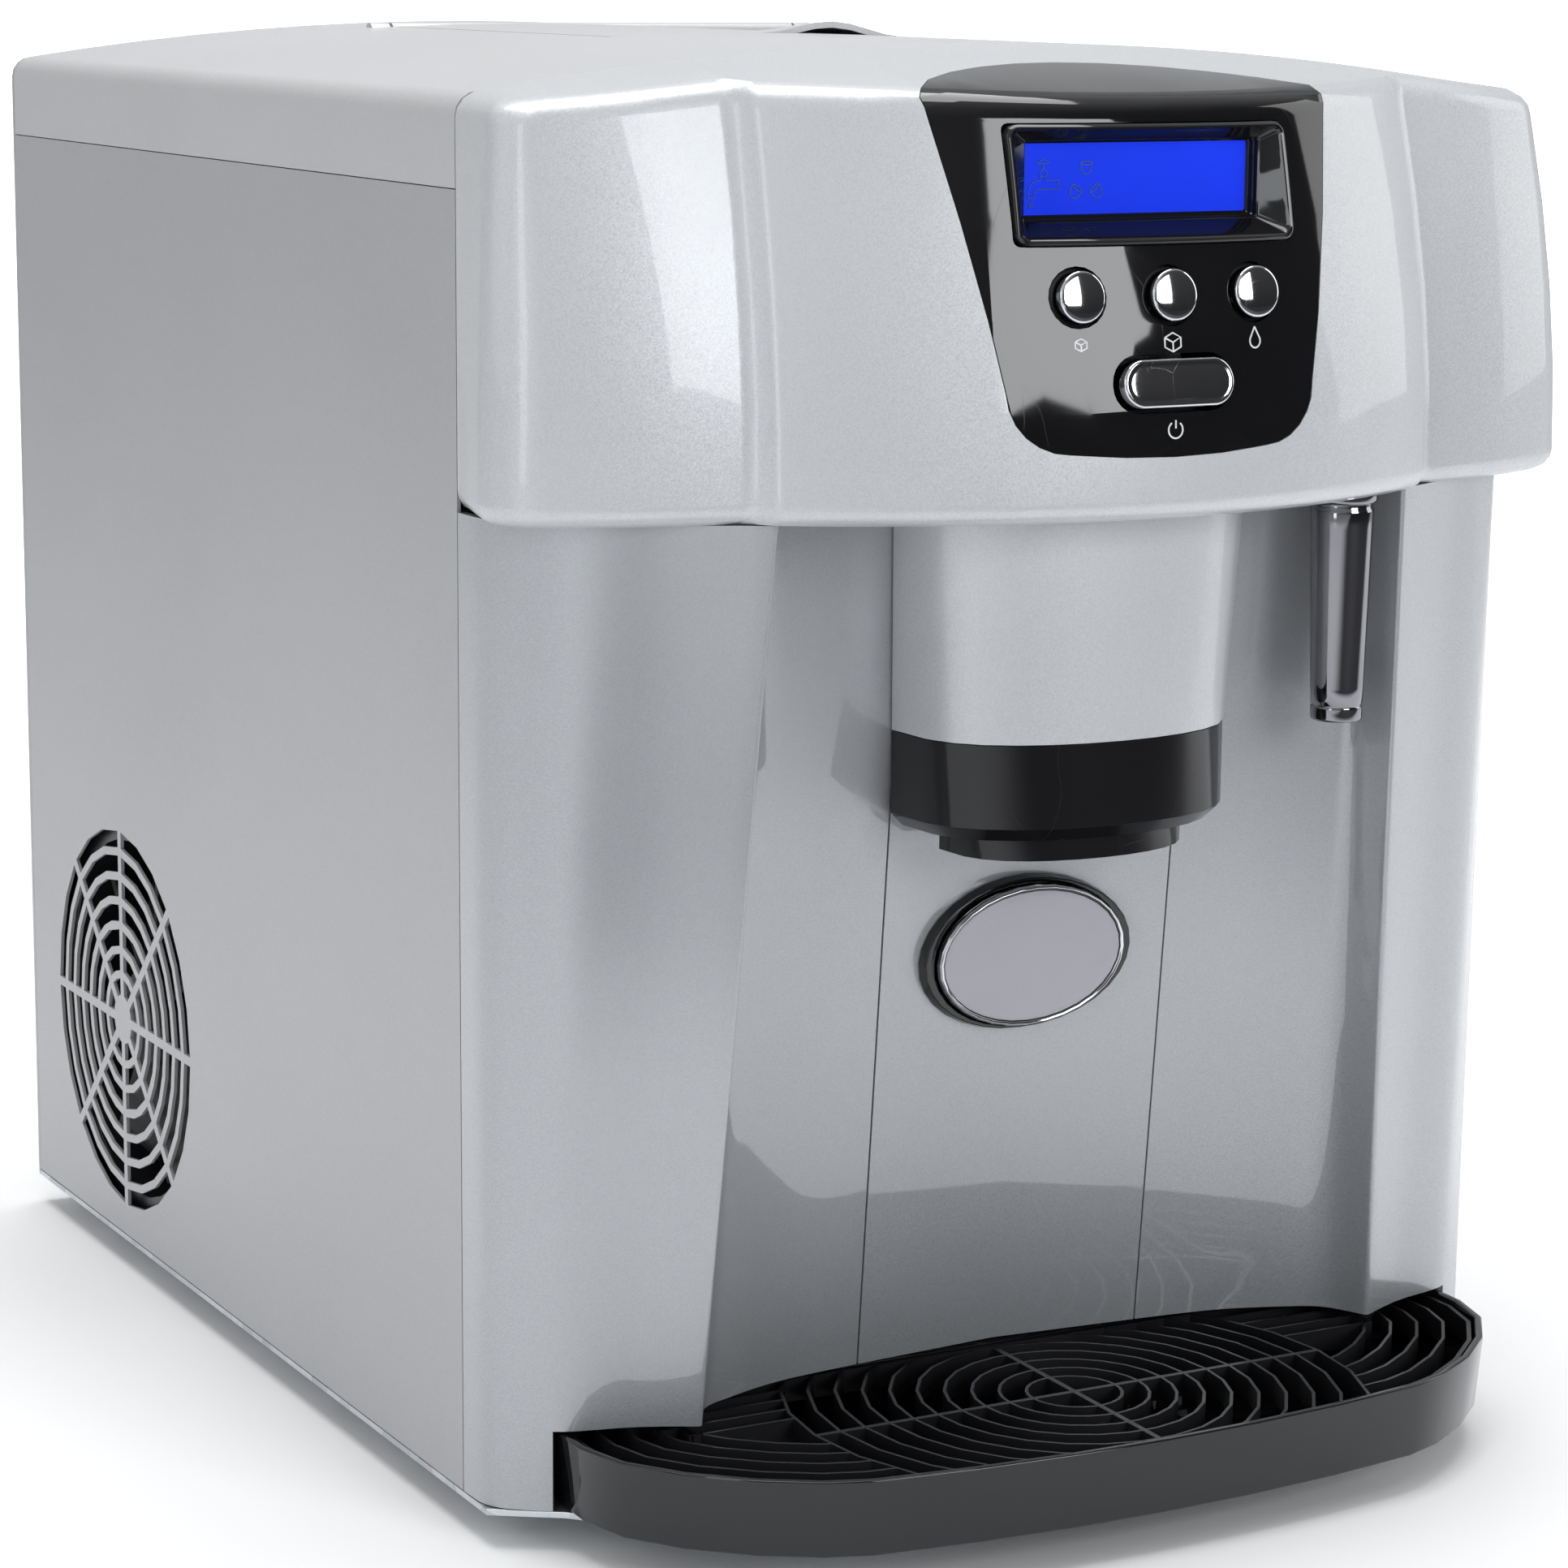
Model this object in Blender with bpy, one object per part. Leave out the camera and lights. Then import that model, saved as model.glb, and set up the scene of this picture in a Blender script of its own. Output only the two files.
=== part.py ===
"""Ice cube maker with an ice and water dispenser: a bench-top cabinet of separate pieces, in metres.

+Z is up, the front faces -Y and +X is the viewer's right. The origin is the middle of the box's bottom.
"""

import math

import bmesh
import bpy
from mathutils import Matrix, Vector

# Overall size
HALF_WIDTH = 0.172
BODY_DEPTH = 0.383
FRONT_REACH = 0.1095
CROWN_TOP = 0.426
CROWN_RADIUS = 1.11
COVER_DEPTH = 0.039
SIDE_TOP = CROWN_TOP - COVER_DEPTH
FOOT_HEIGHT = 0.010

# Shared fits and sheets
GAP = 0.0003
RUN_GAP = 0.0006
SHEET = 0.0012
WALL = 0.0025
THIN_WALL = 0.002
EDGE_ROUND = 0.007
SEGMENTS = 16
FLATNESS = 0.000002
MERGE = 0.000001
SMOOTH_ANGLE = math.radians(32.0)

DRAIN_CAP_DEPTH = 0.006
SEAM_Y = (FRONT_REACH - BODY_DEPTH - DRAIN_CAP_DEPTH) / 2

# Base pan and feet
PAN_THICKNESS = 0.002
PAN_TOP = FOOT_HEIGHT + PAN_THICKNESS
PANEL_BOTTOM = PAN_TOP + GAP
PAN_TONGUE_HALF = 0.100
PAN_TONGUE_REACH = FRONT_REACH - 0.0275
FOOT_RADIUS = 0.013
FOOT_NECK = 0.004
FOOT_HEAD = 0.0065
FOOT_HEAD_HEIGHT = 0.003
FOOT_INSET_X = 0.030
FOOT_INSET_FRONT = 0.045
FOOT_INSET_BACK = 0.016

# Side panels
FAN_FROM_BACK = 0.0953
FAN_Y = BODY_DEPTH - FAN_FROM_BACK
FAN_Z = 0.0891
FAN_HUB_RADIUS = 0.0085
FAN_PITCH = 0.0086
FAN_BAR = 0.0028
FAN_RINGS = 7
FAN_SPOKES = 8
FAN_SPOKE_WIDTH = 0.0032
VENT_ROWS = 10
VENT_LENGTH = 0.080
VENT_WIDTH = 0.005
VENT_PITCH = 0.011
VENT_FROM_BACK = 0.118
VENT_CENTRE_Y = BODY_DEPTH - VENT_FROM_BACK
VENT_CENTRE_Z = 0.110

# Back panel
BACK_THICKNESS = 0.0022
INLET_FROM_SIDE = 0.047
INLET_X = INLET_FROM_SIDE - HALF_WIDTH
INLET_Z = 0.045
INLET_WIDTH = 0.028
INLET_HEIGHT = 0.020
INLET_DEPTH = 0.020
INLET_FLANGE = 0.004
INLET_SOCKET_DEPTH = 0.015
INLET_PIN = 0.003
DRAIN_X = -0.030
DRAIN_Z = 0.045
DRAIN_RADIUS = 0.006
DRAIN_CAP_RADIUS = 0.011
DRAIN_LENGTH = 0.007
DRAIN_TRAVEL = 0.020

# Top cover and lid
COVER_THICKNESS = 0.002
LID_X = 0.030
LID_HALF = 0.080
HINGE_FROM_BACK = 0.049
LID_DEPTH = 0.179
LID_FRONT = BODY_DEPTH - HINGE_FROM_BACK - LID_DEPTH
LID_GAP = 0.0006
LID_SKIRT = 0.005
LID_SKIRT_THICKNESS = 0.0016
LID_SKIRT_INSET = 0.004
LIP_HALF = 0.026
LIP_HEIGHT = 0.004
LIP_DEPTH = 0.034
HINGE_RADIUS = 0.0032
HINGE_ROD_RADIUS = 0.0015
HINGE_EAR = 0.007
HINGE_SIDE_GAP = 0.0005
HINGE_SINK = 0.0030

# Upper front housing, in the seam's frame: y runs back from the seam, so the front has negative y
HOUSING_HEIGHT = 0.128
HOUSING_BOTTOM = CROWN_TOP - HOUSING_HEIGHT
BOW_CENTRE_LOW = 0.1000
BOW_CENTRE_HIGH = 0.0800
BOW_EDGE_LOW = 0.0696
BOW_EDGE_HIGH = 0.0481
LOBE_WIDTH_LOW = 0.0660
LOBE_WIDTH_HIGH = 0.0675
BOW_HALF_LOW = HALF_WIDTH - LOBE_WIDTH_LOW
BOW_HALF_HIGH = HALF_WIDTH - LOBE_WIDTH_HIGH
GROOVE_WIDTH = 0.0090
GROOVE_DEPTH = 0.0085
LOBE_FRONT_LOW = 0.0496
LOBE_FRONT_HIGH = 0.0336
LOBE_CREST = 0.0025
LOBE_LEAN = math.radians(20.0)
LOBE_PROUD = 0.0070
LOBE_TUCK = 0.0005
LOBE_OUTER_LOW = HALF_WIDTH + LOBE_PROUD
LOBE_OUTER_HIGH = HALF_WIDTH - LOBE_TUCK
LOBE_ROUND_LOW = 0.020
LOBE_ROUND_HIGH = 0.013
TOP_FALL = 0.0125
TOP_FALL_REACH = 0.080
HOUSING_ROUND = 0.006
FLUSH_BACK = 0.0018
REAR_INSET = 0.0034

# Control panel
PANEL_TOP_HALF = 0.0656
PANEL_LOW_HALF = 0.0500
PANEL_FLARE = 0.0018
PANEL_STRAIGHT = 0.0920
PANEL_ROUND_HEIGHT = 0.0182
PANEL_ROUND_WIDTH = 0.0180
PANEL_SAG = 0.0016
PANEL_LOW_Z = CROWN_TOP - PANEL_STRAIGHT
PANEL_BOTTOM_Z = PANEL_LOW_Z - PANEL_ROUND_HEIGHT
PANEL_ARC_DEPTH = 0.040
PANEL_THICKNESS = 0.0022
FRAME_HALF = 0.0452
FRAME_DROP = 0.0200
FRAME_HEIGHT = 0.0325
FRAME_HIGH = CROWN_TOP - FRAME_DROP
FRAME_LOW = FRAME_HIGH - FRAME_HEIGHT
FRAME_CORNER = 0.002
FRAME_PROUD = 0.0012
WINDOW_HALF = 0.0370
WINDOW_DROP = 0.0055
WINDOW_HEIGHT = 0.0195
WINDOW_HIGH = FRAME_HIGH - WINDOW_DROP
WINDOW_LOW = WINDOW_HIGH - WINDOW_HEIGHT
WINDOW_STEP = 0.0030
SCREEN_THICKNESS = 0.0020
BOARD_SETBACK = 0.0080
BOARD_Y = BOARD_SETBACK - BOW_CENTRE_HIGH
BOARD_THICKNESS = 0.0016
BUTTON_RADIUS = 0.0083
BUTTON_PITCH = 0.0284
BUTTON_DROP = 0.0138
BUTTON_Z = FRAME_LOW - BUTTON_DROP
BUTTON_PROUD = 0.0030
BUTTON_DISH = 0.0008
BUTTON_LENGTH = 0.0090
BUTTON_TRAVEL = 0.0012
SWITCH_HALF = 0.0190
SWITCH_HEIGHT = 0.0155
SWITCH_DROP = 0.0239
SWITCH_Z = BUTTON_Z - SWITCH_DROP

# Ice chute
CHUTE_HALF_TOP = 0.0545
CHUTE_HALF_LOW = 0.0505
CHUTE_FRONT = 0.0760
BARREL_HEIGHT = 0.0660
COLLAR_HEIGHT = 0.0280
OUTLET_HEIGHT = 0.0070
CHUTE_SPLIT_Z = HOUSING_BOTTOM - BARREL_HEIGHT
COLLAR_BOTTOM_Z = CHUTE_SPLIT_Z - COLLAR_HEIGHT
OUTLET_BOTTOM_Z = COLLAR_BOTTOM_Z - OUTLET_HEIGHT
OUTLET_HALF = 0.0370
COLLAR_ROUND = 0.004

# Water nozzle
NOZZLE_FROM_CHUTE = 0.0325
NOZZLE_X = CHUTE_HALF_TOP + NOZZLE_FROM_CHUTE
NOZZLE_Y = -0.0565
NOZZLE_RADIUS_TOP = 0.0095
NOZZLE_RADIUS_LOW = 0.00775
NOZZLE_LENGTH = 0.0690
NOZZLE_BOTTOM_Z = HOUSING_BOTTOM - NOZZLE_LENGTH
NOZZLE_RIM = 0.0105
NOZZLE_RIM_HEIGHT = 0.004
NOZZLE_BORE = 0.0045
NOZZLE_NECK = 0.0065
NOZZLE_NECK_HEIGHT = 0.006

# Lower front: plan stations from the middle to the side, at the foot and at the head
NICHE_HALF = 0.0487
NICHE_CENTRE_LOW = 0.0090
NICHE_CENTRE_HIGH = 0.0345
NICHE_SEAM_LOW = 0.0130
NICHE_SEAM_HIGH = 0.0372
CREASE_FROM_NOZZLE_LOW = 0.0290
CREASE_FROM_NOZZLE_HIGH = 0.0170
CREASE_X_LOW = NOZZLE_X + CREASE_FROM_NOZZLE_LOW
CREASE_X_HIGH = NOZZLE_X + CREASE_FROM_NOZZLE_HIGH
CREASE_LOW = 0.0425
CREASE_HIGH = 0.0632
COVE_A_SHARE_LOW = 0.4205
COVE_A_SHARE_HIGH = 0.4937
COVE_A_LOW = 0.0165
COVE_A_HIGH = 0.0398
COVE_B_SHARE_LOW = 0.7177
COVE_B_SHARE_HIGH = 0.8373
COVE_B_LOW = 0.0230
COVE_B_HIGH = 0.0432
COVE_C_SHARE_LOW = 0.8886
COVE_C_SHARE_HIGH = 0.9566
COVE_C_LOW = 0.0290
COVE_C_HIGH = 0.0480
PILLAR_A_SHARE_LOW = 0.3036
PILLAR_A_SHARE_HIGH = 0.3824
PILLAR_A_LOW = 0.0345
PILLAR_A_HIGH = 0.0500
PILLAR_B_SHARE_LOW = 0.6607
PILLAR_B_SHARE_HIGH = 0.7206
PILLAR_B_LOW = 0.0290
PILLAR_B_HIGH = 0.0400
CORNER_TUCK = 0.0002
CORNER_X = HALF_WIDTH - CORNER_TUCK
CORNER_LOW = 0.0165
CORNER_HIGH = 0.0180
LEG_WIDTH = 0.0158
LEG_INNER_X = HALF_WIDTH - LEG_WIDTH
NICHE_PANEL_THICKNESS = 0.0020

# Dispense button
DISPENSE_DROP = 0.0370
DISPENSE_Z = OUTLET_BOTTOM_Z - DISPENSE_DROP
DISPENSE_HALF_X = 0.0360
DISPENSE_HALF_Z = 0.0240
DISPENSE_RING = 0.0014
DISPENSE_FACE_X = 0.0305
DISPENSE_FACE_Z = 0.0203
DISPENSE_PROUD = 0.0085
DISPENSE_SEGMENTS = 32
BEZEL_PROUD = 0.0035
DISPENSE_TRAVEL = 0.0050
DISPENSE_BACK = 0.0120
SWITCH_BOX = 0.012
SWITCH_BOX_DEPTH = 0.0072

# Drip tray and its grille
TRAY_SIDE_GAP = 0.0022
TRAY_REAR_X = LEG_INNER_X - TRAY_SIDE_GAP
TRAY_REAR = 0.0270
TRAY_STRAIGHT = 0.0400
TRAY_CORNER = 0.0620
TRAY_SAG = 0.0075
TRAY_FRONT_PULL = 0.0190
TRAY_SIDE_PULL = 0.0284
TRAY_TOP = 0.0352
PILLAR_FOOT_GAP = 0.0010
PILLAR_FOOT = TRAY_TOP + PILLAR_FOOT_GAP
TRAY_WALL = 0.0024
TRAY_FLOOR = 0.0022
TRAY_TAPER = 0.0020
TRAY_INSIDE_REACH = -0.0050
TRAY_TRAVEL = 0.105
TRAY_REST_X = 0.1078
TRAY_REST_HALF = 0.0040
TRAY_POST_HALF = 0.0012
GRILLE_FROM_FRONT = 0.0522
GRILLE_CENTRE = FRONT_REACH - GRILLE_FROM_FRONT
GRILLE_HUB = 0.0142
GRILLE_PITCH = 0.0081
GRILLE_RINGS = 9
GRILLE_BLADE = 0.0010
GRILLE_RIM_BLADE = 0.0014
GRILLE_SPOKE = 0.0018
GRILLE_HEIGHT = 0.0070
GRILLE_DROP = 0.0016
GRILLE_SEGMENTS = 26
GRILLE_END_ARCS = 4

# Inner frame
FRAME_FRONT = 0.0060
FRAME_FROM_BACK = 0.0080
FRAME_BACK = BODY_DEPTH - FRAME_FROM_BACK
FRAME_FROM_SIDE = 0.0120
FRAME_WIDTH_HALF = HALF_WIDTH - FRAME_FROM_SIDE
DECK_RISE = 0.0020
DECK_TOP = HOUSING_BOTTOM + DECK_RISE

# Water tank, freezing tray and evaporator
TANK_HALF = 0.0720
TANK_FROM_BACK = 0.0810
TANK_LENGTH = 0.1340
TANK_DEPTH = 0.0780
TANK_BACK = BODY_DEPTH - TANK_FROM_BACK
TANK_FRONT = TANK_BACK - TANK_LENGTH
TANK_BOTTOM = DECK_TOP - TANK_DEPTH
TANK_RIM = 0.0060
TROUGH_FROM_TANK = 0.0670
TROUGH_RISE = 0.0640
TROUGH_Y = TANK_BACK - TROUGH_FROM_TANK
TROUGH_Z = DECK_TOP + TROUGH_RISE
TROUGH_RADIUS = 0.0300
TROUGH_HALF = 0.0700
TROUGH_AXLE = 0.0030
TROUGH_EAR = 0.0066
TROUGH_TURN = 60.0
BRACKET_HALF = 0.0830
BRACKET_DEPTH = 0.0900
BRACKET_SLOPE = 0.0198
BRACKET_RISE = 0.0380
BRACKET_TOP = TROUGH_Z + BRACKET_RISE
FINGER_COUNT = 9
FINGER_RADIUS = 0.0050
FINGER_PITCH = 0.0140
FINGER_TIP = 0.0110
EVAPORATOR_HALF_Y = 0.0100
EVAPORATOR_HEIGHT = 0.0090
RAMP_FROM_TANK = 0.0260
RAMP_BACK = TANK_BACK - RAMP_FROM_TANK
RAMP_BACK_RISE = 0.0160
RAMP_FRONT_RISE = 0.0090
RAMP_BACK_Z = DECK_TOP + RAMP_BACK_RISE
RAMP_FRONT_Z = DECK_TOP + RAMP_FRONT_RISE
RAMP_SLOTS = 9
RAMP_SLOT = 0.0050
PUSHER_HEIGHT = 0.0085
PUSHER_DEPTH = 0.0060
PUSHER_TRAVEL = 0.070
TRAY_MOTOR_LENGTH = 0.022
TRAY_MOTOR_RADIUS = 0.014
TRAY_MOTOR_FOOT = 0.0132

# Electrics
CIRCUIT_FROM_SIDE = 0.0240
CIRCUIT_X = HALF_WIDTH - CIRCUIT_FROM_SIDE
CIRCUIT_FRONT = 0.0350
CIRCUIT_DEPTH = 0.0900
CIRCUIT_HEIGHT = 0.0700
CIRCUIT_BLOCK = 0.0140
CIRCUIT_BLOCK_DEPTH = 0.0100
CIRCUIT_BLOCK_ROWS = 2
CIRCUIT_BLOCK_COLUMNS = 3

# Ice bin and auger
BIN_LEFT = 0.0600
BIN_FROM_CIRCUIT = 0.0330
BIN_RIGHT = CIRCUIT_X - BIN_FROM_CIRCUIT
BIN_FRONT = 0.0200
BIN_FROM_TANK = 0.0300
BIN_BACK = TANK_FRONT - BIN_FROM_TANK
BIN_DROP = 0.0320
BIN_TOP = CROWN_TOP - BIN_DROP
AUGER_RADIUS = 0.0210
AUGER_SHAFT = 0.0040
AUGER_PITCH = 0.0350
AUGER_FLIGHT = 0.0024
AUGER_STEPS = 10
AUGER_CLEARANCE = 0.0025
SPOUT_REACH = 0.0660
SPOUT_HOLE_BACK = 0.0430
BIN_POST_HALF = 0.0120
AUGER_MOTOR_LENGTH = 0.0200
AUGER_COUPLING = 0.0060
AUGER_MOTOR_HALF_X = 0.0150
AUGER_MOTOR_HALF_Z = 0.0110

# Water pump and hoses
PUMP_FROM_SIDE = 0.0570
PUMP_X = PUMP_FROM_SIDE - HALF_WIDTH
PUMP_Y = 0.0700
PUMP_HALF = 0.0180
PUMP_HEIGHT = 0.0260
PUMP_HEAD = 0.0144
HOSE_RADIUS = 0.0035
HOSE_BEND = 0.0100
HOSE_RISE = 0.0600
HOSE_HIGH_Z = DECK_TOP + HOSE_RISE
HOSE_FRONT_Y = 0.0090

# Cooling
COMPRESSOR_FROM_SIDE = 0.0800
COMPRESSOR_FROM_BACK = 0.1210
COMPRESSOR_X = HALF_WIDTH - COMPRESSOR_FROM_SIDE
COMPRESSOR_Y = BODY_DEPTH - COMPRESSOR_FROM_BACK
COMPRESSOR_RADIUS = 0.0580
COMPRESSOR_TANK_GAP = 0.0574
COMPRESSOR_TOP = TANK_BOTTOM - COMPRESSOR_TANK_GAP
COMPRESSOR_SEAM = 0.0018
COMPRESSOR_PLATE = 0.0030
COMPRESSOR_FOOT_REACH = 0.0560
MOUNT_HEIGHT = 0.0120
MOUNT_RADIUS = 0.0080
CONDENSER_FROM_SIDE = 0.0720
CONDENSER_X = CONDENSER_FROM_SIDE - HALF_WIDTH
CONDENSER_HALF_X = 0.0120
CONDENSER_HALF_Y = 0.0600
CONDENSER_TOP = 0.1500
CONDENSER_FINS = 14
CONDENSER_WEB = 0.0040
FAN_FRAME_HALF = 0.0680
FAN_FROM_SIDE = 0.0040
FAN_FRAME_X = FAN_FROM_SIDE - HALF_WIDTH
FAN_FRAME_THICKNESS = 0.0030
FAN_DUCT = 0.0620
FAN_DUCT_DEPTH = 0.0260
FAN_BLADES = 7
FAN_TIP = 0.0570
FAN_HUB = 0.0180
FAN_HUB_DEPTH = 0.0140
FAN_SHAFT = 0.0020
FAN_STRUT = 0.0060
FAN_MOTOR_RADIUS = 0.0160
FAN_MOTOR_DEPTH = 0.0180
PIPE_RADIUS = 0.0030


def clear_scene():
    """Start from an empty scene."""
    for thing in list(bpy.data.objects):
        bpy.data.objects.remove(thing, do_unlink=True)


def back(y):
    """Turn a distance behind the seam plane into the shared frame's y."""
    return SEAM_Y + y


def crown(x):
    """Give the height of the crowned top at one x."""
    return CROWN_TOP - CROWN_RADIUS + math.sqrt(CROWN_RADIUS * CROWN_RADIUS - x * x)


def mix(low, high, t):
    """Blend two sizes."""
    return low + (high - low) * t


MATERIALS = {}


def material(name, colour, roughness, metallic=0.0):
    """Make one Principled material per name."""
    if name not in MATERIALS:
        made = bpy.data.materials.new(name)
        made.use_nodes = True
        shader = made.node_tree.nodes["Principled BSDF"]
        shader.inputs["Base Color"].default_value = (*colour, 1.0)
        shader.inputs["Roughness"].default_value = roughness
        shader.inputs["Metallic"].default_value = metallic
        made.diffuse_color = (*colour, 1.0)
        MATERIALS[name] = made
    return MATERIALS[name]


def silver_gloss():
    return material("silver_gloss", (0.62, 0.63, 0.65), 0.28, 0.35)


def silver_satin():
    return material("silver_satin", (0.42, 0.44, 0.47), 0.42, 0.35)


def side_paint():
    return material("side_paint", (0.36, 0.37, 0.38), 0.45, 0.1)


def black_gloss():
    return material("black_gloss", (0.012, 0.012, 0.014), 0.12)


def black_matt():
    return material("black_matt", (0.03, 0.03, 0.032), 0.55)


def chrome():
    return material("chrome", (0.80, 0.80, 0.82), 0.08, 1.0)


def button_grey():
    return material("button_grey", (0.40, 0.40, 0.45), 0.45)


def display_blue():
    return material("display_blue", (0.02, 0.05, 0.85), 0.25)


def rubber():
    return material("rubber", (0.02, 0.02, 0.02), 0.85)


def zinc():
    return material("zinc", (0.55, 0.56, 0.57), 0.40, 0.9)


def copper():
    return material("copper", (0.72, 0.36, 0.22), 0.30, 1.0)


def white_plastic():
    return material("white_plastic", (0.80, 0.82, 0.84), 0.40)


def board_green():
    return material("board_green", (0.02, 0.22, 0.07), 0.50)


def is_bent(face):
    """Tell whether a face's corners lie off its plane."""
    middle = face.calc_center_median()
    return any(abs((vert.co - middle).dot(face.normal)) > FLATNESS for vert in face.verts)


def finish(name, mesh, skin, origin=(0.0, 0.0, 0.0)):
    """Turn a bmesh into an object whose origin lies at the given point."""
    bmesh.ops.remove_doubles(mesh, verts=mesh.verts, dist=MERGE)
    mesh.normal_update()
    bent_faces = [face for face in mesh.faces if len(face.verts) > 3 and is_bent(face)]
    bmesh.ops.triangulate(mesh, faces=bent_faces)
    bmesh.ops.recalc_face_normals(mesh, faces=mesh.faces)
    for face in mesh.faces:
        face.smooth = True
    for edge in mesh.edges:
        edge.smooth = edge.calc_face_angle(0.0) < SMOOTH_ANGLE
    bmesh.ops.translate(mesh, verts=mesh.verts, vec=-Vector(origin))
    data = bpy.data.meshes.new(name)
    mesh.to_mesh(data)
    mesh.free()
    thing = bpy.data.objects.new(name, data)
    thing.location = origin
    bpy.context.scene.collection.objects.link(thing)
    if skin is not None:
        data.materials.append(skin)
    return thing


def guide(name, mesh):
    """Make a shape that only cuts or joins another."""
    thing = finish("guide_" + name, mesh, None)
    thing.hide_render = True
    thing.display_type = "WIRE"
    return thing


def combine(target, tool, operation):
    """Add, subtract or keep the shared part of a guide shape."""
    step = target.modifiers.new(operation.title(), "BOOLEAN")
    step.operation = operation
    step.object = tool
    step.solver = "EXACT"
    return target


def loft(mesh, rings, cap=True):
    """Join rings of equal point counts with side faces and close both ends."""
    rows = [[mesh.verts.new(point) for point in ring] for ring in rings]
    count = len(rows[0])
    for low, high in zip(rows, rows[1:]):
        for i in range(count):
            j = (i + 1) % count
            mesh.faces.new((low[i], low[j], high[j], high[i]))
    if cap:
        mesh.faces.new(list(reversed(rows[0])))
        mesh.faces.new(rows[-1])
    return rows


def ribbon(mesh, levels):
    """Loft thin rings whose two long sides face each other, closing the ends with strips."""
    rows = [[mesh.verts.new(point) for point in front + list(reversed(rear))] for front, rear in levels]
    count = len(rows[0])
    for low, high in zip(rows, rows[1:]):
        for i in range(count):
            j = (i + 1) % count
            mesh.faces.new((low[i], low[j], high[j], high[i]))
    for row in (rows[0], rows[-1]):
        for i in range(count // 2 - 1):
            mesh.faces.new((row[i], row[i + 1], row[count - 2 - i], row[count - 1 - i]))


def box(mesh, low, high):
    """Add an axis-aligned block between two corners."""
    size = Vector(high) - Vector(low)
    middle = (Vector(high) + Vector(low)) / 2
    place = Matrix.Translation(middle) @ Matrix.Diagonal((*size, 1.0))
    bmesh.ops.create_cube(mesh, size=1.0, matrix=place)


def outline_prism(mesh, points, axis, low, high):
    """Push a flat outline along one axis: points are the other two coordinates in X, Y, Z order."""
    place = {
        "X": lambda p, h: (h, p[0], p[1]),
        "Y": lambda p, h: (p[0], h, p[1]),
        "Z": lambda p, h: (p[0], p[1], h),
    }[axis]
    loft(mesh, [[place(p, low) for p in points], [place(p, high) for p in points]])


def circle(cx, cy, radius, segments=SEGMENTS, start=0.0):
    """Give the points of a circle."""
    step = 2 * math.pi / segments
    angles = [start + step * i for i in range(segments)]
    return [(cx + radius * math.cos(a), cy + radius * math.sin(a)) for a in angles]


def ellipse(cx, cy, rx, ry, segments=SEGMENTS):
    """Give the points of an ellipse."""
    return [(cx + rx * x, cy + ry * y) for x, y in circle(0.0, 0.0, 1.0, segments)]


def rounded(x0, y0, x1, y1, radius, steps=3):
    """Give the points of a rectangle with round corners."""
    points = []
    corners = ((x1, y1, 0), (x0, y1, 1), (x0, y0, 2), (x1, y0, 3))
    for x, y, turn in corners:
        cx = x - radius if x == x1 else x + radius
        cy = y - radius if y == y1 else y + radius
        for i in range(steps + 1):
            a = math.pi / 2 * (turn + i / steps)
            points.append((cx + radius * math.cos(a), cy + radius * math.sin(a)))
    return points


def turned(mesh, profile, centre, axis="Z", segments=SEGMENTS):
    """Spin a profile of (radius, height) pairs about an axis through the centre point."""
    cx, cy, cz = centre
    place = {
        "X": lambda a, b, h: (cx + h, cy + a, cz + b),
        "Y": lambda a, b, h: (cx + a, cy + h, cz + b),
        "Z": lambda a, b, h: (cx + a, cy + b, cz + h),
    }[axis]
    rings = []
    for radius, height in profile:
        rings.append([place(a, b, height) for a, b in circle(0.0, 0.0, radius, segments)])
    loft(mesh, rings)


def tube(mesh, path, radius, segments=10):
    """Sweep a circle along a path of points."""
    points = [Vector(p) for p in path]
    rings = []
    side = None
    for i, point in enumerate(points):
        before = points[max(i - 1, 0)]
        after = points[min(i + 1, len(points) - 1)]
        along = (after - before).normalized()
        if side is None:
            side = along.orthogonal().normalized()
        side = (side - along * side.dot(along)).normalized()
        other = along.cross(side)
        ring = []
        for k in range(segments):
            a = 2 * math.pi * k / segments
            ring.append(point + side * radius * math.cos(a) + other * radius * math.sin(a))
        rings.append(ring)
    loft(mesh, rings)


def bent(path, radius, steps=4):
    """Round the corners of a path of points."""
    points = [Vector(p) for p in path]
    out = [points[0]]
    for before, corner, after in zip(points, points[1:], points[2:]):
        reach = min(radius, (corner - before).length * 0.45, (after - corner).length * 0.45)
        start = corner + (before - corner).normalized() * reach
        stop = corner + (after - corner).normalized() * reach
        for i in range(steps + 1):
            t = i / steps
            out.append(start * (1 - t) ** 2 + corner * (2 * t * (1 - t)) + stop * t ** 2)
    out.append(points[-1])
    return out


def inset_line(points, distance):
    """Shift an open plan line sideways, to the left of its direction of travel."""
    out = []
    last = len(points) - 1
    for i, point in enumerate(points):
        here = Vector(point)
        first = (here - Vector(points[i - 1])).normalized() if i > 0 else None
        second = (Vector(points[i + 1]) - here).normalized() if i < last else None
        first = first or second
        second = second or first
        normal_a = Vector((-first.y, first.x))
        normal_b = Vector((-second.y, second.x))
        bisector = (normal_a + normal_b).normalized()
        reach = distance / max(bisector.dot(normal_a), 0.5)
        moved = here + bisector * reach
        out.append((moved.x, moved.y))
    return out


def inset_loop(points, distance):
    """Shift a closed plan line sideways, to the left of its direction of travel."""
    ring = [points[-1]] + list(points) + [points[0]]
    return inset_line(ring, distance)[1:-1]


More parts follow.
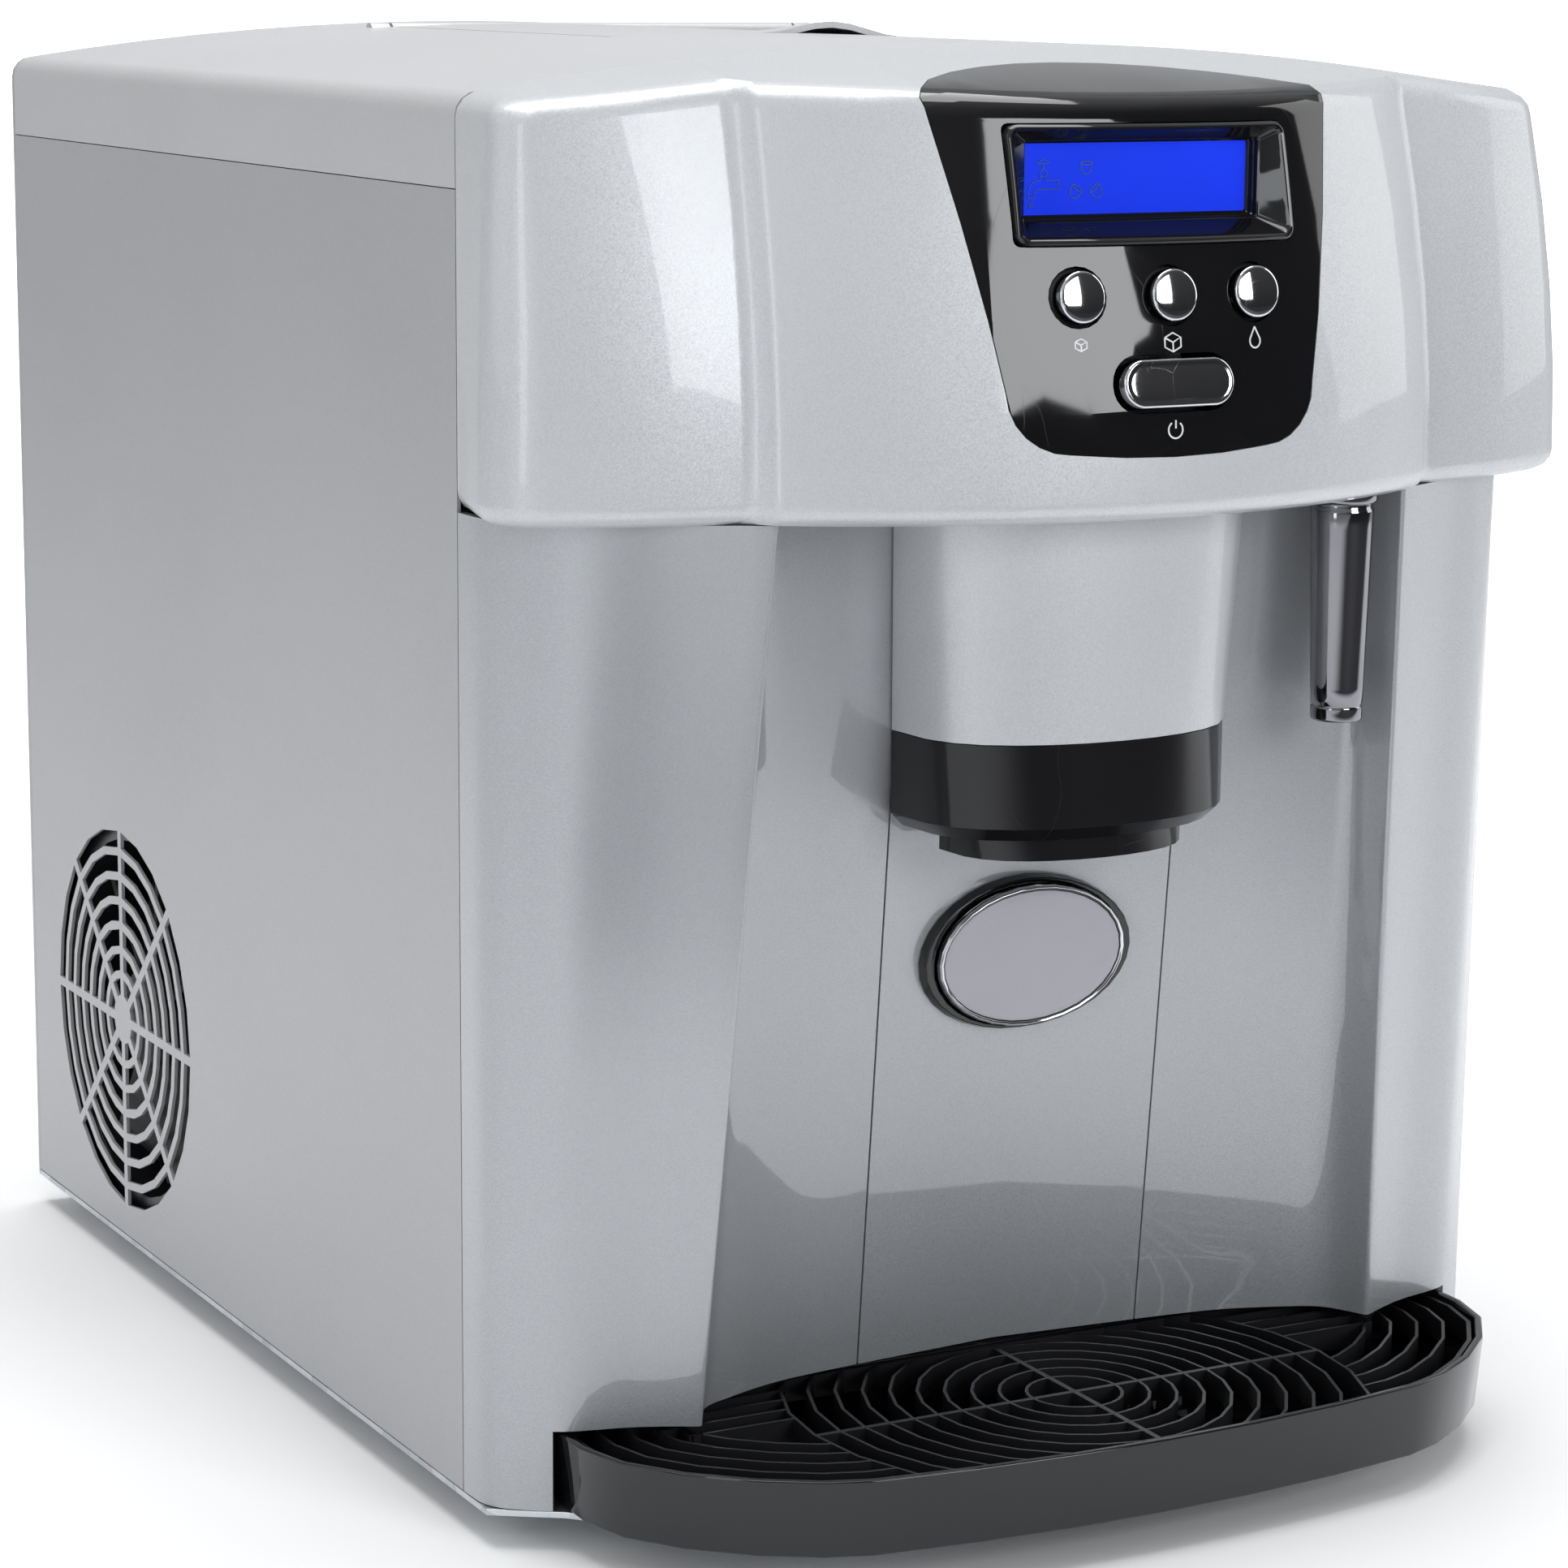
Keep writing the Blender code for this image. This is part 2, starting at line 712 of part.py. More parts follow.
def housing_station(height, inset):
    """Give the plan line of the upper housing, from the right side to the left, at one height."""
    t = ((height - HOUSING_BOTTOM) / (CROWN_TOP - HOUSING_BOTTOM)) ** 2
    centre = -mix(BOW_CENTRE_LOW, BOW_CENTRE_HIGH, t) + inset
    edge = -mix(BOW_EDGE_LOW, BOW_EDGE_HIGH, t) + inset
    half = mix(BOW_HALF_LOW, BOW_HALF_HIGH, t)
    outer = mix(LOBE_OUTER_LOW, LOBE_OUTER_HIGH, t) - inset
    turn = mix(LOBE_ROUND_LOW, LOBE_ROUND_HIGH, t) - inset * 0.5
    sag = edge - centre
    radius = (half * half + sag * sag) / (2 * sag)
    right = []
    bow_steps = 8
    for i in range(bow_steps + 1):
        x = half * i / bow_steps
        right.append((x, centre + radius - math.sqrt(radius * radius - x * x)))
    for across, deep in ((0.22, 0.32), (0.50, 0.72), (0.78, 0.95)):
        right.append((half + GROOVE_WIDTH * across, edge + GROOVE_DEPTH * deep))
    valley_x = half + GROOVE_WIDTH
    valley_y = edge + GROOVE_DEPTH
    lobe_front = -mix(LOBE_FRONT_LOW, LOBE_FRONT_HIGH, t) + inset
    corner_x = outer - turn + turn * math.sin(LOBE_LEAN)
    corner_y = lobe_front + turn - turn * math.cos(LOBE_LEAN)
    lobe_steps = 4
    for i in range(lobe_steps):
        share = i / lobe_steps
        crest = LOBE_CREST * 4 * share * (1 - share)
        right.append((mix(valley_x, corner_x, share), mix(valley_y, corner_y, share) - crest))
    corner_steps = 5
    for i in range(corner_steps + 1):
        a = mix(LOBE_LEAN, math.pi / 2, i / corner_steps)
        right.append((outer - turn + turn * math.sin(a), lobe_front + turn - turn * math.cos(a)))
    flush = HALF_WIDTH - inset
    right.append((flush, -FLUSH_BACK))
    return right


def housing_solid(inset, rear, bottom, top_drop):
    """Build the closed bow-fronted body of the upper housing, shrunk by an inset."""
    mesh = bmesh.new()
    low_steps = ((0.0, 1.0), (0.25, 0.4), (0.6, 0.1), (1.0, 0.0))
    high_steps = ((1.0, 0.0), (0.6, 0.1), (0.25, 0.4), (0.0, 1.0))
    levels = []
    for rise, pull in low_steps:
        levels.append(("low", rise * HOUSING_ROUND, pull * HOUSING_ROUND * 0.8))
    for share in (0.25, 0.5, 0.75):
        levels.append(("share", share, 0.0))
    for drop, pull in high_steps:
        levels.append(("high", drop * HOUSING_ROUND, pull * HOUSING_ROUND))
    rows = []
    for kind, value, pull in levels:
        row = []
        guess = HOUSING_BOTTOM + HOUSING_ROUND if kind == "low" else CROWN_TOP - TOP_FALL
        if kind == "share":
            guess = mix(HOUSING_BOTTOM, CROWN_TOP - TOP_FALL, value)
        right = housing_station(guess, inset + pull)
        for x, y in [(-x, y) for x, y in reversed(right[1:])] + right:
            top = crown(x) - TOP_FALL * (min(y, 0.0) / TOP_FALL_REACH) ** 2 - top_drop
            if kind == "low":
                z = bottom + value
            elif kind == "high":
                z = top - value
            else:
                z = mix(bottom + HOUSING_ROUND, top - HOUSING_ROUND, value)
            row.append((x, back(y), z))
        row.append((row[-1][0], back(rear), row[-1][2]))
        row.insert(0, (row[0][0], back(rear), row[0][2]))
        rows.append(row)
    verts = [[mesh.verts.new(p) for p in row] for row in rows]
    count = len(verts[0])
    for low, high in zip(verts, verts[1:]):
        for i in range(count - 1):
            mesh.faces.new((low[i], low[i + 1], high[i + 1], high[i]))
    widest = max(x for x, _, _ in rows[0])
    squeeze = (rows[0][-1][0] - REAR_INSET) / widest
    rears = []
    for row, source in ((verts[0], rows[0]), (verts[-1], rows[-1])):
        line = []
        for x, _, z in source[2:-2]:
            rear_z = z if row is verts[0] else crown(x * squeeze) - top_drop
            line.append(mesh.verts.new((x * squeeze, back(rear), rear_z)))
        rears.append(line)
        last = len(line) - 1
        for i in range(last):
            mesh.faces.new((row[i + 2], row[i + 3], line[i + 1], line[i]))
        mesh.faces.new((row[0], row[1], row[2], line[0]))
        mesh.faces.new((row[-1], line[last], row[-3], row[-2]))
    left_edge = [row[0] for row in verts]
    right_edge = [row[-1] for row in verts]
    mesh.faces.new(rears[0] + right_edge + list(reversed(rears[1])) + list(reversed(left_edge)))
    return mesh


def bow_face(x, z):
    """Give the y, in the seam's frame, of the housing's front at one spot."""
    t = ((z - HOUSING_BOTTOM) / (CROWN_TOP - HOUSING_BOTTOM)) ** 2
    centre = -mix(BOW_CENTRE_LOW, BOW_CENTRE_HIGH, t)
    edge = -mix(BOW_EDGE_LOW, BOW_EDGE_HIGH, t)
    half = mix(BOW_HALF_LOW, BOW_HALF_HIGH, t)
    sag = edge - centre
    radius = (half * half + sag * sag) / (2 * sag)
    return centre + radius - math.sqrt(radius * radius - x * x)


def station(z, low, high):
    """Blend a lower front size between the pillars' foot and their head."""
    return mix(low, high, (z - PILLAR_FOOT) / (HOUSING_BOTTOM - PILLAR_FOOT))


def lower_line(z):
    """Give the right half of the lower front's plan at one height."""
    crease = station(z, CREASE_X_LOW, CREASE_X_HIGH)
    cove_a = mix(NICHE_HALF, crease, station(z, COVE_A_SHARE_LOW, COVE_A_SHARE_HIGH))
    cove_b = mix(NICHE_HALF, crease, station(z, COVE_B_SHARE_LOW, COVE_B_SHARE_HIGH))
    cove_c = mix(NICHE_HALF, crease, station(z, COVE_C_SHARE_LOW, COVE_C_SHARE_HIGH))
    pillar_a = mix(crease, HALF_WIDTH, station(z, PILLAR_A_SHARE_LOW, PILLAR_A_SHARE_HIGH))
    pillar_b = mix(crease, HALF_WIDTH, station(z, PILLAR_B_SHARE_LOW, PILLAR_B_SHARE_HIGH))
    return [
        (0.0, -station(z, NICHE_CENTRE_LOW, NICHE_CENTRE_HIGH)),
        (NICHE_HALF, -station(z, NICHE_SEAM_LOW, NICHE_SEAM_HIGH)),
        (cove_a, -station(z, COVE_A_LOW, COVE_A_HIGH)),
        (cove_b, -station(z, COVE_B_LOW, COVE_B_HIGH)),
        (cove_c, -station(z, COVE_C_LOW, COVE_C_HIGH)),
        (crease, -station(z, CREASE_LOW, CREASE_HIGH)),
        (pillar_a, -station(z, PILLAR_A_LOW, PILLAR_A_HIGH)),
        (pillar_b, -station(z, PILLAR_B_LOW, PILLAR_B_HIGH)),
        (CORNER_X, -station(z, CORNER_LOW, CORNER_HIGH)),
        (HALF_WIDTH, -GAP),
    ]


def niche_face(x, z):
    """Give the y, in the seam's frame, of the niche wall at one spot."""
    line = lower_line(z)
    for (xa, ya), (xb, yb) in zip(line, line[1:]):
        if xa <= abs(x) <= xb:
            return mix(ya, yb, (abs(x) - xa) / (xb - xa))
    return line[-1][1]


def build_base():
    """Pan and four feet."""
    mesh = bmesh.new()
    lip = PANEL_BOTTOM - PAN_TOP
    shoulder = lower_line(PILLAR_FOOT)[-3][0]
    right = [
        (PAN_TONGUE_HALF, back(-PAN_TONGUE_REACH)),
        (shoulder, back(-PILLAR_B_LOW + lip)),
        (HALF_WIDTH, back(-CORNER_LOW + lip)),
        (HALF_WIDTH, back(BODY_DEPTH)),
    ]
    outline = right + [(-x, y) for x, y in reversed(right)]
    outline_prism(mesh, outline, "Z", FOOT_HEIGHT, PAN_TOP)
    pan = finish("base_pan", mesh, zinc())
    holes = bmesh.new()
    foot_front = back(FOOT_INSET_FRONT)
    foot_back = back(BODY_DEPTH - FOOT_INSET_BACK)
    spots = {
        "foot_front_left": (-1, foot_front),
        "foot_front_right": (1, foot_front),
        "foot_back_left": (-1, foot_back),
        "foot_back_right": (1, foot_back),
    }
    for name, (side, y) in spots.items():
        x = side * (HALF_WIDTH - FOOT_INSET_X)
        margin = PAN_THICKNESS
        neck = FOOT_NECK + GAP
        turned(holes, [(neck, -margin), (neck, PAN_THICKNESS + margin)], (x, y, FOOT_HEIGHT))
        foot = bmesh.new()
        profile = [
            (FOOT_RADIUS * 0.86, 0.0),
            (FOOT_RADIUS, FOOT_HEIGHT * 0.5),
            (FOOT_RADIUS, FOOT_HEIGHT - GAP),
            (FOOT_NECK, FOOT_HEIGHT - GAP),
            (FOOT_NECK, PAN_TOP + GAP),
            (FOOT_HEAD, PAN_TOP + GAP),
            (FOOT_HEAD * 0.6, PAN_TOP + GAP + FOOT_HEAD_HEIGHT),
        ]
        turned(foot, profile, (x, y, 0.0), segments=12)
        finish(name, foot, rubber())
    combine(pan, guide("foot_holes", holes), "DIFFERENCE")


def panel_sheet(side):
    """One side panel."""
    outer = side * HALF_WIDTH
    inner = side * (HALF_WIDTH - SHEET)
    mesh = bmesh.new()
    box(mesh, (min(outer, inner), back(GAP), PANEL_BOTTOM),
        (max(outer, inner), back(BODY_DEPTH - BACK_THICKNESS - GAP), SIDE_TOP - GAP))
    return mesh


def vent_line(across, z):
    """Give one louvre slot's outline about its centre."""
    half = VENT_LENGTH / 2
    rise = VENT_WIDTH / 2
    return rounded(across - half, z - rise, across + half, z + rise, rise - GAP, 1)


def build_sides():
    """Side panels: fan slots in the left one, louvre slots in the right one."""
    left = finish("left_side_panel", panel_sheet(-1), side_paint())
    slots = bmesh.new()
    low = -HALF_WIDTH - SHEET
    high = -HALF_WIDTH + SHEET * 2
    centre_y = back(FAN_Y)
    for ring in range(FAN_RINGS):
        inner = FAN_HUB_RADIUS + ring * FAN_PITCH
        outer = inner + FAN_PITCH - FAN_BAR
        steps = 2 if ring < 3 else 3
        for spoke in range(FAN_SPOKES):
            trim_in = math.asin(min(FAN_SPOKE_WIDTH / 2 / inner, 0.6))
            trim_out = math.asin(FAN_SPOKE_WIDTH / 2 / outer)
            span = 2 * math.pi / FAN_SPOKES
            first = span * spoke
            points = []
            for i in range(steps + 1):
                a = first + trim_out + (span - 2 * trim_out) * i / steps
                points.append((centre_y + outer * math.cos(a), FAN_Z + outer * math.sin(a)))
            for i in range(steps + 1):
                a = first + span - trim_in - (span - 2 * trim_in) * i / steps
                points.append((centre_y + inner * math.cos(a), FAN_Z + inner * math.sin(a)))
            outline_prism(slots, points, "X", low, high)
    combine(left, guide("fan_slots", slots), "DIFFERENCE")
    right = finish("right_side_panel", panel_sheet(1), side_paint())
    vents = bmesh.new()
    for row in range(VENT_ROWS):
        z = VENT_CENTRE_Z + (row - (VENT_ROWS - 1) / 2) * VENT_PITCH
        y = back(VENT_CENTRE_Y)
        points = vent_line(y, z)
        outline_prism(vents, points, "X", HALF_WIDTH - SHEET * 2, HALF_WIDTH + SHEET)
    combine(right, guide("side_vents", vents), "DIFFERENCE")


def cover_line(inset, foot):
    """Give the cover's profile across X from the left foot to the right foot."""
    half = HALF_WIDTH - inset
    turn = EDGE_ROUND - inset
    top = crown(half - turn) - inset
    right = []
    steps = 8
    for i in range(steps + 1):
        x = (half - turn) * i / steps
        right.append((x, crown(x) - inset))
    corner_steps = 4
    for i in range(1, corner_steps + 1):
        a = math.pi / 2 * i / corner_steps
        right.append((half - turn + turn * math.sin(a), top - turn + turn * math.cos(a)))
    right.append((half, foot))
    return [(-x, z) for x, z in reversed(right[1:])] + right


def build_back():
    """Back panel, mains inlet and drain plug."""
    rear = back(BODY_DEPTH)
    front = rear - BACK_THICKNESS
    top = cover_line(0.0, PAN_TOP + GAP)
    mesh = bmesh.new()
    outline_prism(mesh, top, "Y", front, rear)
    panel = finish("back_panel", mesh, side_paint())
    cuts = bmesh.new()
    edge = BACK_THICKNESS
    width = INLET_WIDTH / 2 + GAP
    height = INLET_HEIGHT / 2 + GAP
    box(cuts, (INLET_X - width, front - edge, INLET_Z - height),
        (INLET_X + width, rear + edge, INLET_Z + height))
    hole = DRAIN_RADIUS + GAP
    turned(cuts, [(hole, -edge), (hole, BACK_THICKNESS + edge)], (DRAIN_X, front, DRAIN_Z), "Y")
    for row in range(VENT_ROWS):
        z = VENT_CENTRE_Z + (row - (VENT_ROWS - 1) / 2) * VENT_PITCH
        x = COMPRESSOR_X - VENT_LENGTH / 4
        points = vent_line(x, z)
        outline_prism(cuts, points, "Y", front - edge, rear + edge)
    combine(panel, guide("back_cuts", cuts), "DIFFERENCE")

    mesh = bmesh.new()
    half_w = INLET_WIDTH / 2
    half_h = INLET_HEIGHT / 2
    box(mesh, (INLET_X - half_w, rear + GAP - INLET_DEPTH, INLET_Z - half_h),
        (INLET_X + half_w, rear + GAP * 2, INLET_Z + half_h))
    inlet = finish("mains_inlet", mesh, black_matt())
    rim = bmesh.new()
    flange_w = half_w + INLET_FLANGE
    flange_h = half_h + INLET_FLANGE
    box(rim, (INLET_X - flange_w, rear + GAP, INLET_Z - flange_h),
        (INLET_X + flange_w, rear + GAP + BACK_THICKNESS, INLET_Z + flange_h))
    combine(inlet, guide("inlet_rim", rim), "UNION")
    socket = bmesh.new()
    mouth = rear + BACK_THICKNESS * 2
    floor = mouth - INLET_SOCKET_DEPTH - BACK_THICKNESS
    hole_w = half_w - THIN_WALL
    hole_h = half_h - THIN_WALL
    box(socket, (INLET_X - hole_w, floor, INLET_Z - hole_h), (INLET_X + hole_w, mouth, INLET_Z + hole_h))
    combine(inlet, guide("inlet_socket", socket), "DIFFERENCE")
    pins = bmesh.new()
    root = rear - INLET_DEPTH + THIN_WALL
    pin = INLET_PIN / 2
    for step in (-1, 0, 1):
        x = INLET_X + step * INLET_WIDTH / 4
        z = INLET_Z + (0.0 if step else INLET_HEIGHT / 6)
        box(pins, (x - pin / 2, root - THIN_WALL / 2, z - pin), (x + pin / 2, rear - THIN_WALL, z + pin))
    combine(inlet, guide("inlet_pins", pins), "UNION")

    mesh = bmesh.new()
    profile = [
        (DRAIN_RADIUS * 0.9, -DRAIN_LENGTH),
        (DRAIN_RADIUS, -DRAIN_LENGTH * 0.8),
        (DRAIN_RADIUS, GAP),
        (DRAIN_CAP_RADIUS, GAP),
        (DRAIN_CAP_RADIUS, DRAIN_CAP_DEPTH * 0.8),
        (DRAIN_CAP_RADIUS * 0.85, DRAIN_CAP_DEPTH),
    ]
    turned(mesh, profile, (DRAIN_X, rear, DRAIN_Z), "Y")
    finish("drain_plug", mesh, black_matt(), (DRAIN_X, rear, DRAIN_Z))


def lid_height(x, y):
    """Give the lid's top surface, with the raised lip over the finger gap."""
    along = (y - LID_FRONT) / LIP_DEPTH
    across = (x - LID_X) / LIP_HALF
    rise = 0.0
    if abs(across) < 1.0 and along < 1.0:
        side_fall = math.cos(math.pi / 2 * across) ** 2
        rise = LIP_HEIGHT * side_fall * math.cos(math.pi / 2 * max(along, 0.0)) ** 2
    return crown(x) + rise


def build_top():
    """Cover, hinge rod and lid."""
    front = back(GAP)
    rear = back(BODY_DEPTH) - BACK_THICKNESS - GAP
    outer = cover_line(0.0, SIDE_TOP)
    inner = cover_line(COVER_THICKNESS, SIDE_TOP)
    mesh = bmesh.new()
    levels = []
    for y in (front, rear):
        levels.append(([(x, y, z) for x, z in outer], [(x, y, z) for x, z in inner]))
    ribbon(mesh, levels)
    cover = finish("top_cover", mesh, side_paint())

    hinge_y = LID_FRONT + LID_DEPTH
    hinge_z = CROWN_TOP - HINGE_SINK
    left = LID_X - LID_HALF
    right = LID_X + LID_HALF
    opening = bmesh.new()
    behind = HINGE_RADIUS + RUN_GAP
    box(opening, (left - LID_GAP, back(LID_FRONT) - LID_GAP, SIDE_TOP),
        (right + LID_GAP, back(hinge_y) + behind, CROWN_TOP + WALL))
    combine(cover, guide("lid_opening", opening), "DIFFERENCE")
    ears = bmesh.new()
    for near in (left - LID_GAP - HINGE_EAR, right + LID_GAP):
        far = near + HINGE_EAR
        points = [(back(hinge_y) + HINGE_RADIUS * math.cos(a), hinge_z + HINGE_RADIUS * math.sin(a))
                  for a in [math.pi * i / 6 for i in range(7)]]
        foot = min(crown(max(abs(near), abs(far))) - COVER_THICKNESS * 0.6, hinge_z - HINGE_RADIUS)
        points = points + [(back(hinge_y) - HINGE_RADIUS, foot), (back(hinge_y) + HINGE_RADIUS, foot)]
        outline_prism(ears, points, "X", near, far)
    combine(cover, guide("hinge_ears", ears), "UNION")
    bore = bmesh.new()
    hole = HINGE_ROD_RADIUS + GAP
    rod_left = left - LID_GAP - HINGE_EAR * 0.7
    rod_right = right + LID_GAP + HINGE_EAR * 0.7
    turned(bore, [(hole, rod_left - GAP), (hole, rod_right + GAP)], (0.0, back(hinge_y), hinge_z), "X", 12)
    combine(cover, guide("hinge_bore", bore), "DIFFERENCE")
    mesh = bmesh.new()
    turned(mesh, [(HINGE_ROD_RADIUS, rod_left), (HINGE_ROD_RADIUS, rod_right)],
           (0.0, back(hinge_y), hinge_z), "X", 12)
    finish("lid_hinge_rod", mesh, zinc())

    mesh = bmesh.new()
    plain = (-1.0, -0.72, -0.42)
    bump = [(-1 + 2 * i / 8) * LIP_HALF / LID_HALF for i in range(9)]
    across = sorted(list(plain) + bump + [-p for p in plain])
    depth = LID_DEPTH - HINGE_RADIUS - RUN_GAP * 2
    along = [0.0, 0.06, 0.12, LIP_DEPTH / depth, 0.6, 1.0]
    grid_top = []
    grid_low = []
    for share_y in along:
        y = LID_FRONT + depth * share_y
        tops = []
        lows = []
        for share_x in across:
            x = LID_X + LID_HALF * share_x
            tops.append(mesh.verts.new((x, back(y), lid_height(x, y))))
            lows.append(mesh.verts.new((x, back(y), lid_height(x, y) - COVER_THICKNESS)))
        grid_top.append(tops)
        grid_low.append(lows)
    columns = len(across)
    for a in range(len(along) - 1):
        for b in range(columns - 1):
            mesh.faces.new((grid_top[a][b], grid_top[a][b + 1], grid_top[a + 1][b + 1], grid_top[a + 1][b]))
            mesh.faces.new((grid_low[a][b], grid_low[a + 1][b], grid_low[a + 1][b + 1], grid_low[a][b + 1]))
        mesh.faces.new((grid_top[a][0], grid_top[a + 1][0], grid_low[a + 1][0], grid_low[a][0]))
        mesh.faces.new((grid_top[a][-1], grid_low[a][-1], grid_low[a + 1][-1], grid_top[a + 1][-1]))
    for b in range(columns - 1):
        mesh.faces.new((grid_top[0][b], grid_low[0][b], grid_low[0][b + 1], grid_top[0][b + 1]))
        mesh.faces.new((grid_top[-1][b], grid_top[-1][b + 1], grid_low[-1][b + 1], grid_low[-1][b]))
    lid = finish("top_lid", mesh, side_paint(), (LID_X, back(hinge_y), hinge_z))
    knuckle = bmesh.new()
    short = HINGE_SIDE_GAP
    turned(knuckle, [(HINGE_RADIUS, left + short), (HINGE_RADIUS, right - short)],
           (0.0, back(hinge_y), hinge_z), "X", 16)
    combine(lid, guide("lid_knuckle", knuckle), "UNION")
    web = bmesh.new()
    low = crown(right) - COVER_THICKNESS * 0.9
    web_steps = 8
    rise = []
    for i in range(web_steps + 1):
        x = mix(right - short, left + short, i / web_steps)
        rise.append((x, crown(x) - COVER_THICKNESS * 0.3))
    outline_prism(web, [(left + short, low), (right - short, low)] + rise, "Y",
                  back(LID_FRONT + depth) - LID_SKIRT_THICKNESS, back(hinge_y) - HINGE_ROD_RADIUS * 1.3)
    combine(lid, guide("lid_web", web), "UNION")
    skirt = bmesh.new()
    inset = LID_SKIRT_INSET
    thick = LID_SKIRT_THICKNESS
    deep = crown(right) - COVER_THICKNESS - LID_SKIRT
    y_low = back(LID_FRONT) + inset
    y_high = back(LID_FRONT + depth) - inset
    for x in (left + inset, right - inset - thick):
        high = crown(x) - COVER_THICKNESS * 0.7
        box(skirt, (x, y_low, deep), (x + thick, y_high, high))
    combine(lid, guide("lid_skirt", skirt), "UNION")
    bore = bmesh.new()
    margin = HINGE_EAR
    turned(bore, [(hole, left - margin), (hole, right + margin)], (0.0, back(hinge_y), hinge_z), "X", 12)
    combine(lid, guide("lid_bore", bore), "DIFFERENCE")


def panel_outline(grow):
    """Give the control panel's front outline in X and Z."""
    corner = PANEL_LOW_HALF + grow
    right = [(PANEL_TOP_HALF + grow + PANEL_FLARE, CROWN_TOP + EDGE_ROUND)]
    right.append((PANEL_TOP_HALF + grow, CROWN_TOP - TOP_FALL))
    steps = 6
    turn = PANEL_ROUND_WIDTH + grow
    drop = PANEL_ROUND_HEIGHT - PANEL_SAG + grow
    for i in range(steps + 1):
        a = math.pi / 2 * i / steps
        right.append((corner - turn + turn * math.cos(a), PANEL_LOW_Z - drop * math.sin(a)))
    right.append(((corner - turn) / 2, PANEL_BOTTOM_Z + PANEL_SAG / 4 - grow))
    right.append((0.0, PANEL_BOTTOM_Z - grow))
    left = [(-x, z) for x, z in reversed(right[:-1])]
    return right + left


def panel_zone(grow):
    """Give the plan region that the control panel covers: the front and an arc on top."""
    edge = bow_face(PANEL_TOP_HALF, CROWN_TOP - TOP_FALL)
    half = PANEL_TOP_HALF + grow + PANEL_FLARE
    depth = PANEL_ARC_DEPTH + grow
    radius = (half * half + depth * depth) / (2 * depth)
    points = [(-half, back(-FRONT_REACH * 2)), (half, back(-FRONT_REACH * 2))]
    steps = 10
    for i in range(steps + 1):
        x = half - 2 * half * i / steps
        y = edge + depth - radius + math.sqrt(radius * radius - x * x)
        points.append((x, back(y)))
    return points


def build_housing():
    """Upper front housing with its pocket for the control panel."""
    housing = finish("upper_front_housing", housing_solid(0.0, -GAP, HOUSING_BOTTOM, 0.0), silver_gloss())
    hollow = housing_solid(WALL, WALL, HOUSING_BOTTOM + WALL, WALL)
    combine(housing, guide("housing_hollow", hollow), "DIFFERENCE")
    holes = bmesh.new()
    low = HOUSING_BOTTOM - WALL
    high = HOUSING_BOTTOM + WALL * 2
    reach = back(-SPOUT_REACH)
    half = AUGER_RADIUS
    box(holes, (-half, reach, low), (half, back(-SPOUT_HOLE_BACK), high))
    combine(housing, guide("spout_hole", holes), "DIFFERENCE")
    neck = NOZZLE_NECK + GAP
    hole = bmesh.new()
    turned(hole, [(neck, low), (neck, high)], (NOZZLE_X, back(NOZZLE_Y), 0.0))
    combine(housing, guide("nozzle_hole", hole), "DIFFERENCE")
    front = bmesh.new()
    outline_prism(front, panel_outline(GAP), "Y", back(-FRONT_REACH * 1.5), back(0.0))
    pocket = guide("panel_pocket", front)
    plan = bmesh.new()
    outline_prism(plan, panel_zone(GAP), "Z", HOUSING_BOTTOM - WALL, CROWN_TOP + WALL)
    combine(pocket, guide("panel_pocket_plan", plan), "INTERSECT")
    combine(housing, pocket, "DIFFERENCE")


def skin_slice(name, inset_out, inset_in, outline, skin, plan=None):
    """Cut a curved plate out of the housing's form between two insets."""
    plate = finish(name, housing_solid(inset_out, 0.0, HOUSING_BOTTOM, inset_out), skin)
    inner = housing_solid(inset_in, WALL, HOUSING_BOTTOM, inset_in)
    combine(plate, guide(name + "_inner", inner), "DIFFERENCE")
    zone = bmesh.new()
    outline_prism(zone, outline, "Y", back(-FRONT_REACH * 1.5), back(0.0))
    zone_guide = guide(name + "_zone", zone)
    if plan:
        flat = bmesh.new()
        outline_prism(flat, plan, "Z", HOUSING_BOTTOM - WALL, CROWN_TOP + WALL)
        combine(zone_guide, guide(name + "_plan", flat), "INTERSECT")
    combine(plate, zone_guide, "INTERSECT")
    return plate


def button_axis():
    """Give the lean of the panel's face at the buttons, as the outward direction in Y and Z."""
    rise = SWITCH_HEIGHT / 2
    drop = bow_face(0.0, BUTTON_Z + rise) - bow_face(0.0, BUTTON_Z - rise)
    lean = math.atan2(drop, 2 * rise)
    return Vector((0.0, -math.cos(lean), math.sin(lean)))


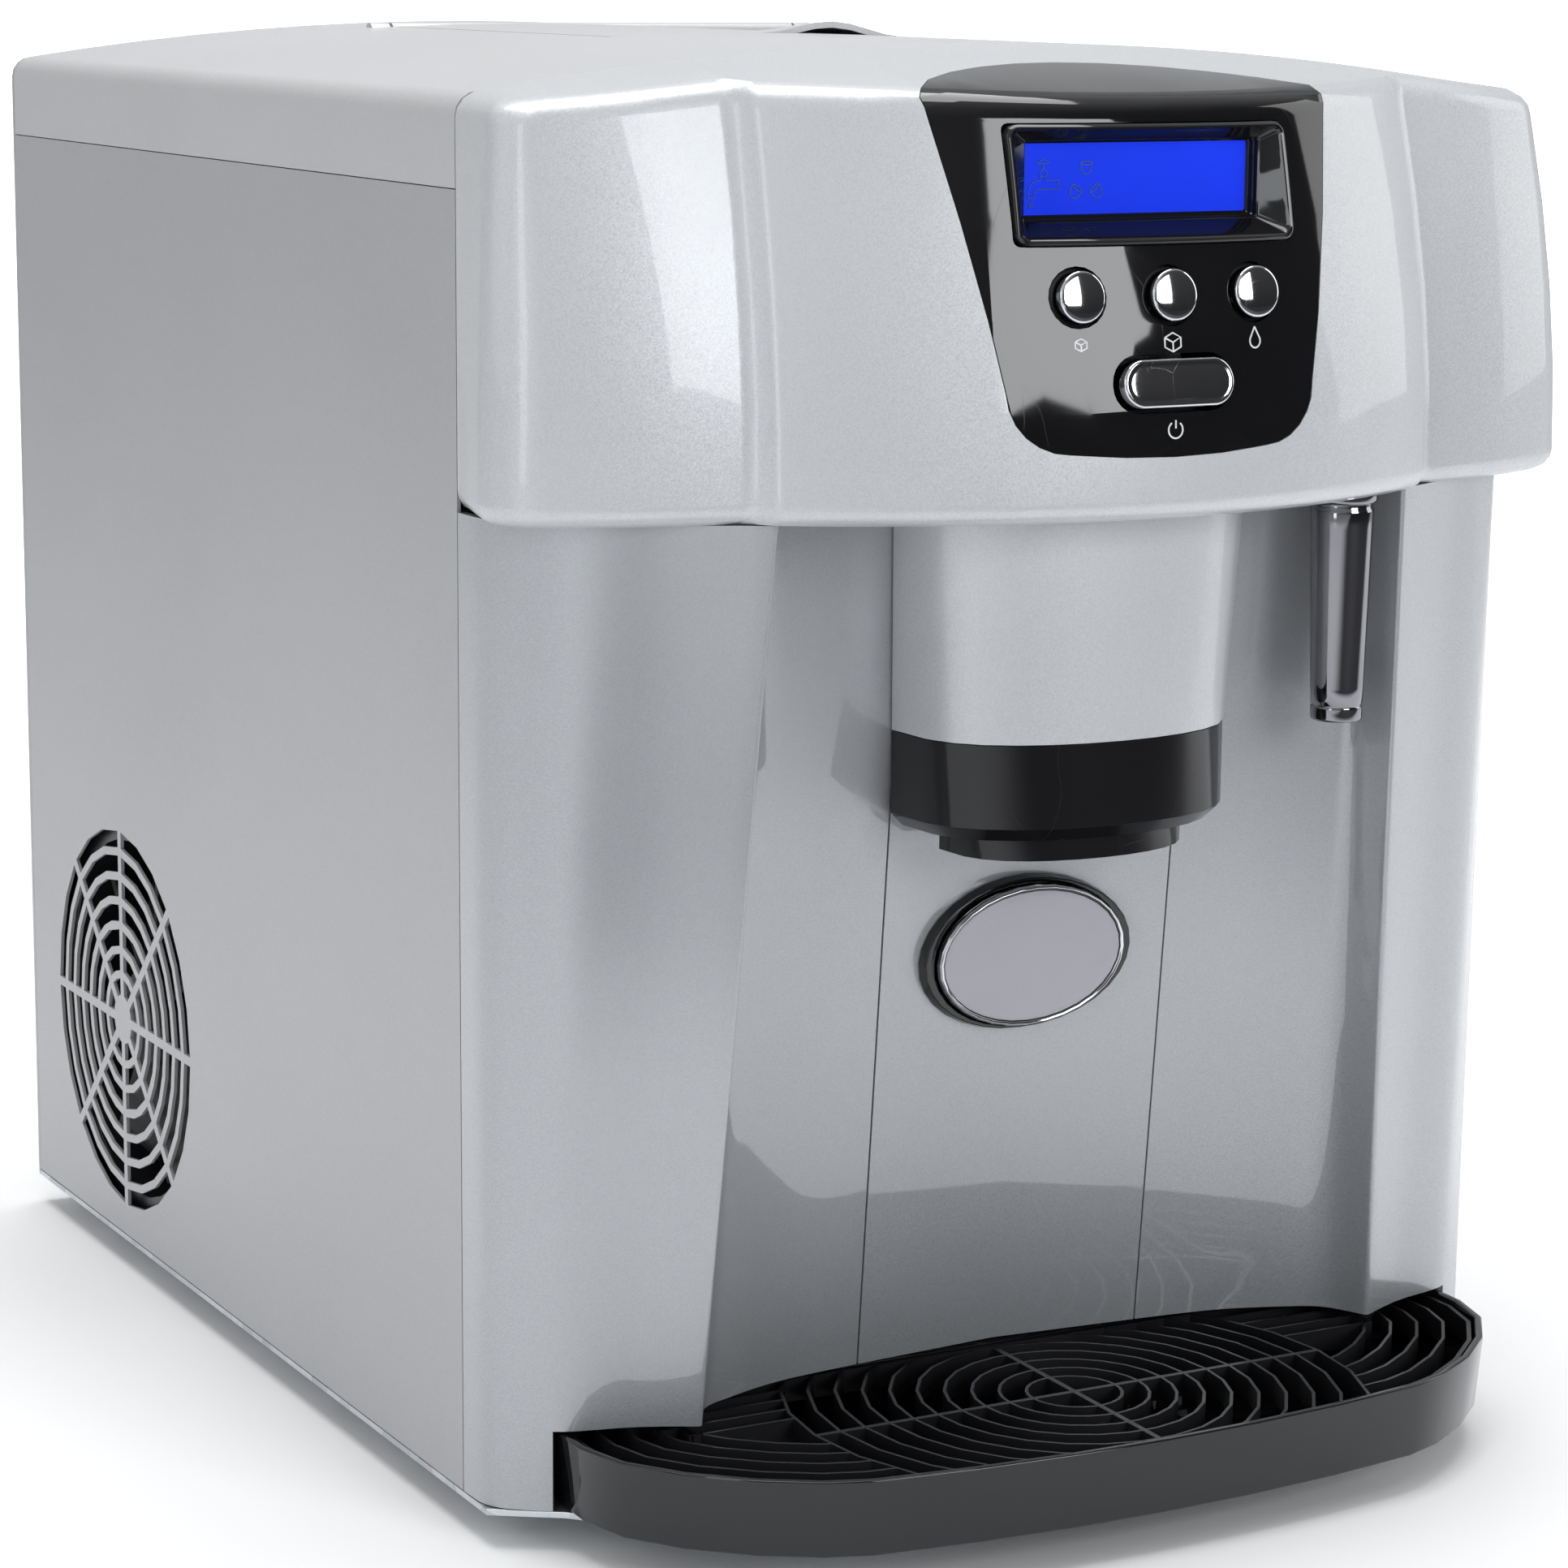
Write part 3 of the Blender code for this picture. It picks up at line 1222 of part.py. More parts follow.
def build_controls():
    """Control panel, display, three round buttons and the long on and off button."""
    skin = skin_slice("control_panel", 0.0, PANEL_THICKNESS, panel_outline(0.0), black_gloss(),
                      panel_zone(0.0))
    holes = bmesh.new()
    half = FRAME_HALF + GAP
    outline_prism(holes, rounded(-half, FRAME_LOW - GAP, half, FRAME_HIGH + GAP, FRAME_CORNER), "Y",
                  back(-FRONT_REACH * 1.5), back(BOARD_Y * 0.5))
    out = button_axis()
    spots = {
        "button_small": -BUTTON_PITCH,
        "button_large": 0.0,
        "button_water": BUTTON_PITCH,
    }
    lean = Matrix.Rotation(math.atan2(out.z, -out.y), 4, "X").inverted()
    for x in spots.values():
        face = Vector((x, back(bow_face(x, BUTTON_Z)), BUTTON_Z))
        hole = bmesh.new()
        radius = BUTTON_RADIUS + GAP
        turned(hole, [(radius, -BUTTON_LENGTH * 2), (radius, BUTTON_LENGTH * 2)], (0.0, 0.0, 0.0), "Y", 20)
        bmesh.ops.transform(hole, matrix=Matrix.Translation(face) @ lean, verts=hole.verts)
        data = bpy.data.meshes.new("guide_button_hole")
        hole.to_mesh(data)
        hole.free()
        holes.from_mesh(data)
    grow = GAP
    switch = rounded(-SWITCH_HALF - grow, SWITCH_Z - SWITCH_HEIGHT / 2 - grow, SWITCH_HALF + grow,
                     SWITCH_Z + SWITCH_HEIGHT / 2 + grow, SWITCH_HEIGHT * 0.49, 6)
    outline_prism(holes, switch, "Y", back(-FRONT_REACH * 1.5), back(BOARD_Y * 0.5))
    combine(skin, guide("panel_holes", holes), "DIFFERENCE")

    frame_back = back(BOARD_Y) - GAP
    mesh = housing_solid(-FRAME_PROUD, 0.0, HOUSING_BOTTOM, 0.0)
    frame = finish("display_frame", mesh, black_gloss())
    block = bmesh.new()
    outline_prism(block, rounded(-FRAME_HALF, FRAME_LOW, FRAME_HALF, FRAME_HIGH, FRAME_CORNER), "Y",
                  back(-FRONT_REACH * 1.5), frame_back)
    combine(frame, guide("frame_block", block), "INTERSECT")
    screen_front = frame_back - SCREEN_THICKNESS - GAP
    window = bmesh.new()
    step = WINDOW_STEP
    box(window, (-WINDOW_HALF - step, back(-FRONT_REACH), WINDOW_LOW - step / 2),
        (WINDOW_HALF + step, screen_front - THIN_WALL - GAP, WINDOW_HIGH + step / 2))
    combine(frame, guide("frame_window", window), "DIFFERENCE")
    sight = bmesh.new()
    box(sight, (-WINDOW_HALF, back(-FRONT_REACH), WINDOW_LOW), (WINDOW_HALF, frame_back + GAP, WINDOW_HIGH))
    combine(frame, guide("frame_sight", sight), "DIFFERENCE")
    seat = bmesh.new()
    grow = THIN_WALL
    box(seat, (-WINDOW_HALF - grow, screen_front - GAP, WINDOW_LOW - grow),
        (WINDOW_HALF + grow, frame_back + GAP, WINDOW_HIGH + grow))
    combine(frame, guide("frame_seat", seat), "DIFFERENCE")
    mesh = bmesh.new()
    grow = THIN_WALL - GAP
    box(mesh, (-WINDOW_HALF - grow, screen_front, WINDOW_LOW - grow),
        (WINDOW_HALF + grow, frame_back, WINDOW_HIGH + grow))
    finish("display_screen", mesh, display_blue())
    mesh = bmesh.new()
    low = BUTTON_Z - BUTTON_RADIUS
    box(mesh, (-FRAME_HALF, back(BOARD_Y), low),
        (FRAME_HALF, back(BOARD_Y) + BOARD_THICKNESS, FRAME_HIGH - THIN_WALL))
    finish("display_board", mesh, board_green())

    for name, x in spots.items():
        face = Vector((x, back(bow_face(x, BUTTON_Z)), BUTTON_Z))
        mesh = bmesh.new()
        r = BUTTON_RADIUS
        profile = [
            (r * 0.9, BUTTON_LENGTH),
            (r, BUTTON_LENGTH * 0.9),
            (r, -BUTTON_PROUD + r * 0.12),
            (r * 0.90, -BUTTON_PROUD),
            (r * 0.74, -BUTTON_PROUD + BUTTON_DISH * 0.2),
            (r * 0.66, -BUTTON_PROUD + BUTTON_DISH),
        ]
        turned(mesh, profile, (0.0, 0.0, 0.0), "Y", 20)
        bmesh.ops.transform(mesh, matrix=Matrix.Translation(face) @ lean, verts=mesh.verts)
        finish(name, mesh, chrome(), face)
    face_y = bow_face(0.0, SWITCH_Z)
    mesh = bmesh.new()
    outline = rounded(-SWITCH_HALF, SWITCH_Z - SWITCH_HEIGHT / 2, SWITCH_HALF, SWITCH_Z + SWITCH_HEIGHT / 2,
                      SWITCH_HEIGHT * 0.49, 6)
    small = rounded(-SWITCH_HALF + BUTTON_DISH, SWITCH_Z - SWITCH_HEIGHT / 2 + BUTTON_DISH,
                    SWITCH_HALF - BUTTON_DISH, SWITCH_Z + SWITCH_HEIGHT / 2 - BUTTON_DISH,
                    SWITCH_HEIGHT * 0.44, 6)
    rings = [
        [(px, back(face_y) + BUTTON_LENGTH * 0.7, pz) for px, pz in outline],
        [(px, back(face_y) - BUTTON_PROUD + BUTTON_DISH, pz) for px, pz in outline],
        [(px, back(face_y) - BUTTON_PROUD, pz) for px, pz in small],
    ]
    loft(mesh, rings)
    finish("button_on_off", mesh, chrome(), (0.0, back(face_y), SWITCH_Z))


def build_lower_front():
    """Lower front panel with its pillars, and the separate panel in the niche."""
    top = HOUSING_BOTTOM - GAP
    mesh = bmesh.new()
    levels = []
    steps = 4
    heights = [PANEL_BOTTOM] + [mix(PILLAR_FOOT, top, i / steps) for i in range(steps + 1)]
    for z in heights:
        line = lower_line(max(z, PILLAR_FOOT))
        recess = NICHE_PANEL_THICKNESS + GAP
        centre = [(0.0, line[0][1] + recess), (NICHE_HALF + GAP, line[1][1] + recess)]
        rim = [(NICHE_HALF + GAP * 2, line[1][1])]
        right = centre + rim + line[2:]
        front = [(-x, y) for x, y in right[:0:-1]] + right
        rear = inset_line(front, WALL)
        rear = [(x, min(y, -GAP)) if abs(x) > CREASE_X_LOW else (x, y) for x, y in rear]
        levels.append(([(x, back(y), z) for x, y in front], [(x, back(y), z) for x, y in rear]))
    ribbon(mesh, levels)
    panel = finish("lower_front_panel", mesh, silver_satin())
    slot = bmesh.new()
    box(slot, (-LEG_INNER_X, back(-FRONT_REACH), FOOT_HEIGHT), (LEG_INNER_X, back(WALL * 2), PILLAR_FOOT))
    combine(panel, guide("tray_slot", slot), "DIFFERENCE")

    mesh = bmesh.new()
    levels = []
    for z in heights[1:]:
        line = lower_line(z)
        front = [(-NICHE_HALF, line[1][1]), (0.0, line[0][1]), (NICHE_HALF, line[1][1])]
        rear = [(x, y + NICHE_PANEL_THICKNESS) for x, y in front]
        levels.append(([(x, back(y), z) for x, y in front], [(x, back(y), z) for x, y in rear]))
    ribbon(mesh, levels)
    niche = finish("niche_panel", mesh, silver_satin())
    hole = bmesh.new()
    grow = RUN_GAP
    outline = ellipse(0.0, DISPENSE_Z, DISPENSE_FACE_X + DISPENSE_RING + grow,
                      DISPENSE_FACE_Z + DISPENSE_RING + grow, 32)
    outline_prism(hole, outline, "Y", back(-FRONT_REACH), back(WALL * 4))
    tool = guide("dispense_hole", hole)
    combine(panel, tool, "DIFFERENCE")
    combine(niche, tool, "DIFFERENCE")


def chute_half(z):
    """Give the chute's half width at one height."""
    t = (z - CHUTE_SPLIT_Z) / (HOUSING_BOTTOM - CHUTE_SPLIT_Z)
    return mix(CHUTE_HALF_LOW, CHUTE_HALF_TOP, t)


def u_ring(half, front, rear_y, z, slant=0.0):
    """Give one ring of a U-shaped shell; the rear edge is straight."""
    steps = 14
    points = [(half, back(rear_y), z)]
    depth = front + rear_y
    for i in range(steps + 1):
        a = math.pi * i / steps
        x = half * math.cos(a)
        y = rear_y - GAP - (depth - GAP) * math.sin(a) ** 0.62
        points.append((x, back(y), z + slant * math.sin(a)))
    points.append((-half, back(rear_y), z))
    return points


def build_chute():
    """Silver barrel and black collar, open from the housing down to the outlet."""
    top = HOUSING_BOTTOM - GAP
    wall = WALL
    mesh = bmesh.new()
    outer = []
    inner = []
    for z in (CHUTE_SPLIT_Z + GAP, mix(CHUTE_SPLIT_Z, top, 0.5), top):
        half = chute_half(z)
        rear = niche_face(half, z) - GAP * 2
        outer.append(u_ring(half, CHUTE_FRONT, rear, z))
        inner.append(u_ring(half - wall, CHUTE_FRONT - wall, rear - wall, z))
    loft(mesh, outer)
    barrel = finish("chute_barrel", mesh, silver_gloss())
    bore = bmesh.new()
    low = [(x, y, z - wall) for x, y, z in inner[0]]
    high = [(x, y, z + wall) for x, y, z in inner[-1]]
    loft(bore, [low] + inner[1:-1] + [high])
    combine(barrel, guide("barrel_bore", bore), "DIFFERENCE")

    mesh = bmesh.new()
    rings = []
    inner = []
    half = chute_half(CHUTE_SPLIT_Z)
    rear = niche_face(half, CHUTE_SPLIT_Z - wall) - GAP * 2
    low_rear = rear
    z_low = COLLAR_BOTTOM_Z
    outlet_front = CHUTE_FRONT - (half - OUTLET_HALF) * 0.6
    rings.append(u_ring(OUTLET_HALF, outlet_front, low_rear - wall * 2, OUTLET_BOTTOM_Z))
    rings.append(u_ring(OUTLET_HALF, outlet_front, low_rear - wall * 2, z_low))
    rings.append(u_ring(half - COLLAR_ROUND, CHUTE_FRONT - COLLAR_ROUND, low_rear, z_low))
    rings.append(u_ring(half, CHUTE_FRONT, low_rear, z_low + COLLAR_ROUND))
    rings.append(u_ring(half, CHUTE_FRONT, rear, CHUTE_SPLIT_Z))
    loft(mesh, rings)
    collar = finish("chute_collar", mesh, black_gloss())
    bore = bmesh.new()
    hole = OUTLET_HALF - THIN_WALL
    deep = outlet_front - THIN_WALL
    rear_in = low_rear - wall * 2 - THIN_WALL
    inner.append(u_ring(hole, deep, rear_in, OUTLET_BOTTOM_Z - wall))
    inner.append(u_ring(hole, deep, rear_in, z_low + THIN_WALL))
    inner.append(u_ring(half - wall, CHUTE_FRONT - wall, rear - wall, z_low + COLLAR_ROUND * 2))
    inner.append(u_ring(half - wall, CHUTE_FRONT - wall, rear - wall, CHUTE_SPLIT_Z + wall))
    loft(bore, inner)
    combine(collar, guide("collar_bore", bore), "DIFFERENCE")


def build_nozzle():
    """Water nozzle hung through the housing's floor."""
    top = HOUSING_BOTTOM - GAP
    mesh = bmesh.new()
    profile = [
        (NOZZLE_RADIUS_LOW * 0.9, NOZZLE_BOTTOM_Z),
        (NOZZLE_RADIUS_LOW, NOZZLE_BOTTOM_Z + THIN_WALL * 0.5),
        (NOZZLE_RADIUS_TOP, top - NOZZLE_RIM_HEIGHT),
        (NOZZLE_RIM, top - NOZZLE_RIM_HEIGHT * 0.8),
        (NOZZLE_RIM, top),
        (NOZZLE_NECK, top),
        (NOZZLE_NECK, top + WALL + NOZZLE_NECK_HEIGHT),
    ]
    turned(mesh, profile, (NOZZLE_X, back(NOZZLE_Y), 0.0))
    nozzle = finish("water_nozzle", mesh, chrome())
    bore = bmesh.new()
    turned(bore, [(NOZZLE_BORE, NOZZLE_BOTTOM_Z - WALL), (NOZZLE_BORE, top + WALL * 2 + NOZZLE_NECK_HEIGHT)],
           (NOZZLE_X, back(NOZZLE_Y), 0.0), segments=16)
    combine(nozzle, guide("nozzle_bore", bore), "DIFFERENCE")


def build_dispense():
    """Dark oval bezel, chrome ring and the sprung oval button, with its switch."""
    wall_y = niche_face(0.0, DISPENSE_Z)
    slope = (NICHE_CENTRE_HIGH - NICHE_CENTRE_LOW) / (HOUSING_BOTTOM - PILLAR_FOOT)
    ring_x = DISPENSE_FACE_X + DISPENSE_RING
    ring_z = DISPENSE_FACE_Z + DISPENSE_RING
    segments = DISPENSE_SEGMENTS

    def wall_ring(rx, rz, offset):
        points = []
        for x, z in ellipse(0.0, DISPENSE_Z, rx, rz, segments):
            points.append((x, back(niche_face(x, z) + offset), z))
        return points

    mesh = bmesh.new()
    base = -GAP
    rings = [
        wall_ring(ring_x + RUN_GAP, ring_z + RUN_GAP, base),
        wall_ring(DISPENSE_HALF_X, DISPENSE_HALF_Z, base),
        wall_ring(DISPENSE_HALF_X - THIN_WALL * 0.4, DISPENSE_HALF_Z - THIN_WALL * 0.4, base - BEZEL_PROUD),
        wall_ring(ring_x + RUN_GAP, ring_z + RUN_GAP, base - BEZEL_PROUD),
    ]
    loft(mesh, rings + [rings[0]], cap=False)
    finish("dispense_bezel", mesh, black_gloss())

    centre = (0.0, back(wall_y), DISPENSE_Z)
    front = -DISPENSE_PROUD
    mesh = bmesh.new()
    rings = []
    for rx, rz, depth in (
        (DISPENSE_FACE_X, DISPENSE_FACE_Z, -BEZEL_PROUD),
        (ring_x, ring_z, -BEZEL_PROUD),
        (ring_x, ring_z, front + THIN_WALL * 0.5),
        (ring_x - DISPENSE_RING * 0.4, ring_z - DISPENSE_RING * 0.4, front - THIN_WALL * 0.2),
        (DISPENSE_FACE_X, DISPENSE_FACE_Z, front),
    ):
        rings.append([(x, back(wall_y + depth + (DISPENSE_Z - z) * slope), z)
                      for x, z in ellipse(0.0, DISPENSE_Z, rx, rz, segments)])
    loft(mesh, rings + [rings[0]], cap=False)
    finish("dispense_ring", mesh, chrome(), centre)

    mesh = bmesh.new()
    rings = []
    inner_x = DISPENSE_FACE_X - GAP
    inner_z = DISPENSE_FACE_Z - GAP
    for rx, rz, depth in (
        (inner_x * 0.8, inner_z * 0.8, DISPENSE_BACK),
        (ring_x, ring_z, -BEZEL_PROUD + GAP),
        (inner_x, inner_z, -BEZEL_PROUD + GAP),
        (inner_x, inner_z, front + GAP),
        (inner_x * 0.94, inner_z * 0.94, front),
    ):
        lean = slope if depth < DISPENSE_BACK else 0.0
        rings.append([(x, back(wall_y + depth + (DISPENSE_Z - z) * lean), z)
                      for x, z in ellipse(0.0, DISPENSE_Z, rx, rz, segments)])
    loft(mesh, rings)
    finish("dispense_button", mesh, button_grey(), centre)

    mesh = bmesh.new()
    half = SWITCH_BOX / 2
    rear = FRAME_FRONT - GAP
    box(mesh, (-half, back(rear - SWITCH_BOX_DEPTH), DISPENSE_Z - half),
        (half, back(rear), DISPENSE_Z + half))
    finish("dispense_switch", mesh, black_matt())


def tray_line(inset):
    """Give the drip tray's plan outline, shrunk by an inset, running anticlockwise."""
    arc_half = TRAY_REAR_X - TRAY_CORNER
    radius = (arc_half * arc_half + TRAY_SAG * TRAY_SAG) / (2 * TRAY_SAG)
    right = []
    arc_steps = 3
    for i in range(arc_steps + 1):
        x = arc_half * i / arc_steps
        right.append((x, -FRONT_REACH + radius - math.sqrt(radius * radius - x * x)))
    lean = math.asin(arc_half / radius)
    start = Vector(right[-1])
    stop = Vector((TRAY_REAR_X, -TRAY_STRAIGHT))
    first = start + Vector((math.cos(lean), math.sin(lean))) * TRAY_FRONT_PULL
    second = stop - Vector((0.0, TRAY_SIDE_PULL))
    corner_steps = 5
    for i in range(1, corner_steps + 1):
        t = i / corner_steps
        u = 1 - t
        spot = start * u ** 3 + first * (3 * u * u * t) + second * (3 * u * t * t) + stop * t ** 3
        right.append((spot.x, spot.y))
    right.append((TRAY_REAR_X, -TRAY_REAR))
    right.append((TRAY_REAR_X - THIN_WALL, TRAY_INSIDE_REACH))
    outline = [(-x, y) for x, y in reversed(right[1:])] + right
    moved = inset_loop(outline, inset) if inset else outline
    return [(x, back(y)) for x, y in moved]


def grille_arc(mesh, radius, low, high):
    """Add one upright ring blade of the drip grille."""
    half = GRILLE_BLADE / 2
    segments = GRILLE_SEGMENTS
    centre = (0.0, back(-GRILLE_CENTRE))
    outer = circle(*centre, radius + half, segments)
    inner = circle(*centre, radius - half, segments)
    rings = [
        [(x, y, low) for x, y in inner],
        [(x, y, low) for x, y in outer],
        [(x, y, high) for x, y in outer],
        [(x, y, high) for x, y in inner],
    ]
    loft(mesh, rings + [rings[0]], cap=False)


def outline_wall(mesh, inset, thickness, low, high):
    """Add one upright blade that follows the tray's outline."""
    outer = tray_line(inset)
    inner = tray_line(inset + thickness)
    rings = [
        [(x, y, low) for x, y in inner],
        [(x, y, low) for x, y in outer],
        [(x, y, high) for x, y in outer],
        [(x, y, high) for x, y in inner],
    ]
    loft(mesh, rings + [rings[0]], cap=False)


def build_tray():
    """Drip tray and the grille that lies in it."""
    floor = PAN_TOP + GAP
    mesh = bmesh.new()
    wall = TRAY_WALL
    rings = [
        [(x, y, floor) for x, y in tray_line(TRAY_TAPER)],
        [(x, y, TRAY_TOP) for x, y in tray_line(0.0)],
        [(x, y, TRAY_TOP) for x, y in tray_line(wall)],
        [(x, y, floor + TRAY_FLOOR) for x, y in tray_line(wall + TRAY_TAPER)],
    ]
    loft(mesh, rings)
    tray = finish("drip_tray", mesh, black_gloss())

    high = TRAY_TOP - GRILLE_DROP
    low = high - GRILLE_HEIGHT
    edge = wall + GAP + TRAY_TAPER * (TRAY_TOP - low) / (TRAY_TOP - floor)
    blade = GRILLE_BLADE
    rests = bmesh.new()
    for x, half in ((-TRAY_REST_X, TRAY_REST_HALF), (0.0, TRAY_POST_HALF), (TRAY_REST_X, TRAY_REST_HALF)):
        box(rests, (x - half, back(-GRILLE_CENTRE) - half, floor + TRAY_FLOOR / 2),
            (x + half, back(-GRILLE_CENTRE) + half, low - GAP))
    combine(tray, guide("tray_rests", rests), "UNION")

    mesh = bmesh.new()
    outline_wall(mesh, edge, GRILLE_RIM_BLADE, low, high)
    grille = finish("drip_grille", mesh, black_matt())
    limit = GRILLE_HUB + GRILLE_PITCH * GRILLE_RINGS
    clip_line = tray_line(edge + GRILLE_RIM_BLADE / 2)
    rings = bmesh.new()
    for ring in range(GRILLE_RINGS + 1):
        radius = GRILLE_HUB + GRILLE_PITCH * ring
        grille_arc(rings, radius, low, high)
    ring_tool = guide("grille_rings", rings)
    clip = bmesh.new()
    outline_prism(clip, clip_line, "Z", low - blade, high + blade)
    combine(ring_tool, guide("grille_clip", clip), "INTERSECT")
    combine(grille, ring_tool, "UNION")
    ends = bmesh.new()
    pitch = GRILLE_PITCH
    for arc in range(1, GRILLE_END_ARCS + 1):
        outline_wall(ends, edge + arc * pitch, blade, low, high)
    ends_tool = guide("grille_ends", ends)
    disc = bmesh.new()
    turned(disc, [(limit, low - blade), (limit, high + blade)], (0.0, back(-GRILLE_CENTRE), 0.0),
           segments=48)
    combine(ends_tool, guide("grille_disc", disc), "DIFFERENCE")
    combine(grille, ends_tool, "UNION")
    half = GRILLE_SPOKE / 2
    middle = back(-GRILLE_CENTRE)
    front = back(-FRONT_REACH) + edge + blade / 2
    rear = back(TRAY_INSIDE_REACH) - edge - blade / 2
    bar = bmesh.new()
    box(bar, (-half, front, low), (half, rear, high))
    combine(grille, guide("grille_bar", bar), "UNION")
    spokes = bmesh.new()
    box(spokes, (-limit, middle - half, low), (limit, middle + half, high))
    combine(grille, guide("grille_spokes", spokes), "UNION")


def pipe_drop():
    """Give the spot where the suction pipe goes down through the deck."""
    return LID_X + TANK_HALF + TANK_RIM - PIPE_RADIUS * 4, back(TANK_BACK + TANK_RIM + PIPE_RADIUS * 3)


def build_frame():
    """Inner frame: a deck on a front and a back leg."""
    sheet = SHEET
    foot = PANEL_BOTTOM
    points = [
        (back(FRAME_FRONT), foot),
        (back(FRAME_FRONT), DECK_TOP),
        (back(FRAME_BACK), DECK_TOP),
        (back(FRAME_BACK), foot),
        (back(FRAME_BACK) - sheet, foot),
        (back(FRAME_BACK) - sheet, DECK_TOP - sheet),
        (back(FRAME_FRONT) + sheet, DECK_TOP - sheet),
        (back(FRAME_FRONT) + sheet, foot),
    ]
    mesh = bmesh.new()
    outline_prism(mesh, points, "X", -FRAME_WIDTH_HALF, FRAME_WIDTH_HALF)
    frame = finish("inner_frame", mesh, zinc())
    cuts = bmesh.new()
    grow = RUN_GAP
    box(cuts, (LID_X - TANK_HALF - grow, back(TANK_FRONT) - grow, DECK_TOP - WALL),
        (LID_X + TANK_HALF + grow, back(TANK_BACK) + grow, DECK_TOP + WALL))
    box(cuts, (INLET_X - INLET_WIDTH, back(FRAME_BACK) - WALL, FOOT_HEIGHT),
        (INLET_X + INLET_WIDTH, back(FRAME_BACK) + WALL, INLET_Z + INLET_HEIGHT))
    turned(cuts, [(DRAIN_CAP_RADIUS, -WALL), (DRAIN_CAP_RADIUS, WALL)],
           (DRAIN_X, back(FRAME_BACK), DRAIN_Z), "Y")
    drop = PIPE_RADIUS + RUN_GAP
    turned(cuts, [(drop, -WALL), (drop, WALL)], (*pipe_drop(), DECK_TOP), segments=12)
    combine(frame, guide("frame_cuts", cuts), "DIFFERENCE")


def build_tank():
    """Water tank that hangs by its rim in the deck."""
    wall = THIN_WALL
    low = DECK_TOP + GAP
    x0 = LID_X - TANK_HALF
    x1 = LID_X + TANK_HALF
    y0 = back(TANK_FRONT)
    y1 = back(TANK_BACK)
    rim = TANK_RIM
    turn = EDGE_ROUND
    outer = rounded(x0, y0, x1, y1, turn)
    flange = rounded(x0 - rim, y0 - rim, x1 + rim, y1 + rim, turn + rim)
    inner = rounded(x0 + wall, y0 + wall, x1 - wall, y1 - wall, turn - wall)
    rings = [
        [(x, y, TANK_BOTTOM) for x, y in outer],
        [(x, y, low) for x, y in outer],
        [(x, y, low) for x, y in flange],
        [(x, y, low + wall) for x, y in flange],
        [(x, y, low + wall) for x, y in inner],
        [(x, y, TANK_BOTTOM + wall) for x, y in inner],
    ]
    mesh = bmesh.new()
    loft(mesh, rings)
    finish("water_tank", mesh, white_plastic())


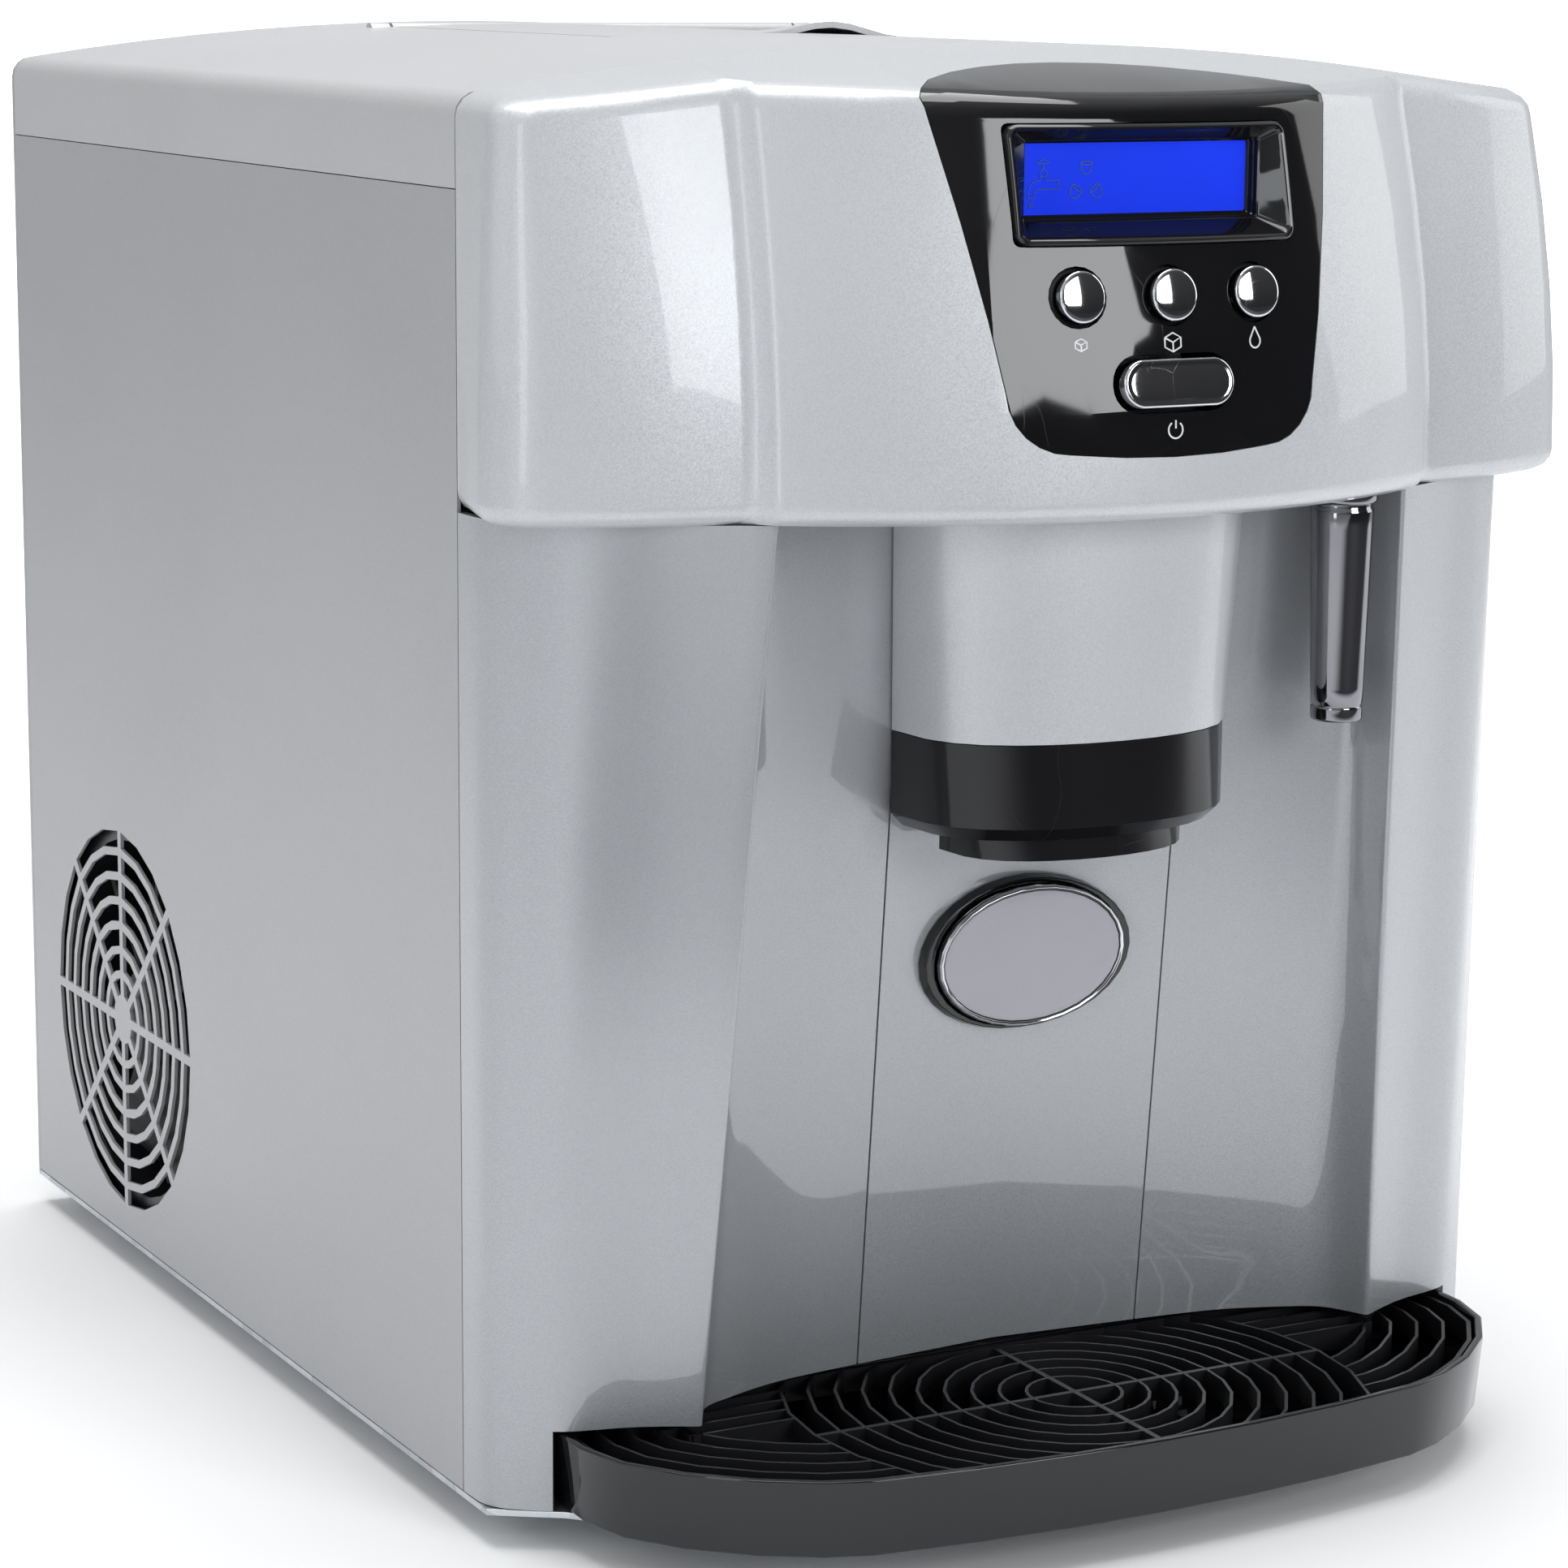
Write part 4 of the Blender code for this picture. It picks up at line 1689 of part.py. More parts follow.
def build_freezing():
    """Brackets, tilting freezing tray, its motor, evaporator, ramp and pusher."""
    deck = DECK_TOP + GAP
    plate = THIN_WALL
    axis = (0.0, back(TROUGH_Y), TROUGH_Z)
    hole = TROUGH_AXLE + GAP
    y0 = back(TROUGH_Y) - BRACKET_DEPTH / 2
    y1 = back(TROUGH_Y) + BRACKET_DEPTH / 2
    spots = {
        "tray_bracket_left": LID_X - BRACKET_HALF - plate,
        "tray_bracket_right": LID_X + BRACKET_HALF,
    }
    for name, x in spots.items():
        mesh = bmesh.new()
        slope = BRACKET_SLOPE
        points = [(y0, deck), (y1, deck), (y1, TROUGH_Z), (y1 - slope, BRACKET_TOP)]
        points = points + [(y0 + slope, BRACKET_TOP), (y0, TROUGH_Z)]
        outline_prism(mesh, points, "X", x, x + plate)
        bracket = finish(name, mesh, white_plastic())
        bore = bmesh.new()
        turned(bore, [(hole, x - plate), (hole, x + plate * 2)], axis, "X", 20)
        combine(bracket, guide(name + "_bore", bore), "DIFFERENCE")

    r = TROUGH_RADIUS
    wall = THIN_WALL
    steps = 14
    outer = [(back(TROUGH_Y) + r * math.cos(a), TROUGH_Z + r * math.sin(a))
             for a in [math.pi + math.pi * i / steps for i in range(steps + 1)]]
    mesh = bmesh.new()
    outline_prism(mesh, outer, "X", LID_X - TROUGH_HALF, LID_X + TROUGH_HALF)
    trough = finish("freezing_tray", mesh, white_plastic(), (LID_X, back(TROUGH_Y), TROUGH_Z))
    inner = [(back(TROUGH_Y) + (r - wall) * math.cos(a), TROUGH_Z + (r - wall) * math.sin(a))
             for a in [math.pi + math.pi * i / steps for i in range(steps + 1)]]
    inner = inner + [(back(TROUGH_Y) + r - wall, TROUGH_Z + r), (back(TROUGH_Y) - r + wall, TROUGH_Z + r)]
    hollow = bmesh.new()
    outline_prism(hollow, inner, "X", LID_X - TROUGH_HALF + wall, LID_X + TROUGH_HALF - wall)
    combine(trough, guide("trough_hollow", hollow), "DIFFERENCE")
    reach = BRACKET_HALF + plate
    for side, tag in ((-1, "left"), (1, "right")):
        stub = bmesh.new()
        near = LID_X + side * (TROUGH_HALF - wall * 0.5)
        far = LID_X + side * (reach + (GAP if side < 0 else plate))
        turned(stub, [(TROUGH_AXLE, min(near, far)), (TROUGH_AXLE, max(near, far))], axis, "X", 20)
        ear = bmesh.new()
        ear_r = TROUGH_EAR
        low = min(LID_X + side * TROUGH_HALF, LID_X + side * (TROUGH_HALF - wall))
        turned(ear, [(ear_r, low), (ear_r, low + wall)], axis, "X", 20)
        combine(trough, guide("trough_ear_" + tag, ear), "UNION")
        combine(trough, guide("trough_stub_" + tag, stub), "UNION")

    mesh = bmesh.new()
    start = LID_X + reach + plate + GAP * 2
    turned(mesh, [(TRAY_MOTOR_RADIUS, start), (TRAY_MOTOR_RADIUS, start + TRAY_MOTOR_LENGTH)], axis, "X", 20)
    motor = finish("tray_motor", mesh, black_matt())
    tabs = bmesh.new()
    tab = TRAY_MOTOR_RADIUS / 2
    box(tabs, (start, axis[1] - tab, deck), (start + TRAY_MOTOR_FOOT, axis[1] + tab, TROUGH_Z))
    combine(motor, guide("tray_motor_foot", tabs), "UNION")

    mesh = bmesh.new()
    bar_low = BRACKET_TOP - EVAPORATOR_HEIGHT
    half = BRACKET_HALF - GAP
    box(mesh, (LID_X - half, back(TROUGH_Y) - EVAPORATOR_HALF_Y, bar_low),
        (LID_X + half, back(TROUGH_Y) + EVAPORATOR_HALF_Y, BRACKET_TOP))
    evaporator = finish("evaporator", mesh, copper())
    fingers = bmesh.new()
    tip = TROUGH_Z - TROUGH_RADIUS + wall + FINGER_TIP
    for i in range(FINGER_COUNT):
        x = LID_X + (i - (FINGER_COUNT - 1) / 2) * FINGER_PITCH
        profile = [(FINGER_RADIUS * 0.5, tip), (FINGER_RADIUS, tip + FINGER_RADIUS * 0.6),
                   (FINGER_RADIUS, bar_low + EVAPORATOR_HEIGHT * 0.3)]
        turned(fingers, profile, (x, back(TROUGH_Y), 0.0), segments=10)
    combine(evaporator, guide("fingers", fingers), "UNION")

    front = BIN_BACK + GAP
    slope = (RAMP_BACK_Z - RAMP_FRONT_Z) / (RAMP_BACK - front)
    half = BRACKET_HALF - GAP
    points = [
        (back(front), RAMP_FRONT_Z),
        (back(front), RAMP_FRONT_Z - wall),
        (back(RAMP_BACK), RAMP_BACK_Z - wall),
        (back(RAMP_BACK), RAMP_BACK_Z),
    ]
    mesh = bmesh.new()
    outline_prism(mesh, points, "X", LID_X - half, LID_X + half)
    ramp = finish("ice_ramp", mesh, white_plastic())
    feet = bmesh.new()
    leg = wall
    for x in (LID_X - half, LID_X + half - leg):
        for y in (back(front), back(RAMP_BACK) - leg * 2):
            top = RAMP_FRONT_Z + slope * (y + leg - back(front)) - wall / 2
            box(feet, (x, y, deck), (x + leg, y + leg * 2, top))
    combine(ramp, guide("ramp_feet", feet), "UNION")
    slots = bmesh.new()
    pitch = (2 * half - RAMP_SLOT * 3) / RAMP_SLOTS
    for i in range(RAMP_SLOTS):
        x = LID_X + (i - (RAMP_SLOTS - 1) / 2) * pitch
        box(slots, (x - RAMP_SLOT / 2, back(TANK_FRONT) + RAMP_SLOT, DECK_TOP),
            (x + RAMP_SLOT / 2, back(RAMP_BACK) - RAMP_SLOT * 2, RAMP_BACK_Z + wall))
    combine(ramp, guide("ramp_slots", slots), "DIFFERENCE")

    mesh = bmesh.new()
    rear = RAMP_BACK - GAP
    ahead = rear - PUSHER_DEPTH
    low_rear = RAMP_FRONT_Z + slope * (rear - front) + GAP
    low_front = RAMP_FRONT_Z + slope * (ahead - front) + GAP
    points = [
        (back(ahead), low_front),
        (back(rear), low_rear),
        (back(rear), low_rear + PUSHER_HEIGHT),
        (back(ahead), low_front + PUSHER_HEIGHT),
    ]
    half = BRACKET_HALF - RUN_GAP * 2
    outline_prism(mesh, points, "X", LID_X - half, LID_X + half)
    finish("ice_pusher", mesh, white_plastic(), (LID_X, back(rear), low_rear))
    return slope


def auger_z():
    """Give the height of the auger's axis, its channel standing on the deck."""
    return DECK_TOP + WALL + GAP * 2 + AUGER_RADIUS + AUGER_CLEARANCE + THIN_WALL


def bin_line(shrink):
    """Give the ice bin's section: two walls, two slopes and a round channel."""
    z = auger_z()
    r = AUGER_RADIUS + AUGER_CLEARANCE + THIN_WALL - shrink
    points = [(-BIN_LEFT + shrink, BIN_TOP + (shrink if shrink else 0.0))]
    points.append((-BIN_LEFT + shrink, z + AUGER_RADIUS * 0.9))
    steps = 10
    for i in range(steps + 1):
        a = math.radians(200) + math.radians(140) * i / steps
        points.append((r * math.cos(a), z + r * math.sin(a)))
    points.append((BIN_RIGHT - shrink, z + AUGER_RADIUS * 0.9))
    points.append((BIN_RIGHT - shrink, BIN_TOP + (shrink if shrink else 0.0)))
    return points


def build_bin():
    """Ice bin with its spout, the auger and the auger's motor."""
    z = auger_z()
    wall = THIN_WALL
    mesh = bmesh.new()
    outline_prism(mesh, bin_line(0.0), "Y", back(BIN_FRONT), back(BIN_BACK))
    tub = finish("ice_bin", mesh, white_plastic())
    r_in = AUGER_RADIUS + AUGER_CLEARANCE
    spout = bmesh.new()
    r_out = r_in + wall
    turned(spout, [(r_out, -SPOUT_REACH), (r_out, BIN_FRONT + wall * 0.5)], (0.0, SEAM_Y, z), "Y", 24)
    combine(tub, guide("spout", spout), "UNION")
    hollow = bmesh.new()
    outline_prism(hollow, bin_line(wall), "Y", back(BIN_FRONT) + wall, back(BIN_BACK) - wall)
    combine(tub, guide("bin_hollow", hollow), "DIFFERENCE")
    bore = bmesh.new()
    turned(bore, [(r_in, -SPOUT_REACH + wall), (r_in, BIN_FRONT + wall * 2)], (0.0, SEAM_Y, z), "Y", 24)
    combine(tub, guide("spout_bore", bore), "DIFFERENCE")
    cuts = bmesh.new()
    inner = SPOUT_REACH - wall
    half = AUGER_RADIUS * 0.93
    box(cuts, (-half, back(-inner), z - r_out - wall), (half, back(-SPOUT_HOLE_BACK), z - r_in * 0.3))
    low = RAMP_FRONT_Z - GAP * 2
    near = back(BIN_BACK) - wall * 2
    far = back(BIN_BACK) + wall
    high = BIN_TOP + wall
    box(cuts, (-BIN_LEFT + wall, near, low), (-BIN_POST_HALF, far, high))
    box(cuts, (BIN_POST_HALF, near, low), (BIN_RIGHT - wall, far, high))
    combine(tub, guide("bin_cuts", cuts), "DIFFERENCE")
    post = bmesh.new()
    box(post, (-BIN_POST_HALF * 2, near, z + AUGER_SHAFT * 3), (BIN_POST_HALF * 2, far, high))
    combine(tub, guide("bin_post_top", post), "DIFFERENCE")
    bearing = bmesh.new()
    hole = AUGER_SHAFT + GAP
    turned(bearing, [(hole, -SPOUT_REACH - wall), (hole, BIN_BACK + wall)], (0.0, SEAM_Y, z), "Y", 16)
    combine(tub, guide("auger_bearings", bearing), "DIFFERENCE")

    mesh = bmesh.new()
    start = -SPOUT_REACH + wall * 3
    stop = BIN_BACK - wall * 3
    turns = (stop - start) / AUGER_PITCH
    count = round(turns * AUGER_STEPS)
    width = math.pi * AUGER_FLIGHT / AUGER_PITCH

    def section(y, angle, tip, spread):
        """Give one cut across the screw: the shaft with its flight."""
        spots = [(AUGER_SHAFT, -width), (tip, -spread), (tip, spread), (AUGER_SHAFT, width)]
        spots = spots + [(AUGER_SHAFT, math.radians(turn)) for turn in (80, 130, 180, 230, 280)]
        return [(r * math.cos(angle + a), back(y), z + r * math.sin(angle + a)) for r, a in spots]

    rings = [section(-SPOUT_REACH - AUGER_COUPLING, 0.0, AUGER_SHAFT, width / 2)]
    rings.append(section(start - AUGER_FLIGHT, 0.0, AUGER_SHAFT, width / 2))
    for i in range(count + 1):
        y = start + (stop - start) * i / count
        rings.append(section(y, 2 * math.pi * turns * i / count, AUGER_RADIUS, width))
    rings.append(section(stop + AUGER_FLIGHT, 2 * math.pi * turns, AUGER_SHAFT, width / 2))
    rings.append(section(BIN_BACK, 2 * math.pi * turns, AUGER_SHAFT, width / 2))
    loft(mesh, rings)
    finish("auger", mesh, white_plastic(), (0.0, SEAM_Y, z))

    mesh = bmesh.new()
    near = -SPOUT_REACH - GAP
    box(mesh, (-AUGER_MOTOR_HALF_X, back(near - AUGER_MOTOR_LENGTH), z - AUGER_MOTOR_HALF_Z),
        (AUGER_MOTOR_HALF_X, back(near), z + AUGER_MOTOR_HALF_Z))
    motor = finish("auger_motor", mesh, black_matt())
    socket = bmesh.new()
    turned(socket, [(hole, near - AUGER_COUPLING - wall), (hole, near + wall)], (0.0, SEAM_Y, z), "Y", 16)
    combine(motor, guide("motor_socket", socket), "DIFFERENCE")


def build_water():
    """Water pump and its two hoses."""
    deck = DECK_TOP + GAP
    half = PUMP_HALF
    mesh = bmesh.new()
    box(mesh, (PUMP_X - half, back(PUMP_Y) - half, deck),
        (PUMP_X + half, back(PUMP_Y) + half, deck + PUMP_HEIGHT))
    pump = finish("water_pump", mesh, black_matt())
    head = bmesh.new()
    cap = PUMP_HEIGHT / 4
    profile = [
        (PUMP_HEAD, PUMP_HEIGHT / 2),
        (PUMP_HEAD, PUMP_HEIGHT + cap),
        (PUMP_HEAD - WALL, PUMP_HEIGHT + cap + WALL),
    ]
    turned(head, profile, (PUMP_X, back(PUMP_Y), deck), segments=20)
    combine(pump, guide("pump_head", head), "UNION")

    mesh = bmesh.new()
    high = deck + PUMP_HEIGHT * 0.5
    behind = TANK_BACK - THIN_WALL - HOSE_RADIUS - GAP * 4
    end_x = LID_X - TANK_HALF + THIN_WALL + HOSE_RADIUS * 3
    path = [
        (PUMP_X, back(PUMP_Y) + half + GAP, high),
        (PUMP_X, back(behind), high),
        (end_x, back(behind), high),
        (end_x, back(behind), TANK_BOTTOM + HOSE_BEND),
    ]
    tube(mesh, bent(path, HOSE_BEND), HOSE_RADIUS)
    finish("suction_hose", mesh, white_plastic())

    mesh = bmesh.new()
    path = [
        (PUMP_X, back(PUMP_Y) - half - GAP, high),
        (PUMP_X, back(HOSE_FRONT_Y), high),
        (PUMP_X, back(HOSE_FRONT_Y), HOSE_HIGH_Z),
        (NOZZLE_X, back(HOSE_FRONT_Y), HOSE_HIGH_Z),
        (NOZZLE_X, back(NOZZLE_Y), HOSE_HIGH_Z),
        (NOZZLE_X, back(NOZZLE_Y), HOUSING_BOTTOM + WALL),
    ]
    tube(mesh, bent(path, HOSE_BEND), HOSE_RADIUS)
    finish("water_hose", mesh, white_plastic())


def build_cooling():
    """Compressor on three mounts, its pipe, condenser and fan."""
    base = PANEL_BOTTOM
    cx = COMPRESSOR_X
    cy = back(COMPRESSOR_Y)
    plate_z = base + MOUNT_HEIGHT + GAP
    r = COMPRESSOR_RADIUS
    h = COMPRESSOR_TOP - plate_z
    mesh = bmesh.new()
    profile = [
        (r * 0.55, plate_z),
        (r * 0.9, plate_z + h * 0.06),
        (r, plate_z + h * 0.18),
        (r, plate_z + h * 0.45),
        (r + COMPRESSOR_SEAM, plate_z + h * 0.46),
        (r + COMPRESSOR_SEAM, plate_z + h * 0.49),
        (r, plate_z + h * 0.50),
        (r, plate_z + h * 0.80),
        (r * 0.88, plate_z + h * 0.94),
        (r * 0.5, plate_z + h),
    ]
    turned(mesh, profile, (cx, cy, 0.0), segments=28)
    pot = finish("compressor", mesh, black_matt())
    feet = bmesh.new()
    arm = MOUNT_RADIUS
    reach = COMPRESSOR_FOOT_REACH
    mounts = {}
    for i in range(3):
        a = math.pi / 2 + 2 * math.pi * i / 3
        mounts["compressor_mount_%d" % (i + 1)] = (cx + reach * math.cos(a), cy + reach * math.sin(a))
    outline = []
    for i in range(3):
        a = math.pi / 2 + 2 * math.pi * i / 3
        tip = Vector((cx, cy)) + Vector((math.cos(a), math.sin(a))) * (reach + arm)
        side = Vector((-math.sin(a), math.cos(a))) * arm
        outline.append(tuple(tip - side))
        outline.append(tuple(tip + side))
    outline_prism(feet, outline, "Z", plate_z, plate_z + COMPRESSOR_PLATE)
    combine(pot, guide("compressor_feet", feet), "UNION")
    for name, (x, y) in mounts.items():
        mesh = bmesh.new()
        m = MOUNT_RADIUS
        turned(mesh, [(m, base), (m * 0.8, base + MOUNT_HEIGHT / 2), (m, base + MOUNT_HEIGHT)], (x, y, 0.0),
               segments=12)
        finish(name, mesh, rubber())

    mesh = bmesh.new()
    top = plate_z + h
    half = CONDENSER_HALF_Y
    fin = 2 * half / (CONDENSER_FINS * 2 - 1)
    web = CONDENSER_WEB / 2
    x0 = CONDENSER_X - CONDENSER_HALF_X
    x1 = CONDENSER_X + CONDENSER_HALF_X
    start = back(FAN_Y) - half
    left_side = []
    right_side = []
    for i in range(CONDENSER_FINS):
        y0 = start + 2 * fin * i
        y1 = y0 + fin
        left_side = left_side + [(x0, y0), (x0, y1)]
        right_side = right_side + [(x1, y0), (x1, y1)]
        if i < CONDENSER_FINS - 1:
            left_side = left_side + [(CONDENSER_X - web, y1), (CONDENSER_X - web, y1 + fin)]
            right_side = right_side + [(CONDENSER_X + web, y1), (CONDENSER_X + web, y1 + fin)]
    outline_prism(mesh, left_side + list(reversed(right_side)), "Z", base, CONDENSER_TOP)
    finish("condenser", mesh, zinc())

    mesh = bmesh.new()
    bar_low = BRACKET_TOP - EVAPORATOR_HEIGHT
    high = bar_low + EVAPORATOR_HEIGHT / 2
    pipe = PIPE_RADIUS
    rear = TROUGH_Y + EVAPORATOR_HALF_Y
    pipe_x, pipe_y = pipe_drop()
    path = [
        (pipe_x, back(rear) + GAP, high),
        (pipe_x, pipe_y, high),
        (pipe_x, pipe_y, top + pipe * 4),
        (cx, pipe_y, top + pipe * 4),
        (cx, cy, top + pipe * 4),
        (cx, cy, top + GAP),
    ]
    tube(mesh, bent(path, HOSE_BEND), pipe, 8)
    finish("suction_pipe", mesh, copper())

    mesh = bmesh.new()
    liquid_z = CONDENSER_TOP - pipe * 5
    path = [
        (x1 + GAP, back(FAN_Y), liquid_z),
        (x1 + HOSE_BEND * 2, back(FAN_Y), liquid_z),
        (x1 + HOSE_BEND * 2, cy, plate_z + h * 0.65),
        (cx - r - GAP * 2, cy, plate_z + h * 0.65),
    ]
    tube(mesh, bent(path, HOSE_BEND), pipe, 8)
    finish("discharge_pipe", mesh, copper())


def build_fan():
    """Fan frame, rotor and motor behind the side grille."""
    base = PANEL_BOTTOM
    fy = back(FAN_Y)
    half = FAN_FRAME_HALF
    x0 = FAN_FRAME_X
    mesh = bmesh.new()
    thick = FAN_FRAME_THICKNESS
    box(mesh, (x0, fy - half, base), (x0 + thick, fy + half, FAN_Z + half))
    frame = finish("fan_frame", mesh, black_matt())
    ring = bmesh.new()
    wall = THIN_WALL
    deep = FAN_DUCT_DEPTH
    turned(ring, [(FAN_DUCT + wall, thick * 0.5), (FAN_DUCT + wall, deep)], (x0, fy, FAN_Z), "X", 32)
    combine(frame, guide("fan_duct", ring), "UNION")
    hole = bmesh.new()
    turned(hole, [(FAN_DUCT, -thick), (FAN_DUCT, deep + thick)], (x0, fy, FAN_Z), "X", 32)
    combine(frame, guide("fan_hole", hole), "DIFFERENCE")
    strut = bmesh.new()
    s = FAN_STRUT / 2
    reach = FAN_DUCT + wall * 0.5
    near = x0 + deep - thick
    far = x0 + deep
    box(strut, (near, fy - reach, FAN_Z - s), (far, fy + reach, FAN_Z + s))
    combine(frame, guide("fan_strut_y", strut), "UNION")
    strut = bmesh.new()
    box(strut, (near, fy - s, FAN_Z - reach), (far, fy + s, FAN_Z + reach))
    combine(frame, guide("fan_strut_z", strut), "UNION")
    disc = bmesh.new()
    turned(disc, [(FAN_MOTOR_RADIUS, deep - thick), (FAN_MOTOR_RADIUS, deep)], (x0, fy, FAN_Z), "X", 20)
    combine(frame, guide("fan_disc", disc), "UNION")
    pin = bmesh.new()
    shaft_hole = FAN_SHAFT + GAP
    turned(pin, [(shaft_hole, deep - thick * 2), (shaft_hole, deep + thick)], (x0, fy, FAN_Z), "X", 12)
    combine(frame, guide("fan_shaft_hole", pin), "DIFFERENCE")

    mesh = bmesh.new()
    hub_start = thick
    hub_end = hub_start + FAN_HUB_DEPTH
    hub_profile = [(FAN_HUB * 0.9, hub_start), (FAN_HUB, hub_start + wall), (FAN_HUB, hub_end)]
    turned(mesh, hub_profile, (x0, fy, FAN_Z), "X", 20)
    rotor = finish("fan_rotor", mesh, black_matt(), (x0, fy, FAN_Z))
    blades = bmesh.new()
    for i in range(FAN_BLADES):
        turn = Matrix.Rotation(2 * math.pi * i / FAN_BLADES, 4, "X")
        rings = []
        for share in (0.0, 0.5, 1.0):
            radius = mix(FAN_HUB * 0.8, FAN_TIP, share)
            twist = math.radians(mix(48, 28, share))
            chord = mix(FAN_HUB * 0.75, FAN_HUB * 1.35, share)
            ring_points = []
            for u, v in ((-0.5, -0.04), (0.5, -0.04), (0.5, 0.04), (-0.5, 0.04)):
                along = chord * u
                lift = chord * v
                dx = along * math.sin(twist) + lift * math.cos(twist)
                dt = along * math.cos(twist) - lift * math.sin(twist)
                depth = (hub_start + hub_end) / 2
                local = Vector((depth + dx * 0.7, dt, radius))
                ring_points.append(Vector((x0, fy, FAN_Z)) + turn @ local)
            rings.append(ring_points)
        loft(blades, rings)
    combine(rotor, guide("fan_blades", blades), "UNION")
    bore = bmesh.new()
    turned(bore, [(shaft_hole, hub_start + wall * 2), (shaft_hole, hub_end + wall)],
           (x0, fy, FAN_Z), "X", 12)
    combine(rotor, guide("rotor_bore", bore), "DIFFERENCE")

    mesh = bmesh.new()
    start = deep + GAP
    profile = [(FAN_MOTOR_RADIUS, start), (FAN_MOTOR_RADIUS, start + FAN_MOTOR_DEPTH * 0.9),
               (FAN_MOTOR_RADIUS * 0.8, start + FAN_MOTOR_DEPTH)]
    turned(mesh, profile, (x0, fy, FAN_Z), "X", 20)
    motor = finish("fan_motor", mesh, zinc())
    shaft = bmesh.new()
    turned(shaft, [(FAN_SHAFT, hub_start + wall * 2 + GAP * 2), (FAN_SHAFT, start + wall)],
           (x0, fy, FAN_Z), "X", 12)
    combine(motor, guide("fan_shaft", shaft), "UNION")


def build_circuit():
    """Main circuit board on its edge, with relays and a transformer."""
    deck = DECK_TOP + GAP
    mesh = bmesh.new()
    y0 = back(CIRCUIT_FRONT)
    y1 = y0 + CIRCUIT_DEPTH
    box(mesh, (CIRCUIT_X, y0, deck), (CIRCUIT_X + BOARD_THICKNESS, y1, deck + CIRCUIT_HEIGHT))
    board = finish("circuit_board", mesh, board_green())
    blocks = bmesh.new()
    skin = BOARD_THICKNESS / 2
    half = CIRCUIT_BLOCK / 2
    for row in range(CIRCUIT_BLOCK_ROWS):
        z = deck + CIRCUIT_HEIGHT * (row + 0.5) / CIRCUIT_BLOCK_ROWS
        for column in range(CIRCUIT_BLOCK_COLUMNS):
            y = mix(y0, y1, (column + 0.5) / CIRCUIT_BLOCK_COLUMNS)
            proud = CIRCUIT_BLOCK_DEPTH - WALL * ((row + column) % 2)
            box(blocks, (CIRCUIT_X - proud, y - half, z - half), (CIRCUIT_X + skin, y + half, z + half))
    combine(board, guide("board_blocks", blocks), "UNION")


def build():
    """Make every piece."""
    clear_scene()
    build_base()
    build_sides()
    build_back()
    build_top()
    build_housing()
    build_controls()
    build_lower_front()
    build_chute()
    build_nozzle()
    build_dispense()
    build_tray()
    build_frame()
    build_tank()
    build_freezing()
    build_bin()
    build_water()
    build_cooling()
    build_fan()
    build_circuit()


build()
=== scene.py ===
"""Studio scene of the ice cube maker: camera, light, floor, surface materials and fine pieces."""

import functools
import math

import bmesh
import bpy
from mathutils import Matrix, Vector
from mathutils.bvhtree import BVHTree


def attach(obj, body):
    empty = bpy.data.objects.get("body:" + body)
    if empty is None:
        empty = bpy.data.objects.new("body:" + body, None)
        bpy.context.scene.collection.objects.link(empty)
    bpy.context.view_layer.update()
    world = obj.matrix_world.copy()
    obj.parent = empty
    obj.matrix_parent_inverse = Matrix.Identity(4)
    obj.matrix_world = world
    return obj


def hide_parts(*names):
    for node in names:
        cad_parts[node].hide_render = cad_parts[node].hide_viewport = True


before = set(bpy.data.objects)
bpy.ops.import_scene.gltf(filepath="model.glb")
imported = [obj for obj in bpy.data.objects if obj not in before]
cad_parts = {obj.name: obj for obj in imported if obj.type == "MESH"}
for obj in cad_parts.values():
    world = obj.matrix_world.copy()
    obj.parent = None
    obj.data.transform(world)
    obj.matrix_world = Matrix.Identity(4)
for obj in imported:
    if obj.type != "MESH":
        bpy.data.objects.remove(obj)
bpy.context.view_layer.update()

# The photograph's camera: where it stood, how it was turned and its lens
CAMERA_PLACE = (-0.6581, -1.24455, 0.4506)
CAMERA_AZIMUTH = math.radians(28.09)
CAMERA_PITCH = math.radians(10.77)
CAMERA_ROLL = math.radians(0.45)
CAMERA_LENS_MM = 100.06
SENSOR_MM = 36.0

# The point that the lamps look at
MIDDLE = (0.0, 0.0, 0.2)
# The level direction of the room's dim side, which the gloss black faces mirror
DIM_SIDE = (0.62, -0.78, 0.0)
# Near and far distance between which the floor turns white for the camera
WHITE_FROM = 0.55
WHITE_TO = 2.0

# Depth of the seam plane between the side panels and the front, as the CAD source has it
SEAM_Y = -0.13975
# Sizes that the fine pieces share with the CAD
HOUSING_TOP = 0.426
HOUSING_BOTTOM = 0.298
BUTTON_Z = 0.3597
BUTTON_PITCH = 0.0284
SWITCH_Z = 0.3358
BUTTON_RISE = 0.148954
DISPLAY_FRONT = -0.2144
SIGN_Z = 0.3469
POWER_Z = 0.3230
NOZZLE_X = 0.087
NOZZLE_DEPTH = -0.0565
NOZZLE_LENGTH = 0.0690
FRONT_BOTTOM = 0.0123
FRONT_WALL = 0.0024
SLOT_TOP = 0.0362
LEG_X = 0.1562
DISPENSE_Z = 0.160
PUSH_HALF_WIDTH = 0.036
PUSH_HALF_HEIGHT = 0.025
# Points across the lower front's cove and pillar: the share of the way across and the depth,
# each at the slot's top and at the housing
COVE = ((0.4205, 0.4937, 0.0165, 0.0398), (0.7177, 0.8373, 0.0230, 0.0432), (0.8886, 0.9566, 0.0290, 0.0480))
PILLAR = ((0.3036, 0.3824, 0.0345, 0.0500), (0.6607, 0.7206, 0.0290, 0.0400))
